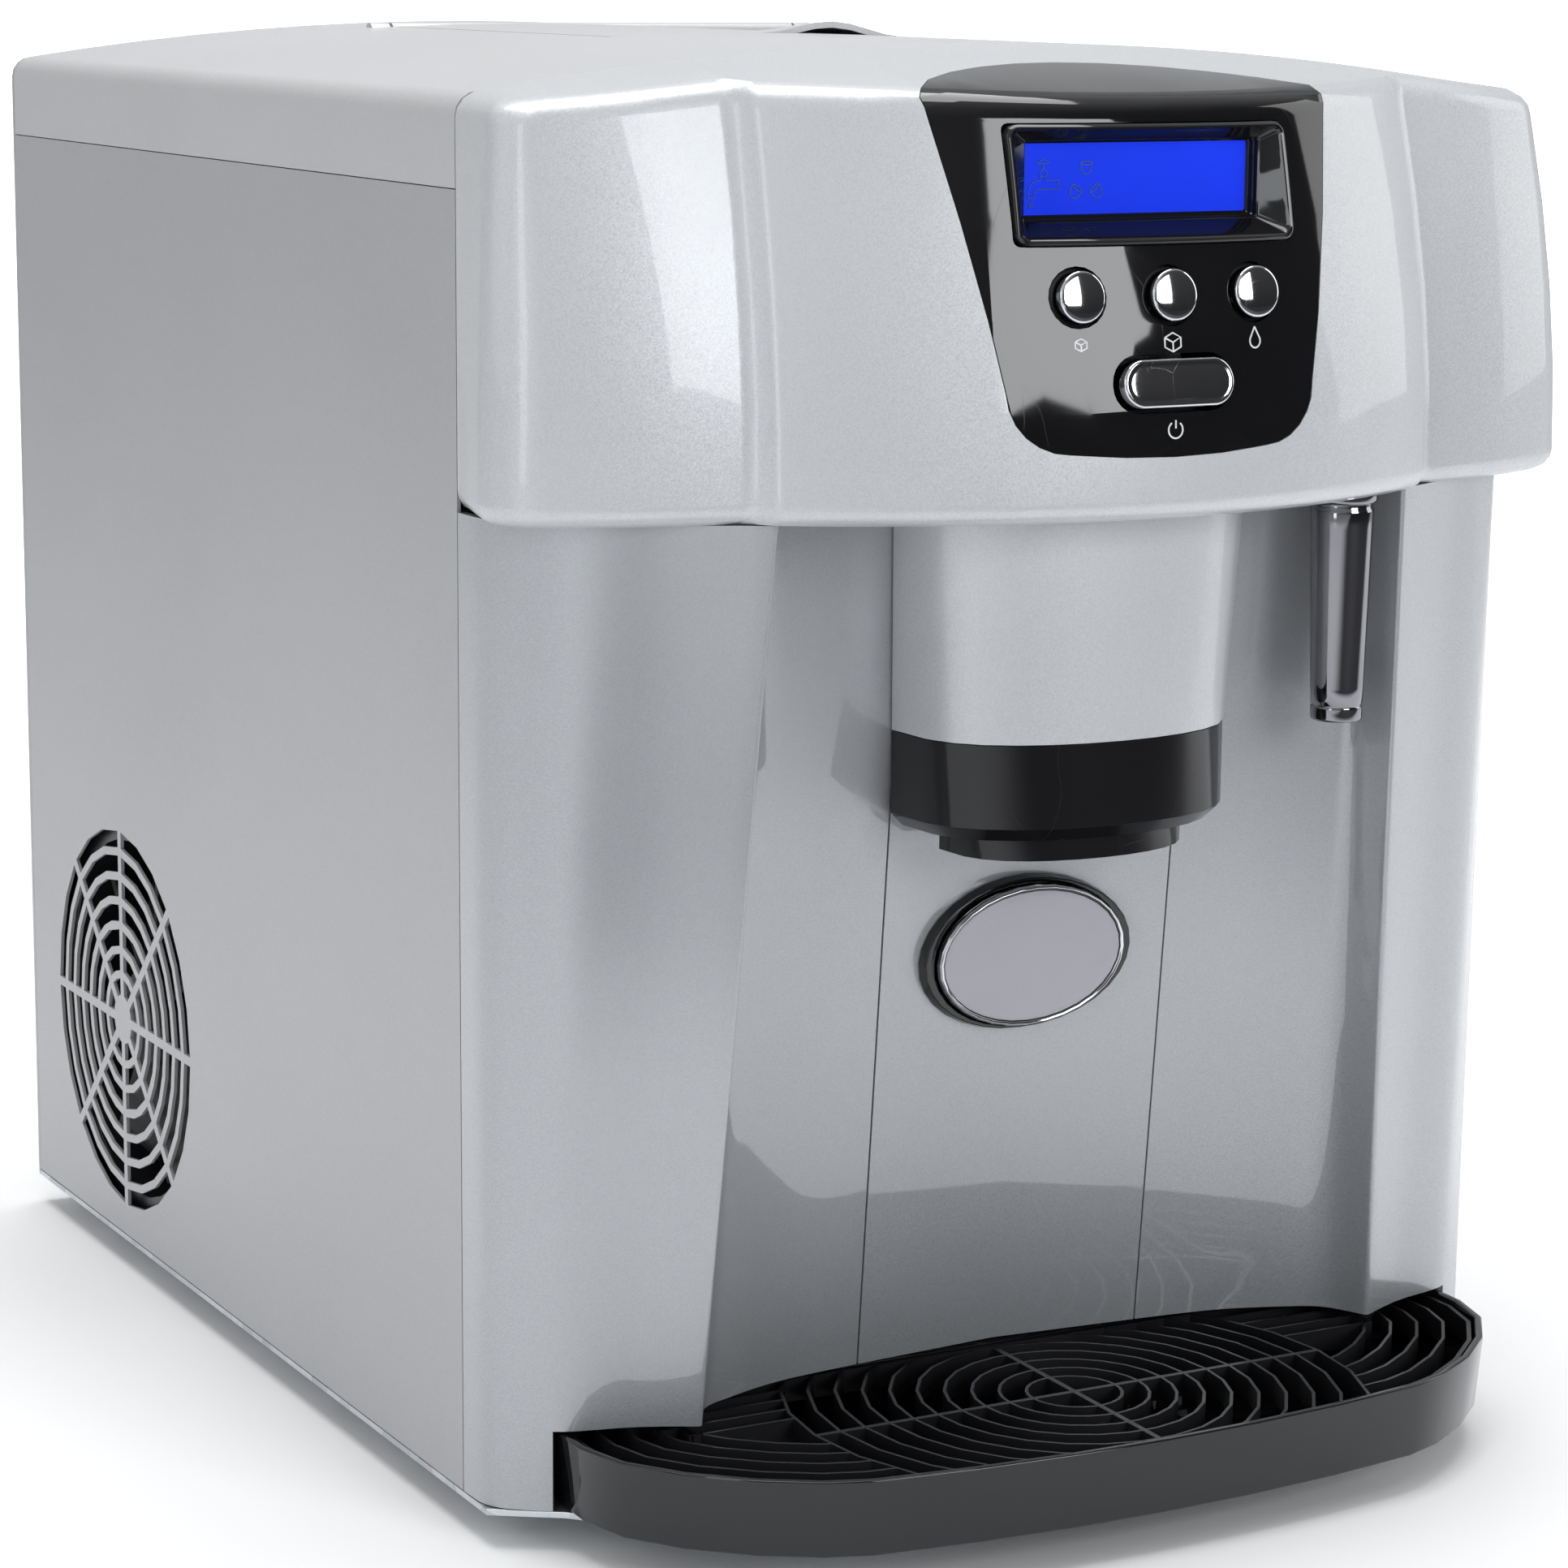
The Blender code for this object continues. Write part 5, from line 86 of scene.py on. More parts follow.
# Gap that keeps a fine piece clear of the piece that it meets
FIT = 0.0003
# How far printed signs stand off the panel, and figures off the screen
PRINT_LIFT = 0.00003
FIGURE_LIFT = 0.00015

# Width of every node's broken edges, and of those that show wider than the rest
EDGE_WIDTH = 0.00025
EDGE_WIDTHS = {
    "upper_front_housing": 0.0009,
    "lower_front_panel": 0.0005,
    "drip_tray": 0.0007,
    "chute_barrel": 0.0004,
    "chute_collar": 0.0005,
    "left_side_panel": 0.0003,
    "right_side_panel": 0.0003,
}
# Edges that turn by more than this are broken, and the rest are shaded smooth
CRISP_ANGLE = math.radians(32.0)

# The nodes that wear each skin
SURFACES = {
    "gloss": ("upper_front_housing", "chute_barrel"),
    "satin": ("lower_front_panel", "niche_panel"),
    "side": ("left_side_panel", "right_side_panel", "back_panel"),
    "lid": ("top_cover", "top_lid"),
    "black": ("control_panel", "display_frame", "dispense_bezel", "drip_tray"),
    "collar": ("chute_collar",),
    "matt": ("drip_grille", "mains_inlet", "drain_plug", "dispense_switch", "fan_motor", "fan_rotor",
             "fan_frame", "auger_motor", "tray_motor", "compressor"),
    "bright": ("button_small", "button_large", "button_water", "button_on_off", "dispense_ring",
               "water_nozzle"),
    "oval": ("dispense_button",),
    "soft": ("foot_back_left", "foot_back_right", "foot_front_left", "foot_front_right",
             "compressor_mount_1", "compressor_mount_2", "compressor_mount_3", "suction_hose", "water_hose"),
    "tube": ("discharge_pipe", "suction_pipe"),
    "white": ("water_tank", "freezing_tray", "ice_bin", "ice_pusher", "ice_ramp", "water_pump", "auger",
              "tray_bracket_left", "tray_bracket_right"),
    "zinc": ("base_pan", "inner_frame", "lid_hinge_rod", "evaporator", "condenser"),
    "board": ("display_board", "circuit_board"),
    "screen": ("display_screen",),
}


# Camera

def make_camera():
    """Place the camera where the photograph was taken from."""
    right = Vector((math.cos(CAMERA_AZIMUTH), -math.sin(CAMERA_AZIMUTH), 0.0))
    level = Vector((math.sin(CAMERA_AZIMUTH), math.cos(CAMERA_AZIMUTH), 0.0))
    up_world = Vector((0.0, 0.0, 1.0))
    ahead = level * math.cos(CAMERA_PITCH) - up_world * math.sin(CAMERA_PITCH)
    up = up_world * math.cos(CAMERA_PITCH) + level * math.sin(CAMERA_PITCH)
    cam_right = right * math.cos(CAMERA_ROLL) + up * math.sin(CAMERA_ROLL)
    cam_up = up * math.cos(CAMERA_ROLL) - right * math.sin(CAMERA_ROLL)
    turn = Matrix((cam_right, cam_up, -ahead)).transposed()
    data = bpy.data.cameras.new("photo_camera")
    data.lens = CAMERA_LENS_MM
    data.sensor_width = SENSOR_MM
    data.clip_start = 0.05
    data.clip_end = 60.0
    camera = bpy.data.objects.new("photo_camera", data)
    camera.matrix_world = Matrix.Translation(CAMERA_PLACE) @ turn.to_4x4()
    bpy.context.scene.collection.objects.link(camera)
    bpy.context.scene.camera = camera


# Light, floor and world

def area_light(name, place, width, height, power, colour=(1.0, 1.0, 1.0)):
    """Hang one soft rectangular lamp that looks at the middle of the object."""
    data = bpy.data.lights.new(name, "AREA")
    data.shape = "RECTANGLE"
    data.size = width
    data.size_y = height
    data.energy = power
    data.color = colour
    lamp = bpy.data.objects.new(name, data)
    lamp.location = place
    lamp.rotation_euler = (Vector(MIDDLE) - Vector(place)).to_track_quat("-Z", "Y").to_euler()
    bpy.context.scene.collection.objects.link(lamp)


def make_light():
    """Light the object from large panels: a window in front, and softer ones beside and above."""
    area_light("lamp_left", (-2.2, 0.3, 1.0), 1.4, 1.4, 4.0)
    area_light("window_left", (-2.0, -1.35, 0.75), 0.45, 1.3, 6.0, (0.92, 0.96, 1.0))
    area_light("window_front", (0.60, -2.5, 1.05), 1.1, 1.05, 25.0, (0.95, 0.975, 1.0))
    area_light("lamp_right", (2.2, -0.5, 1.0), 1.0, 1.6, 10.0)
    area_light("lamp_top", (0.0, 0.2, 2.3), 1.8, 1.8, 47.0)


def make_world():
    """Surround the scene with pale light from above and a dim room to the front right."""
    world = bpy.data.worlds.new("studio")
    bpy.context.scene.world = world
    world.use_nodes = True
    tree = world.node_tree
    link = tree.links.new
    tree.nodes.clear()
    out = add_node(tree, "ShaderNodeOutputWorld")
    coords = add_node(tree, "ShaderNodeTexCoord")
    parts = add_node(tree, "ShaderNodeSeparateXYZ")
    ramp = add_node(tree, "ShaderNodeValToRGB")
    ramp.color_ramp.elements[0].position = 0.42
    ramp.color_ramp.elements[0].color = (0.26, 0.27, 0.28, 1.0)
    ramp.color_ramp.elements[1].position = 0.80
    ramp.color_ramp.elements[1].color = (0.90, 0.91, 0.92, 1.0)
    lift = add_node(tree, "ShaderNodeMath", operation="MULTIPLY_ADD")
    lift.inputs[1].default_value = 0.5
    lift.inputs[2].default_value = 0.5
    aside = add_node(tree, "ShaderNodeVectorMath", operation="DOT_PRODUCT")
    aside.inputs[1].default_value = DIM_SIDE
    shade = add_node(tree, "ShaderNodeMix", data_type="RGBA")
    shade.inputs[6].default_value = (0.0, 0.0, 0.0, 1.0)
    soft = add_node(tree, "ShaderNodeBackground")
    soft.inputs["Strength"].default_value = 0.62
    white = add_node(tree, "ShaderNodeBackground")
    white.inputs["Color"].default_value = (1.0, 1.0, 1.0, 1.0)
    path = add_node(tree, "ShaderNodeLightPath")
    mix = add_node(tree, "ShaderNodeMixShader")
    link(coords.outputs["Generated"], parts.inputs[0])
    link(coords.outputs["Generated"], aside.inputs[0])
    dim = ease(tree, aside.outputs["Value"], 0.30, 0.85, 1.0, 0.12)
    link(parts.outputs["Z"], lift.inputs[0])
    link(lift.outputs[0], ramp.inputs["Fac"])
    link(dim, shade.inputs[0])
    link(ramp.outputs["Color"], shade.inputs[7])
    link(shade.outputs[2], soft.inputs["Color"])
    link(path.outputs["Is Camera Ray"], mix.inputs[0])
    link(soft.outputs[0], mix.inputs[1])
    link(white.outputs[0], mix.inputs[2])
    link(mix.outputs[0], out.inputs["Surface"])


def make_floor():
    """Lay a pale sweep: a flat floor that curves up into a backdrop behind the object."""
    mesh = bmesh.new()
    path = [(-9.0, 0.0), (2.6, 0.0)]
    steps = 16
    radius = 1.2
    for i in range(1, steps + 1):
        a = math.pi / 2 * i / steps
        path.append((2.6 + radius * math.sin(a), radius - radius * math.cos(a)))
    path.append((2.6 + radius, 4.0))
    line = [mesh.verts.new((-8.0, y, z)) for y, z in path]
    edges = [mesh.edges.new((a, b)) for a, b in zip(line, line[1:])]
    made = bmesh.ops.extrude_edge_only(mesh, edges=edges)
    moved = [v for v in made["geom"] if isinstance(v, bmesh.types.BMVert)]
    bmesh.ops.translate(mesh, verts=moved, vec=(16.0, 0.0, 0.0))
    turn = Matrix.Rotation(math.radians(-28.0), 3, "Z")
    bmesh.ops.rotate(mesh, verts=mesh.verts, cent=(0, 0, 0), matrix=turn)
    bmesh.ops.recalc_face_normals(mesh, faces=mesh.faces)
    for face in mesh.faces:
        face.smooth = True
    data = bpy.data.meshes.new("studio_floor")
    mesh.to_mesh(data)
    mesh.free()
    floor = bpy.data.objects.new("studio_floor", data)
    bpy.context.scene.collection.objects.link(floor)
    data.materials.append(studio_paper())


def studio_paper():
    """Pale paper: dim where glossy faces mirror its front right, white to the camera far out."""
    made, tree, shader = start_material("studio_paper")
    link = tree.links.new
    shader.inputs["Roughness"].default_value = 0.85
    shader.inputs["Specular IOR Level"].default_value = 0.1
    grain = add_group(tree, grain_group(), {"Scale": 240.0, "Broad Scale": 1.3})
    pale = tint_between(tree, grain.outputs["Broad"], (0.92, 0.92, 0.92), (0.95, 0.95, 0.95))
    coords = add_node(tree, "ShaderNodeTexCoord")
    path = add_node(tree, "ShaderNodeLightPath")
    parts = add_node(tree, "ShaderNodeSeparateXYZ")
    link(coords.outputs["Object"], parts.inputs[0])
    across = ease(tree, parts.outputs["X"], -0.9, -0.2)
    ahead = ease(tree, parts.outputs["Y"], -0.50, -0.85)
    dim = multiply(tree, across, ahead)
    mirrored = tint_between(tree, dim, (0.90, 0.91, 0.93), (0.07, 0.07, 0.075))
    mix = add_node(tree, "ShaderNodeMix", data_type="RGBA")
    link(path.outputs["Is Glossy Ray"], mix.inputs[0])
    link(pale, mix.inputs[6])
    link(mirrored, mix.inputs[7])
    link(mix.outputs[2], shader.inputs["Base Color"])
    reach = add_node(tree, "ShaderNodeVectorMath", operation="LENGTH")
    link(coords.outputs["Object"], reach.inputs[0])
    far = ease(tree, reach.outputs["Value"], WHITE_FROM, WHITE_TO)
    seen = multiply(tree, far, path.outputs["Is Camera Ray"])
    glow = tint_between(tree, seen, (0.0, 0.0, 0.0), (1.0, 1.0, 1.0))
    link(glow, shader.inputs["Emission Color"])
    shader.inputs["Emission Strength"].default_value = 1.0
    return made


# Node helpers

def add_node(tree, kind, **settings):
    """Add one node and set its plain properties."""
    made = tree.nodes.new(kind)
    for key, value in settings.items():
        setattr(made, key, value)
    return made


def add_group(tree, group, values):
    """Add a group node and set its numbers."""
    made = tree.nodes.new("ShaderNodeGroup")
    made.node_tree = group
    for key, value in values.items():
        made.inputs[key].default_value = value
    return made


def tint_between(tree, factor, low, high):
    """Blend two colours by a value."""
    mix = add_node(tree, "ShaderNodeMix", data_type="RGBA")
    mix.inputs[6].default_value = (*low, 1.0)
    mix.inputs[7].default_value = (*high, 1.0)
    tree.links.new(factor, mix.inputs[0])
    return mix.outputs[2]


def value_between(tree, factor, low, high):
    """Map a value from nought to one onto another range."""
    made = add_node(tree, "ShaderNodeMapRange")
    made.inputs["To Min"].default_value = low
    made.inputs["To Max"].default_value = high
    tree.links.new(factor, made.inputs["Value"])
    return made.outputs["Result"]


def ease(tree, value, start, end, low=0.0, high=1.0):
    """Map a value's range smoothly onto another, by an S curve."""
    made = add_node(tree, "ShaderNodeMapRange", interpolation_type="SMOOTHSTEP")
    for label, number in (("From Min", start), ("From Max", end), ("To Min", low), ("To Max", high)):
        made.inputs[label].default_value = number
    tree.links.new(value, made.inputs["Value"])
    return made.outputs[0]


def multiply(tree, first, second):
    """Multiply two values."""
    made = add_node(tree, "ShaderNodeMath", operation="MULTIPLY")
    tree.links.new(first, made.inputs[0])
    tree.links.new(second, made.inputs[1])
    return made.outputs[0]


def new_group(name, inputs, outputs):
    """Start a node group with named sockets."""
    tree = bpy.data.node_groups.new(name, "ShaderNodeTree")
    for label, value in inputs:
        socket = tree.interface.new_socket(name=label, in_out="INPUT", socket_type="NodeSocketFloat")
        socket.default_value = value
    for label, kind in outputs:
        tree.interface.new_socket(name=label, in_out="OUTPUT", socket_type=kind)
    source = tree.nodes.new("NodeGroupInput")
    target = tree.nodes.new("NodeGroupOutput")
    return tree, source, target


@functools.cache
def grain_group():
    """Fine and broad noise in object space."""
    tree, source, target = new_group(
        "grain", [("Scale", 900.0), ("Broad Scale", 9.0)],
        [("Fine", "NodeSocketFloat"), ("Broad", "NodeSocketFloat")])
    coords = tree.nodes.new("ShaderNodeTexCoord")
    fine = add_node(tree, "ShaderNodeTexNoise")
    fine.inputs["Detail"].default_value = 3.0
    fine.inputs["Roughness"].default_value = 0.6
    broad = add_node(tree, "ShaderNodeTexNoise")
    broad.inputs["Detail"].default_value = 4.0
    broad.inputs["Distortion"].default_value = 0.4
    for noise, label, result in ((fine, "Scale", "Fine"), (broad, "Broad Scale", "Broad")):
        tree.links.new(coords.outputs["Object"], noise.inputs["Vector"])
        tree.links.new(source.outputs[label], noise.inputs["Scale"])
        tree.links.new(noise.outputs["Fac"], target.inputs[result])
    return tree


@functools.cache
def flake_group():
    """Tiny metal flakes, each leaning its own way, with their own brightness."""
    tree, source, target = new_group(
        "flakes", [("Density", 2200.0), ("Lean", 0.2)],
        [("Normal", "NodeSocketVector"), ("Sparkle", "NodeSocketFloat")])
    link = tree.links.new
    coords = tree.nodes.new("ShaderNodeTexCoord")
    cells = add_node(tree, "ShaderNodeTexVoronoi", feature="F1")
    geometry = tree.nodes.new("ShaderNodeNewGeometry")
    shift = add_node(tree, "ShaderNodeVectorMath", operation="SUBTRACT")
    shift.inputs[1].default_value = (0.5, 0.5, 0.5)
    scale = add_node(tree, "ShaderNodeVectorMath", operation="SCALE")
    total = add_node(tree, "ShaderNodeVectorMath", operation="ADD")
    unit = add_node(tree, "ShaderNodeVectorMath", operation="NORMALIZE")
    parts = tree.nodes.new("ShaderNodeSeparateColor")
    link(coords.outputs["Object"], cells.inputs["Vector"])
    link(source.outputs["Density"], cells.inputs["Scale"])
    link(cells.outputs["Color"], shift.inputs[0])
    link(shift.outputs[0], scale.inputs[0])
    link(source.outputs["Lean"], scale.inputs["Scale"])
    link(scale.outputs[0], total.inputs[0])
    link(geometry.outputs["Normal"], total.inputs[1])
    link(total.outputs[0], unit.inputs[0])
    link(unit.outputs[0], target.inputs["Normal"])
    link(cells.outputs["Color"], parts.inputs[0])
    link(parts.outputs[0], target.inputs["Sparkle"])
    return tree


@functools.cache
def dust_group():
    """A mask of settled dust that favours faces that look up."""
    tree, source, target = new_group(
        "dust", [("Amount", 0.2), ("Scale", 500.0)], [("Mask", "NodeSocketFloat")])
    link = tree.links.new
    coords = tree.nodes.new("ShaderNodeTexCoord")
    geometry = tree.nodes.new("ShaderNodeNewGeometry")
    parts = tree.nodes.new("ShaderNodeSeparateXYZ")
    facing = add_node(tree, "ShaderNodeMapRange")
    facing.inputs["From Min"].default_value = 0.2
    specks = add_node(tree, "ShaderNodeTexNoise")
    specks.inputs["Detail"].default_value = 6.0
    specks.inputs["Roughness"].default_value = 0.7
    sharp = add_node(tree, "ShaderNodeMapRange")
    sharp.inputs["From Min"].default_value = 0.48
    sharp.inputs["From Max"].default_value = 0.74
    final = add_node(tree, "ShaderNodeMath", operation="MULTIPLY", use_clamp=True)
    link(geometry.outputs["Normal"], parts.inputs[0])
    link(parts.outputs["Z"], facing.inputs["Value"])
    link(coords.outputs["Object"], specks.inputs["Vector"])
    link(source.outputs["Scale"], specks.inputs["Scale"])
    link(specks.outputs["Fac"], sharp.inputs["Value"])
    link(multiply(tree, facing.outputs[0], sharp.outputs[0]), final.inputs[0])
    link(source.outputs["Amount"], final.inputs[1])
    link(final.outputs[0], target.inputs["Mask"])
    return tree


@functools.cache
def scratch_group():
    """Sparse hair scratches from stretched cells."""
    tree, source, target = new_group(
        "scratches", [("Scale", 40.0), ("Width", 0.004)], [("Mask", "NodeSocketFloat")])
    link = tree.links.new
    coords = tree.nodes.new("ShaderNodeTexCoord")
    turn = add_node(tree, "ShaderNodeMapping")
    turn.inputs["Rotation"].default_value = (0.4, 0.9, 0.3)
    turn.inputs["Scale"].default_value = (1.0, 0.16, 0.6)
    warp = add_node(tree, "ShaderNodeTexNoise")
    warp.inputs["Scale"].default_value = 14.0
    bend = add_node(tree, "ShaderNodeVectorMath", operation="MULTIPLY_ADD")
    bend.inputs[1].default_value = (0.05, 0.05, 0.05)
    cells = add_node(tree, "ShaderNodeTexVoronoi", feature="DISTANCE_TO_EDGE")
    thin = add_node(tree, "ShaderNodeMath", operation="LESS_THAN")
    patchy = add_node(tree, "ShaderNodeTexNoise")
    patchy.inputs["Scale"].default_value = 30.0
    limit = add_node(tree, "ShaderNodeMapRange")
    limit.inputs["From Min"].default_value = 0.52
    limit.inputs["From Max"].default_value = 0.66
    link(coords.outputs["Object"], turn.inputs["Vector"])
    link(coords.outputs["Object"], warp.inputs["Vector"])
    link(coords.outputs["Object"], patchy.inputs["Vector"])
    link(warp.outputs["Color"], bend.inputs[0])
    link(turn.outputs[0], bend.inputs[2])
    link(bend.outputs[0], cells.inputs["Vector"])
    link(source.outputs["Scale"], cells.inputs["Scale"])
    link(cells.outputs["Distance"], thin.inputs[0])
    link(source.outputs["Width"], thin.inputs[1])
    link(patchy.outputs["Fac"], limit.inputs["Value"])
    link(multiply(tree, thin.outputs[0], limit.outputs[0]), target.inputs["Mask"])
    return tree


def bump_normal(tree, height, strength, distance, base=None):
    """Turn a height into a normal."""
    bump = tree.nodes.new("ShaderNodeBump")
    bump.inputs["Strength"].default_value = strength
    bump.inputs["Distance"].default_value = distance
    tree.links.new(height, bump.inputs["Height"])
    if base is not None:
        tree.links.new(base, bump.inputs["Normal"])
    return bump.outputs["Normal"]


def add_values(tree, first, second, scale):
    """Add a scaled value to another."""
    made = add_node(tree, "ShaderNodeMath", operation="MULTIPLY_ADD")
    made.inputs[1].default_value = scale
    tree.links.new(second, made.inputs[0])
    tree.links.new(first, made.inputs[2])
    return made.outputs[0]


def start_material(name):
    """Make a node material and give back its tree and shader."""
    made = bpy.data.materials.new(name)
    made.use_nodes = True
    tree = made.node_tree
    return made, tree, tree.nodes["Principled BSDF"]


def metal_paint(name, dark, light, roughness, metallic, coat, coat_roughness, coat_ior, lean, peel):
    """Silver paint: flakes under a clear coat, orange peel, hair scratches and a little dust."""
    made, tree, shader = start_material(name)
    flakes = add_group(tree, flake_group(), {"Density": 3400.0, "Lean": lean})
    grain = add_group(tree, grain_group(), {"Scale": 900.0, "Broad Scale": 5.0})
    dust = add_group(tree, dust_group(), {"Amount": 0.05, "Scale": 900.0})
    scratches = add_group(tree, scratch_group(), {"Scale": 26.0, "Width": 0.0025})
    blend = add_values(tree, grain.outputs["Broad"], flakes.outputs["Sparkle"], 0.55)
    blend = add_values(tree, blend, dust.outputs["Mask"], 0.6)
    shade = value_between(tree, blend, -0.28, 0.78)
    tree.links.new(tint_between(tree, shade, dark, light), shader.inputs["Base Color"])
    gloss = value_between(tree, grain.outputs["Broad"], roughness - 0.03, roughness + 0.04)
    gloss = add_values(tree, gloss, scratches.outputs["Mask"], 0.12)
    gloss = add_values(tree, gloss, dust.outputs["Mask"], 0.5)
    tree.links.new(gloss, shader.inputs["Roughness"])
    shader.inputs["Metallic"].default_value = metallic
    shader.inputs["Coat Weight"].default_value = coat
    shader.inputs["Coat Roughness"].default_value = coat_roughness
    shader.inputs["Coat IOR"].default_value = coat_ior
    tree.links.new(flakes.outputs["Normal"], shader.inputs["Normal"])
    clear = bump_normal(tree, grain.outputs["Broad"], peel, 0.0010)
    tree.links.new(clear, shader.inputs["Coat Normal"])
    return made


def plastic(name, dark, light, roughness, spread, grain_scale, bump, coat=0.0, dust_amount=0.15):
    """Moulded plastic: slight clouding, fine texture, scratches and dust."""
    made, tree, shader = start_material(name)
    grain = add_group(tree, grain_group(), {"Scale": grain_scale, "Broad Scale": 11.0})
    dust = add_group(tree, dust_group(), {"Amount": dust_amount, "Scale": 700.0})
    scratches = add_group(tree, scratch_group(), {"Scale": 34.0, "Width": 0.003})
    shade = add_values(tree, grain.outputs["Broad"], dust.outputs["Mask"], 1.0)
    shade = add_values(tree, shade, scratches.outputs["Mask"], 0.3)
    tree.links.new(tint_between(tree, shade, dark, light), shader.inputs["Base Color"])
    gloss = value_between(tree, grain.outputs["Broad"], roughness - spread / 2, roughness + spread / 2)
    gloss = add_values(tree, gloss, dust.outputs["Mask"], 0.4)
    gloss = add_values(tree, gloss, scratches.outputs["Mask"], 0.15)
    tree.links.new(gloss, shader.inputs["Roughness"])
    shader.inputs["Coat Weight"].default_value = coat
    shader.inputs["Coat Roughness"].default_value = 0.05
    tree.links.new(bump_normal(tree, grain.outputs["Fine"], bump, 0.0003), shader.inputs["Normal"])
    return made


def bare_metal(name, dark, light, roughness, spread, grain_scale, bump):
    """Plated or drawn metal with smudges and fine grain."""
    made, tree, shader = start_material(name)
    grain = add_group(tree, grain_group(), {"Scale": grain_scale, "Broad Scale": 42.0})
    scratches = add_group(tree, scratch_group(), {"Scale": 60.0, "Width": 0.003})
    tree.links.new(tint_between(tree, grain.outputs["Broad"], dark, light), shader.inputs["Base Color"])
    smooth = max(roughness - spread / 2, 0.02)
    gloss = value_between(tree, grain.outputs["Broad"], smooth, roughness + spread / 2)
    gloss = add_values(tree, gloss, scratches.outputs["Mask"], 0.12)
    tree.links.new(gloss, shader.inputs["Roughness"])
    shader.inputs["Metallic"].default_value = 1.0
    tree.links.new(bump_normal(tree, grain.outputs["Fine"], bump, 0.0002), shader.inputs["Normal"])
    return made


def zinc_metal():
    """Galvanised sheet with its crystal pattern."""
    made, tree, shader = start_material("galvanised")
    link = tree.links.new
    coords = tree.nodes.new("ShaderNodeTexCoord")
    cells = add_node(tree, "ShaderNodeTexVoronoi", feature="F1")
    cells.inputs["Scale"].default_value = 90.0
    parts = tree.nodes.new("ShaderNodeSeparateColor")
    grain = add_group(tree, grain_group(), {"Scale": 600.0, "Broad Scale": 15.0})
    link(coords.outputs["Object"], cells.inputs["Vector"])
    link(cells.outputs["Color"], parts.inputs[0])
    blend = add_values(tree, parts.outputs[0], grain.outputs["Broad"], 0.4)
    tint = tint_between(tree, blend, (0.42, 0.44, 0.46), (0.64, 0.66, 0.68))
    link(tint, shader.inputs["Base Color"])
    link(value_between(tree, parts.outputs[1], 0.30, 0.48), shader.inputs["Roughness"])
    shader.inputs["Metallic"].default_value = 0.9
    link(bump_normal(tree, grain.outputs["Fine"], 0.08, 0.0002), shader.inputs["Normal"])
    return made


def lit_display():
    """Blue lit liquid crystal screen with a faint dot pitch."""
    made, tree, shader = start_material("lit_display")
    link = tree.links.new
    coords = tree.nodes.new("ShaderNodeTexCoord")
    grain = add_group(tree, grain_group(), {"Scale": 1500.0, "Broad Scale": 24.0})
    rows = add_node(tree, "ShaderNodeTexWave", wave_type="BANDS", bands_direction="Z")
    rows.inputs["Scale"].default_value = 700.0
    columns = add_node(tree, "ShaderNodeTexWave", wave_type="BANDS", bands_direction="X")
    columns.inputs["Scale"].default_value = 700.0
    link(coords.outputs["Object"], rows.inputs["Vector"])
    link(coords.outputs["Object"], columns.inputs["Vector"])
    dots = multiply(tree, rows.outputs["Fac"], columns.outputs["Fac"])
    blend = add_values(tree, grain.outputs["Broad"], dots, 0.3)
    colour = tint_between(tree, blend, (0.003, 0.016, 0.58), (0.007, 0.036, 0.92))
    path = tree.nodes.new("ShaderNodeLightPath")
    seen = add_node(tree, "ShaderNodeMix", data_type="RGBA")
    seen.inputs[7].default_value = (0.0, 0.0, 0.0, 1.0)
    link(path.outputs["Is Glossy Ray"], seen.inputs[0])
    link(colour, seen.inputs[6])
    link(seen.outputs[2], shader.inputs["Emission Color"])
    shader.inputs["Emission Strength"].default_value = 0.76
    shader.inputs["Base Color"].default_value = (0.01, 0.03, 0.30, 1.0)
    link(value_between(tree, grain.outputs["Fine"], 0.10, 0.18), shader.inputs["Roughness"])
    return made


def circuit_material():
    """Printed circuit: green lacquer over darker copper runs."""
    made, tree, shader = start_material("printed_circuit")
    link = tree.links.new
    coords = tree.nodes.new("ShaderNodeTexCoord")
    runs = add_node(tree, "ShaderNodeTexBrick")
    runs.inputs["Scale"].default_value = 120.0
    runs.inputs["Mortar Size"].default_value = 0.03
    runs.inputs["Color1"].default_value = (0.010, 0.150, 0.050, 1.0)
    runs.inputs["Color2"].default_value = (0.016, 0.200, 0.070, 1.0)
    runs.inputs["Mortar"].default_value = (0.080, 0.260, 0.100, 1.0)
    turn = add_node(tree, "ShaderNodeMapping")
    turn.inputs["Rotation"].default_value = (0.0, math.pi / 2, math.pi / 2)
    grain = add_group(tree, grain_group(), {"Scale": 800.0, "Broad Scale": 30.0})
    link(coords.outputs["Object"], turn.inputs["Vector"])
    link(turn.outputs[0], runs.inputs["Vector"])
    link(runs.outputs["Color"], shader.inputs["Base Color"])
    link(value_between(tree, grain.outputs["Broad"], 0.28, 0.45), shader.inputs["Roughness"])
    link(bump_normal(tree, runs.outputs["Fac"], 0.2, 0.0002), shader.inputs["Normal"])
    return made


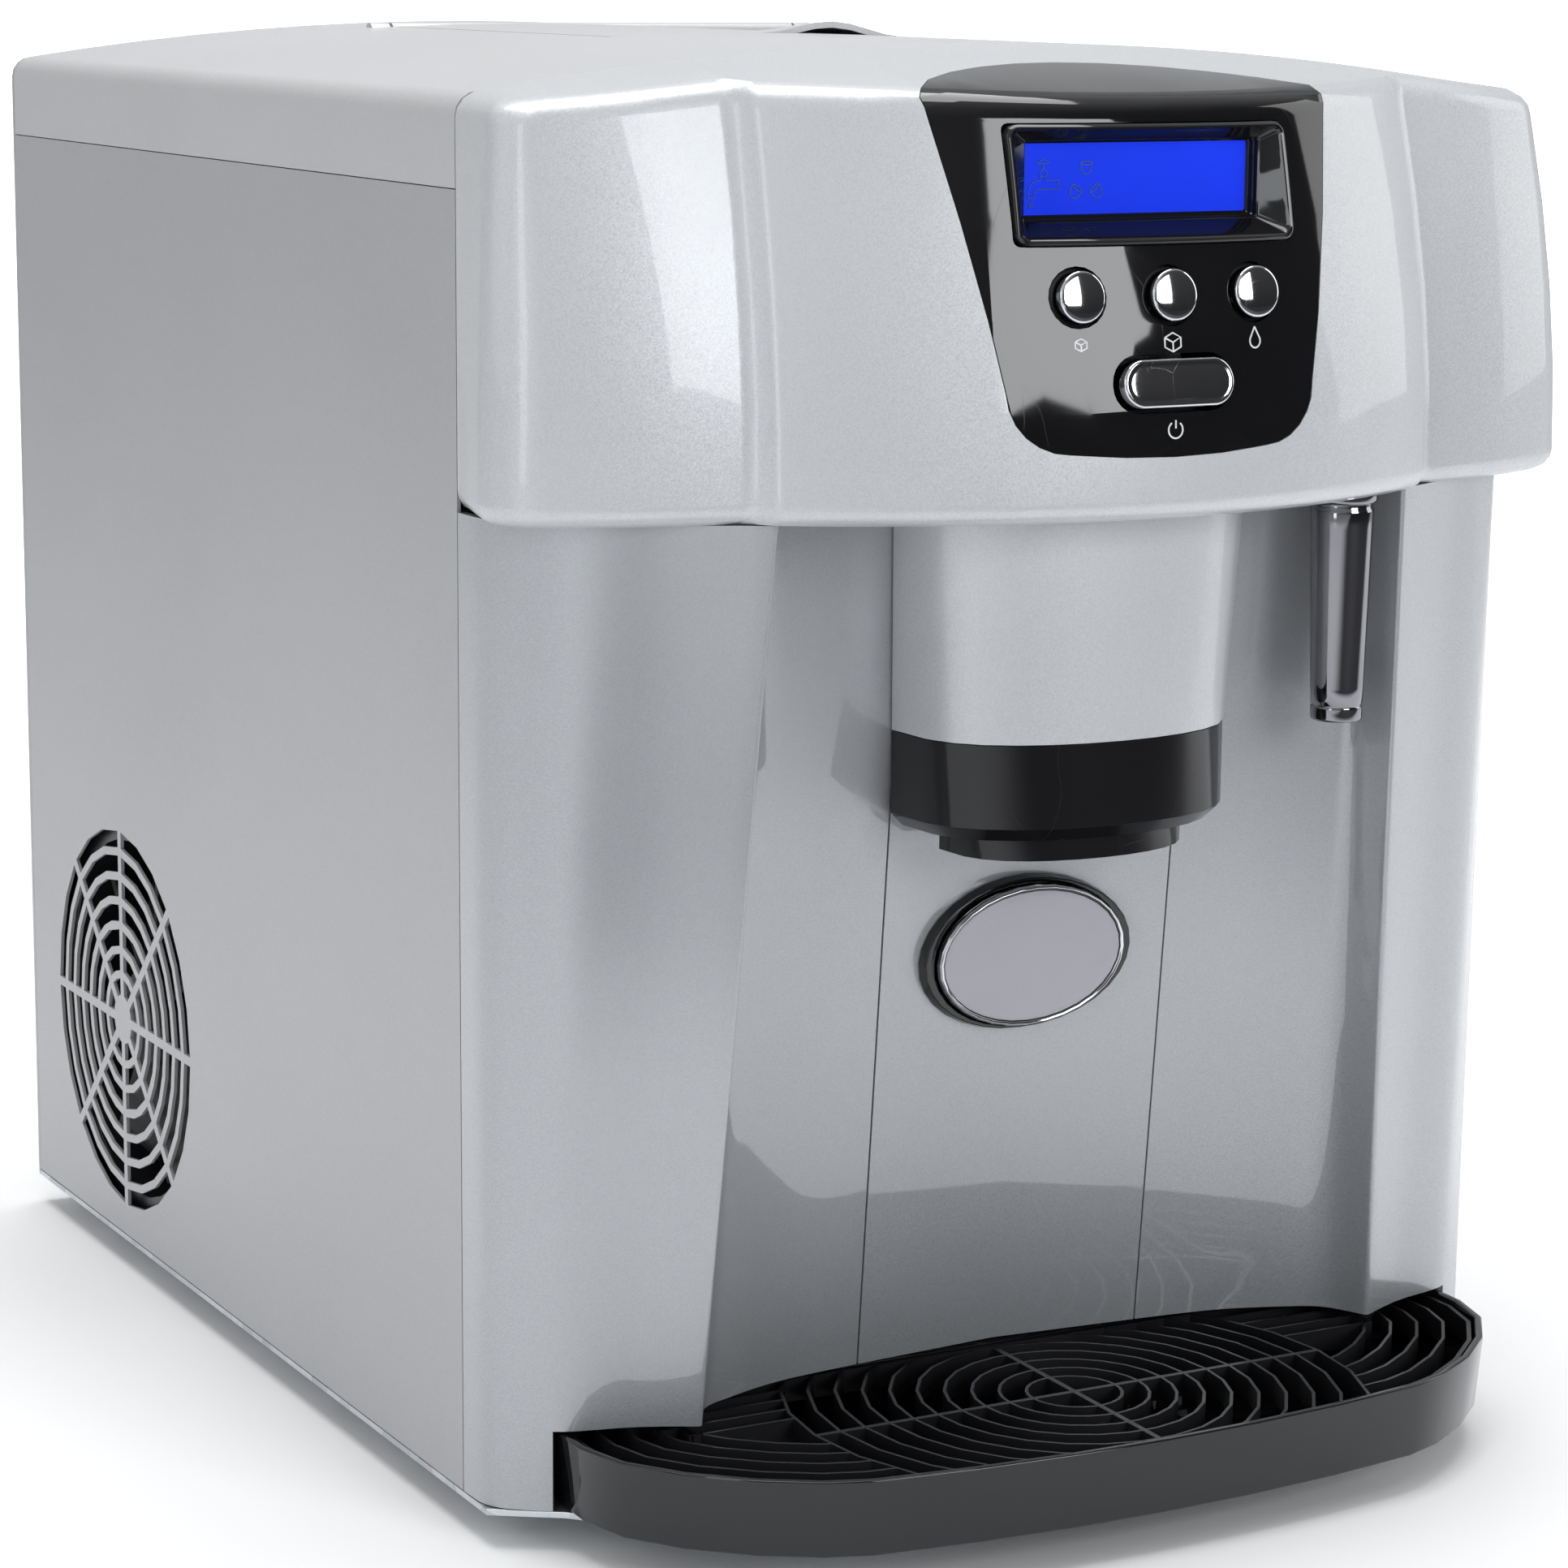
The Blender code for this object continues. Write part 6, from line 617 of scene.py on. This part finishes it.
def even_shading():
    """Geometry nodes that weld a node's split facets and shade them as one surface."""
    tree = bpy.data.node_groups.new("even_shading", "GeometryNodeTree")
    link = tree.links.new
    for way in ("INPUT", "OUTPUT"):
        tree.interface.new_socket(name="Geometry", in_out=way, socket_type="NodeSocketGeometry")
    source = tree.nodes.new("NodeGroupInput")
    target = tree.nodes.new("NodeGroupOutput")
    weld = tree.nodes.new("GeometryNodeMergeByDistance")
    weld.inputs["Distance"].default_value = 0.00001
    drop = tree.nodes.new("GeometryNodeRemoveAttribute")
    drop.inputs["Name"].default_value = "custom_normal"
    whole = tree.nodes.new("GeometryNodeSetShadeSmooth")
    edges = add_node(tree, "GeometryNodeSetShadeSmooth", domain="EDGE")
    edges.inputs["Shade Smooth"].default_value = False
    angle = tree.nodes.new("GeometryNodeInputMeshEdgeAngle")
    sharp = add_node(tree, "FunctionNodeCompare", data_type="FLOAT", operation="GREATER_THAN")
    sharp.inputs["B"].default_value = CRISP_ANGLE
    link(source.outputs[0], weld.inputs["Geometry"])
    link(weld.outputs[0], drop.inputs["Geometry"])
    link(drop.outputs[0], whole.inputs["Geometry"])
    link(whole.outputs[0], edges.inputs["Geometry"])
    link(angle.outputs["Unsigned Angle"], sharp.inputs["A"])
    link(sharp.outputs[0], edges.inputs["Selection"])
    link(edges.outputs[0], target.inputs[0])
    return tree


def round_nodes():
    """Shade every CAD node smoothly and break its sharp edges."""
    shading = even_shading()
    for name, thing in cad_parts.items():
        thing.modifiers.new("shading", "NODES").node_group = shading
        edge = thing.modifiers.new("edges", "BEVEL")
        edge.width = EDGE_WIDTHS.get(name, EDGE_WIDTH)
        edge.segments = 2
        edge.limit_method = "ANGLE"
        edge.angle_limit = CRISP_ANGLE
        even = thing.modifiers.new("even", "WEIGHTED_NORMAL")
        even.weight = 60
        even.keep_sharp = False


def make_skins():
    """Make every material and give them by the skins' names."""
    return {
        "gloss": metal_paint(
            "silver_gloss_paint", (0.44, 0.45, 0.468), (0.58, 0.59, 0.61), roughness=0.40, metallic=0.22,
            coat=0.50, coat_roughness=0.04, coat_ior=1.5, lean=0.14, peel=0.04),
        "satin": metal_paint(
            "silver_satin_paint", (0.295, 0.307, 0.324), (0.40, 0.413, 0.433), roughness=0.42, metallic=0.30,
            coat=1.0, coat_roughness=0.035, coat_ior=1.8, lean=0.14, peel=0.03),
        "side": metal_paint(
            "side_panel_paint", (0.35, 0.35, 0.361), (0.43, 0.43, 0.441), roughness=0.45, metallic=0.30,
            coat=0.35, coat_roughness=0.16, coat_ior=1.5, lean=0.08, peel=0.05),
        "lid": metal_paint(
            "top_paint", (0.46, 0.46, 0.47), (0.54, 0.54, 0.55), roughness=0.42, metallic=0.25,
            coat=0.35, coat_roughness=0.14, coat_ior=1.5, lean=0.08, peel=0.04),
        "black": plastic(
            "black_gloss_plastic", (0.003, 0.003, 0.0035), (0.008, 0.008, 0.009), roughness=0.05,
            spread=0.02, grain_scale=300.0, bump=0.005, coat=0.25, dust_amount=0.03),
        "collar": plastic(
            "collar_plastic", (0.003, 0.003, 0.004), (0.009, 0.008, 0.010), roughness=0.14,
            spread=0.03, grain_scale=500.0, bump=0.01, dust_amount=0.03),
        "matt": plastic(
            "black_matt_plastic", (0.005, 0.005, 0.006), (0.016, 0.016, 0.018), roughness=0.34,
            spread=0.10, grain_scale=1600.0, bump=0.12, dust_amount=0.05),
        "bright": bare_metal(
            "chrome_plating", (0.62, 0.62, 0.64), (0.72, 0.72, 0.74), roughness=0.06,
            spread=0.04, grain_scale=500.0, bump=0.006),
        # Painted shade: a darker copy of the chrome plating, which paints the nozzle's shade and dark
        # reflections under the housing
        "painted_shade_chrome": bare_metal(
            "painted_shade_chrome_plating", (0.22, 0.22, 0.235), (0.32, 0.32, 0.335), roughness=0.07,
            spread=0.04, grain_scale=500.0, bump=0.006),
        "oval": plastic(
            "oval_button_finish", (0.30, 0.30, 0.33), (0.42, 0.41, 0.45), roughness=0.42,
            spread=0.08, grain_scale=2400.0, bump=0.10),
        "soft": plastic(
            "rubber_surface", (0.010, 0.010, 0.010), (0.030, 0.030, 0.030), roughness=0.80,
            spread=0.10, grain_scale=1200.0, bump=0.3),
        "tube": bare_metal(
            "copper_tube", (0.52, 0.24, 0.13), (0.80, 0.44, 0.29), roughness=0.30,
            spread=0.18, grain_scale=700.0, bump=0.05),
        "white": plastic(
            "white_moulding", (0.70, 0.72, 0.74), (0.82, 0.84, 0.86), roughness=0.38,
            spread=0.08, grain_scale=900.0, bump=0.06),
        "sign": plastic(
            "white_print", (0.70, 0.70, 0.71), (0.82, 0.82, 0.83), roughness=0.50,
            spread=0.05, grain_scale=900.0, bump=0.03),
        "figure": plastic(
            "screen_figure", (0.035, 0.105, 0.22), (0.055, 0.140, 0.28), roughness=0.45,
            spread=0.05, grain_scale=900.0, bump=0.03),
        "zinc": zinc_metal(),
        "board": circuit_material(),
        "screen": lit_display(),
    }


def dress_nodes(skins):
    """Give every CAD node its surface."""
    for skin, names in SURFACES.items():
        for name in names:
            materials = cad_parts[name].data.materials
            materials.clear()
            materials.append(skins[skin])


# Fine pieces

def seam(y):
    """Move a depth from the seam's frame to the row's frame."""
    return y + SEAM_Y


def blend_sizes(low, high, share):
    """Give the size at a share of the way between two sizes."""
    return low + (high - low) * share


def bow_y(x, z):
    """Give the depth of the upper housing's bowed face at one spot."""
    share = ((z - HOUSING_BOTTOM) / (HOUSING_TOP - HOUSING_BOTTOM)) ** 2
    centre = -blend_sizes(0.1000, 0.0800, share)
    edge = -blend_sizes(0.0696, 0.0481, share)
    half = blend_sizes(0.1060, 0.1045, share)
    sag = edge - centre
    radius = (half * half + sag * sag) / (2 * sag)
    return seam(centre + radius - math.sqrt(radius * radius - x * x))


def add_piece(name, node, mesh, skins, body, sharp=38.0):
    """Make a fine piece of a finished mesh, and let it ride on its body in place of a CAD node."""
    data = bpy.data.meshes.new(name)
    bmesh.ops.recalc_face_normals(mesh, faces=mesh.faces)
    mesh.to_mesh(data)
    mesh.free()
    for polygon in data.polygons:
        polygon.use_smooth = True
    data.set_sharp_from_angle(angle=math.radians(sharp))
    for skin in skins:
        data.materials.append(skin)
    thing = bpy.data.objects.new(name, data)
    bpy.context.scene.collection.objects.link(thing)
    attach(thing, body)
    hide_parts(node)


def lathe(mesh, profile, steps):
    """Spin a profile of radius and height about +Z and close it at the axis."""
    before = set(mesh.verts)
    line = [mesh.verts.new((radius, 0.0, height)) for radius, height in profile]
    edges = [mesh.edges.new(pair) for pair in zip(line, line[1:])]
    bmesh.ops.spin(mesh, geom=line + edges, cent=(0.0, 0.0, 0.0), axis=(0.0, 0.0, 1.0), angle=math.tau,
                   steps=steps, use_duplicate=False, use_merge=True)
    made = [v for v in mesh.verts if v not in before]
    bmesh.ops.remove_doubles(mesh, verts=made, dist=0.000001)


def button_turn():
    """Give the matrix that points +Z out of the panel, and keeps +X level."""
    return Matrix.Rotation(math.acos(BUTTON_RISE), 4, "X")


def round_button(node, x, skins, body):
    """A domed plated button with a rolled edge, in a dark sleeve that fills the hole's side."""
    mesh = bmesh.new()
    foot = -0.0026
    dome = [(0.0, 0.00300), (0.0012, 0.00298), (0.0024, 0.00292), (0.0036, 0.00282), (0.0048, 0.00268),
            (0.0058, 0.00252), (0.0064, 0.00240), (0.00685, 0.00222), (0.00712, 0.00196), (0.00722, 0.00165),
            (0.00725, 0.0012), (0.00725, foot)]
    sleeve = [(0.00790, -0.0028), (0.0083, -0.0031), (0.0083, -0.0080), (0.0, -0.0080)]
    lathe(mesh, dome + sleeve, 72)
    for face in mesh.faces:
        face.material_index = int(face.calc_center_median().z < foot)
    place = Matrix.Translation((x, bow_y(x, BUTTON_Z), BUTTON_Z))
    bmesh.ops.transform(mesh, matrix=place @ button_turn(), verts=mesh.verts)
    add_piece("fine_" + node, node, mesh, skins, body)


def stadium(mesh, half, radius, steps=72):
    """Add a flat pill shaped face in the XY plane and give its face."""
    made = bmesh.ops.create_circle(mesh, cap_ends=True, radius=radius, segments=steps)
    for vert in made["verts"]:
        if abs(vert.co.x) > 0.00001:
            vert.co.x += math.copysign(half - radius, vert.co.x)
    return made["verts"][0].link_faces[0]


def long_button(skin):
    """The long on and off button: a rolled rim round a slightly domed mirror face."""
    mesh = bmesh.new()
    face = stadium(mesh, 0.0179, 0.0067)
    depth_in_hole = 0.0053
    made = bmesh.ops.extrude_face_region(mesh, geom=[face])
    tops = [g for g in made["geom"] if isinstance(g, bmesh.types.BMFace)]
    verts = [g for g in made["geom"] if isinstance(g, bmesh.types.BMVert)]
    bmesh.ops.translate(mesh, verts=verts, vec=(0.0, 0.0, 0.0075))
    for thickness, depth in ((0.00022, 0.00034), (0.00030, 0.00022), (0.00040, 0.00008), (0.00060, -0.00018),
                             (0.0008, 0.00006), (0.0012, 0.00006), (0.0014, 0.00003)):
        bmesh.ops.inset_region(mesh, faces=tops, thickness=thickness, depth=depth, use_even_offset=True)
    lift = Matrix.Translation((0.0, bow_y(0.0, SWITCH_Z), SWITCH_Z))
    sink = Matrix.Translation((0.0, 0.0, -depth_in_hole))
    bmesh.ops.transform(mesh, matrix=lift @ button_turn() @ sink, verts=mesh.verts)
    add_piece("fine_button_on_off", "button_on_off", mesh, [skin], "on_off_button", 60.0)


def rounded_ring(mesh, half, low, high, radius, depth):
    """Add a closed ring of edges round a rectangle with round corners; depth gives each point's y."""
    corner = 6
    points = []
    middles = ((half - radius, high - radius), (radius - half, high - radius),
               (radius - half, low + radius), (half - radius, low + radius))
    counts = (14, 5, 14, 5)
    for quarter, (cx, cz) in enumerate(middles):
        for i in range(corner + 1):
            a = math.radians(90.0 * (quarter + i / corner))
            points.append((cx + radius * math.cos(a), cz + radius * math.sin(a)))
        nx, nz = middles[(quarter + 1) % 4]
        a = math.radians(90.0 * (quarter + 1))
        ahead = (nx + radius * math.cos(a), nz + radius * math.sin(a))
        last = points[-1]
        for i in range(1, counts[quarter]):
            share = i / counts[quarter]
            points.append((blend_sizes(last[0], ahead[0], share), blend_sizes(last[1], ahead[1], share)))
    verts = [mesh.verts.new((x, depth(x, z), z)) for x, z in points]
    return [mesh.edges.new(pair) for pair in zip(verts, verts[1:] + verts[:1])]


def display_bezel(skin):
    """The display's frame: a proud rolled rim, sloping walls and two fine steps down to the glass."""
    mesh = bmesh.new()
    low, high, half = 0.3735, 0.4060, 0.0452
    # Each ring's inset at the sides, the bottom and the top, its corner radius and its rise over the housing
    rim = ((0.0, 0.0, 0.0, 0.0036, 0.0002), (0.00025, 0.00025, 0.00025, 0.0034, 0.0007),
           (0.0008, 0.0008, 0.0008, 0.0030, 0.0010), (0.0014, 0.0014, 0.0013, 0.0026, 0.0008),
           (0.0018, 0.0019, 0.0016, 0.0024, 0.0002), (0.0024, 0.0024, 0.0020, 0.0020, -0.0006))
    # The same for the steps inside the walls, with each ring's rise over the glass
    steps = ((0.0065, 0.0056, 0.0042, 0.0012, 0.0052), (0.0067, 0.0059, 0.0044, 0.0010, 0.0050),
             (0.0071, 0.0062, 0.0047, 0.0009, 0.0046), (0.0072, 0.0063, 0.0048, 0.0009, 0.0030),
             (0.0076, 0.0067, 0.0050, 0.0008, 0.0028), (0.0077, 0.0068, 0.0051, 0.0008, 0.0012),
             (0.0080, 0.0073, 0.0054, 0.0006, 0.0010), (0.0082, 0.0075, 0.0055, 0.0005, 0.0001))

    def over_housing(rise):
        return lambda x, z: bow_y(x, z) - rise

    def over_glass(rise):
        return lambda x, z: DISPLAY_FRONT - rise

    levels = [(half, low, high, 0.0036, over_glass(-0.0018))]
    for rows, surface in ((rim, over_housing), (steps, over_glass)):
        for side, bottom, top, radius, rise in rows:
            levels.append((half - side, low + bottom, high - top, radius, surface(rise)))
    rings = [rounded_ring(mesh, *level) for level in levels]
    for outer, inner in zip(rings, rings[1:]):
        bmesh.ops.bridge_loops(mesh, edges=outer + inner)
    add_piece("fine_display_frame", "display_frame", mesh, [skin], "cabinet", 35.0)


def stroke(name, paths, width, skin):
    """Draw thin round strokes through lists of points, as one mesh on the cabinet."""
    curve = bpy.data.curves.new(name, "CURVE")
    curve.dimensions = "3D"
    curve.bevel_depth = width
    curve.bevel_resolution = 2
    for points in paths:
        line = curve.splines.new("POLY")
        line.points.add(len(points) - 1)
        for spot, point in zip(line.points, points):
            spot.co = (*point, 1.0)
    holder = bpy.data.objects.new(name + "_line", curve)
    bpy.context.scene.collection.objects.link(holder)
    bpy.context.view_layer.update()
    made = bpy.data.meshes.new_from_object(holder.evaluated_get(bpy.context.evaluated_depsgraph_get()))
    bpy.data.objects.remove(holder)
    made.name = name
    made.materials.clear()
    made.materials.append(skin)
    thing = bpy.data.objects.new(name, made)
    bpy.context.scene.collection.objects.link(thing)
    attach(thing, "cabinet")


def arc(cx, cz, radius, start, end, steps=18, squeeze=1.0):
    """Give points round part of a circle, in X and Z."""
    points = []
    for i in range(steps + 1):
        a = math.radians(blend_sizes(start, end, i / steps))
        points.append((cx + radius * squeeze * math.cos(a), cz + radius * math.sin(a)))
    return points


def display_marks(skin):
    """Faint figures on the screen: a tap with a drop, and three hollow ice cubes."""
    y = DISPLAY_FRONT - FIGURE_LIFT
    tap = [
        [(-0.0341, 0.3856), (-0.0341, 0.3880), (-0.0330, 0.3898), (-0.0312, 0.3904), (-0.0302, 0.3904),
         (-0.0302, 0.3915), (-0.0285, 0.3915), (-0.0285, 0.3904), (-0.0243, 0.3904)],
        [(-0.0322, 0.3856), (-0.0322, 0.3870), (-0.0312, 0.3880), (-0.0243, 0.3880), (-0.0243, 0.3904)],
        [(-0.0341, 0.3856), (-0.0322, 0.3856)],
        [(-0.0302, 0.3915), (-0.0306, 0.3924), (-0.0298, 0.3934), (-0.0289, 0.3934), (-0.0281, 0.3924),
         (-0.0285, 0.3915)],
        [(-0.0294, 0.3934), (-0.0294, 0.3948)],
        [(-0.0316, 0.3950), (-0.0294, 0.3962), (-0.0271, 0.3950), (-0.0316, 0.3950)],
        arc(-0.0332, 0.3836, 0.0005, 0, 360, 12) + [(-0.0332, 0.3848), (-0.0337, 0.3837)],
    ]
    cubes = []
    for cx, cz, lean in ((-0.0155, 0.3938, 0.0), (-0.0190, 0.3872, -35.0), (-0.0120, 0.3872, 40.0)):
        cup = arc(0.0, 0.0012, 0.0005, 0, 360, 16, 3.6)
        side = [(-0.0018, 0.0012), (-0.0016, -0.0006), (-0.0008, -0.0018), (0.0008, -0.0018),
                (0.0016, -0.0006), (0.0018, 0.0012)]
        turn = math.radians(lean)
        for line in (cup, side):
            cubes.append([(cx + px * math.cos(turn) - pz * math.sin(turn),
                           cz + px * math.sin(turn) + pz * math.cos(turn)) for px, pz in line])
    paths = [[(px, y, pz) for px, pz in line] for line in tap + cubes]
    stroke("screen_figures", paths, 0.00015, skin)


def panel_symbols(skin):
    """White printed signs on the panel: a small cube, a large cube, a drop and a power sign."""
    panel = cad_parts["control_panel"]
    mesh = bmesh.new()
    mesh.from_mesh(panel.data)
    tree = BVHTree.FromBMesh(mesh)
    mesh.free()

    def cube(cx, cz, size):
        rise = size * 0.5
        top = [(cx - size, cz + rise), (cx, cz + rise * 2), (cx + size, cz + rise), (cx, cz),
               (cx - size, cz + rise)]
        wall = [(cx - size, cz + rise), (cx - size, cz - rise), (cx, cz - rise * 2), (cx + size, cz - rise),
                (cx + size, cz + rise)]
        return [top, wall, [(cx, cz), (cx, cz - rise * 2)]]

    signs = cube(-BUTTON_PITCH, SIGN_Z, 0.0017) + cube(0.0, SIGN_Z, 0.0026)
    drop = [(BUTTON_PITCH, SIGN_Z + 0.0032)] + arc(BUTTON_PITCH, SIGN_Z - 0.0007, 0.0019, 35, -215, 20)
    signs.append(drop + [(BUTTON_PITCH, SIGN_Z + 0.0032)])
    signs.append(arc(0.0, POWER_Z, 0.0023, 125, 415, 26))
    signs.append([(0.0, POWER_Z + 0.0004), (0.0, POWER_Z + 0.0027)])
    paths = []
    for line in signs:
        path = []
        for x, z in line:
            hit = tree.ray_cast(Vector((x, -0.4, z)), Vector((0.0, 1.0, 0.0)))
            path.append((x, hit[0].y - PRINT_LIFT, z))
        paths.append(path)
    stroke("panel_signs", paths, 0.00025, skin)


def nozzle(skin):
    """The water nozzle turned from its rim at the housing down to a stepped tip with a bore."""
    mesh = bmesh.new()
    top = HOUSING_BOTTOM - FIT
    low = HOUSING_BOTTOM - NOZZLE_LENGTH
    profile = [(0.0063, top + 0.0055), (0.0063, top), (0.0098, top), (0.0104, top - 0.0004),
               (0.0105, top - 0.0010), (0.0105, top - 0.0028), (0.0102, top - 0.0035),
               (0.0096, top - 0.0038), (0.0090, top - 0.0040), (0.0089, top - 0.0050),
               (0.0093, top - 0.0056), (0.0094, top - 0.0064)]
    steps = 12
    for i in range(1, steps + 1):
        share = i / steps
        height = blend_sizes(top - 0.0064, low + 0.0052, share)
        profile.append((blend_sizes(0.0094, 0.00782, share), height))
    profile += [(0.00755, low + 0.0049), (0.00750, low + 0.0045), (0.00772, low + 0.0042),
                (0.00775, low + 0.0038), (0.00775, low + 0.0008), (0.0076, low + 0.0003), (0.0072, low),
                (0.0050, low), (0.0045, low + 0.0004), (0.0045, top + 0.0050), (0.0063, top + 0.0055)]
    lathe(mesh, profile, 96)
    bmesh.ops.translate(mesh, verts=mesh.verts, vec=(NOZZLE_X, seam(NOZZLE_DEPTH), 0.0))
    add_piece("fine_water_nozzle", "water_nozzle", mesh, [skin], "cabinet", 42.0)


def spline(points, steps):
    """Run a smooth line through points, with evenly many steps between each pair."""
    line = []
    padded = [points[0]] + list(points) + [points[-1]]
    for i in range(1, len(padded) - 2):
        a, b, c, d = (Vector(p) for p in padded[i - 1:i + 3])
        for j in range(steps):
            t = j / steps
            line.append(0.5 * (2 * b + (c - a) * t + (2 * a - 5 * b + 4 * c - d) * t * t
                               + (3 * b - a - 3 * c + d) * t ** 3))
    line.append(Vector(points[-1]))
    return line


def rounded_turn(before, corner, after, steps):
    """Give the points of a round corner between two spots."""
    line = []
    for i in range(steps + 1):
        t = i / steps
        line.append((1 - t) ** 2 * before + 2 * t * (1 - t) * corner + t * t * after)
    return line


def front_plan(z):
    """Give the right half of the lower front's plan at one height, with round corners."""
    share = (max(z, SLOT_TOP) - SLOT_TOP) / (HOUSING_BOTTOM - SLOT_TOP)

    def at(low, high):
        return blend_sizes(low, high, share)

    half = 0.0487
    side = 0.172
    crease = at(0.1160, 0.1040)
    niche = [(0.0, -at(0.0090, 0.0345) + 0.0023), (half + 0.0003, -at(0.0130, 0.0372) + 0.0023)]
    cove = [(half + 0.0006, -at(0.0130, 0.0372))]
    for low, high, depth_low, depth_high in COVE:
        cove.append((blend_sizes(half, crease, at(low, high)), -at(depth_low, depth_high)))
    ridge = Vector((crease, -at(0.0425, 0.0632)))
    cove.append(tuple(ridge))
    pillar = [tuple(ridge)]
    for low, high, depth_low, depth_high in PILLAR:
        pillar.append((blend_sizes(crease, side, at(low, high)), -at(depth_low, depth_high)))
    corner = Vector((side - 0.0002, -at(0.0165, 0.0180)))
    last = Vector(pillar[-1])
    before = corner + (last - corner).normalized() * 0.0085
    pillar.append(tuple(before))
    after = corner + Vector((0.0, 0.0085))
    inner = spline(cove, 6)
    outer = spline(pillar, 6)
    ridge_in = ridge + (inner[-3] - ridge).normalized() * 0.0016
    ridge_out = ridge + (outer[2] - ridge).normalized() * 0.0016
    line = [Vector(p) for p in niche] + inner[:-2] + rounded_turn(ridge_in, ridge, ridge_out, 4)
    line += outer[2:] + rounded_turn(before, corner, after, 6)[1:]
    line.append(Vector((side, -0.0003)))
    return line


def lower_front(skin):
    """The lower front as one moulded shell: coves, creased pillars, round corners and the tray's slot."""
    top = HOUSING_BOTTOM - FIT
    heights = [FRONT_BOTTOM, SLOT_TOP - 0.010] + [blend_sizes(SLOT_TOP, top, i / 22) for i in range(23)]
    width = len(front_plan(top)) * 2 - 1
    mesh = bmesh.new()
    bmesh.ops.create_grid(mesh, x_segments=width - 1, y_segments=len(heights) - 1, size=0.5)
    for vert in mesh.verts:
        column = round((vert.co.x + 0.5) * (width - 1)) - (width - 1) // 2
        z = heights[round((vert.co.y + 0.5) * (len(heights) - 1))]
        spot = front_plan(z)[abs(column)]
        vert.co = (math.copysign(spot.x, column), seam(spot.y), z)
    for x in (-LEG_X, LEG_X):
        geom = list(mesh.verts) + list(mesh.edges) + list(mesh.faces)
        bmesh.ops.bisect_plane(mesh, geom=geom, plane_co=(x, 0.0, 0.0), plane_no=(1.0, 0.0, 0.0))
    gone = []
    for face in mesh.faces:
        middle = face.calc_center_median()
        slot = abs(middle.x) < LEG_X and middle.z < SLOT_TOP
        hole = any(math.hypot(v.co.x / PUSH_HALF_WIDTH, (v.co.z - DISPENSE_Z) / PUSH_HALF_HEIGHT) < 1.0
                   for v in face.verts)
        if slot or hole:
            gone.append(face)
    bmesh.ops.delete(mesh, geom=gone, context="FACES")
    bmesh.ops.recalc_face_normals(mesh, faces=mesh.faces)
    front = max(mesh.faces, key=lambda face: -face.calc_center_median().y)
    if front.normal.y > 0:
        bmesh.ops.reverse_faces(mesh, faces=mesh.faces)
    bmesh.ops.solidify(mesh, geom=list(mesh.faces), thickness=FRONT_WALL)
    add_piece("fine_lower_front", "lower_front_panel", mesh, [skin], "cabinet", 50.0)


def add_fine_pieces(skins):
    """Build the pieces that need more detail than the CAD carries."""
    lower_front(skins["satin"])
    display_bezel(skins["black"])
    display_marks(skins["figure"])
    for i, size in enumerate(("small", "large", "water")):
        x = (i - 1) * BUTTON_PITCH
        round_button("button_" + size, x, [skins["bright"], skins["matt"]], size + "_button")
    long_button(skins["bright"])
    panel_symbols(skins["sign"])
    # The nozzle wears the darker chrome copy, which paints its shade and dark reflections
    nozzle(skins["painted_shade_chrome"])


make_camera()
make_light()
make_world()
make_floor()
SKINS = make_skins()
dress_nodes(SKINS)
round_nodes()
add_fine_pieces(SKINS)

scene = bpy.context.scene
scene.view_settings.view_transform = "Standard"
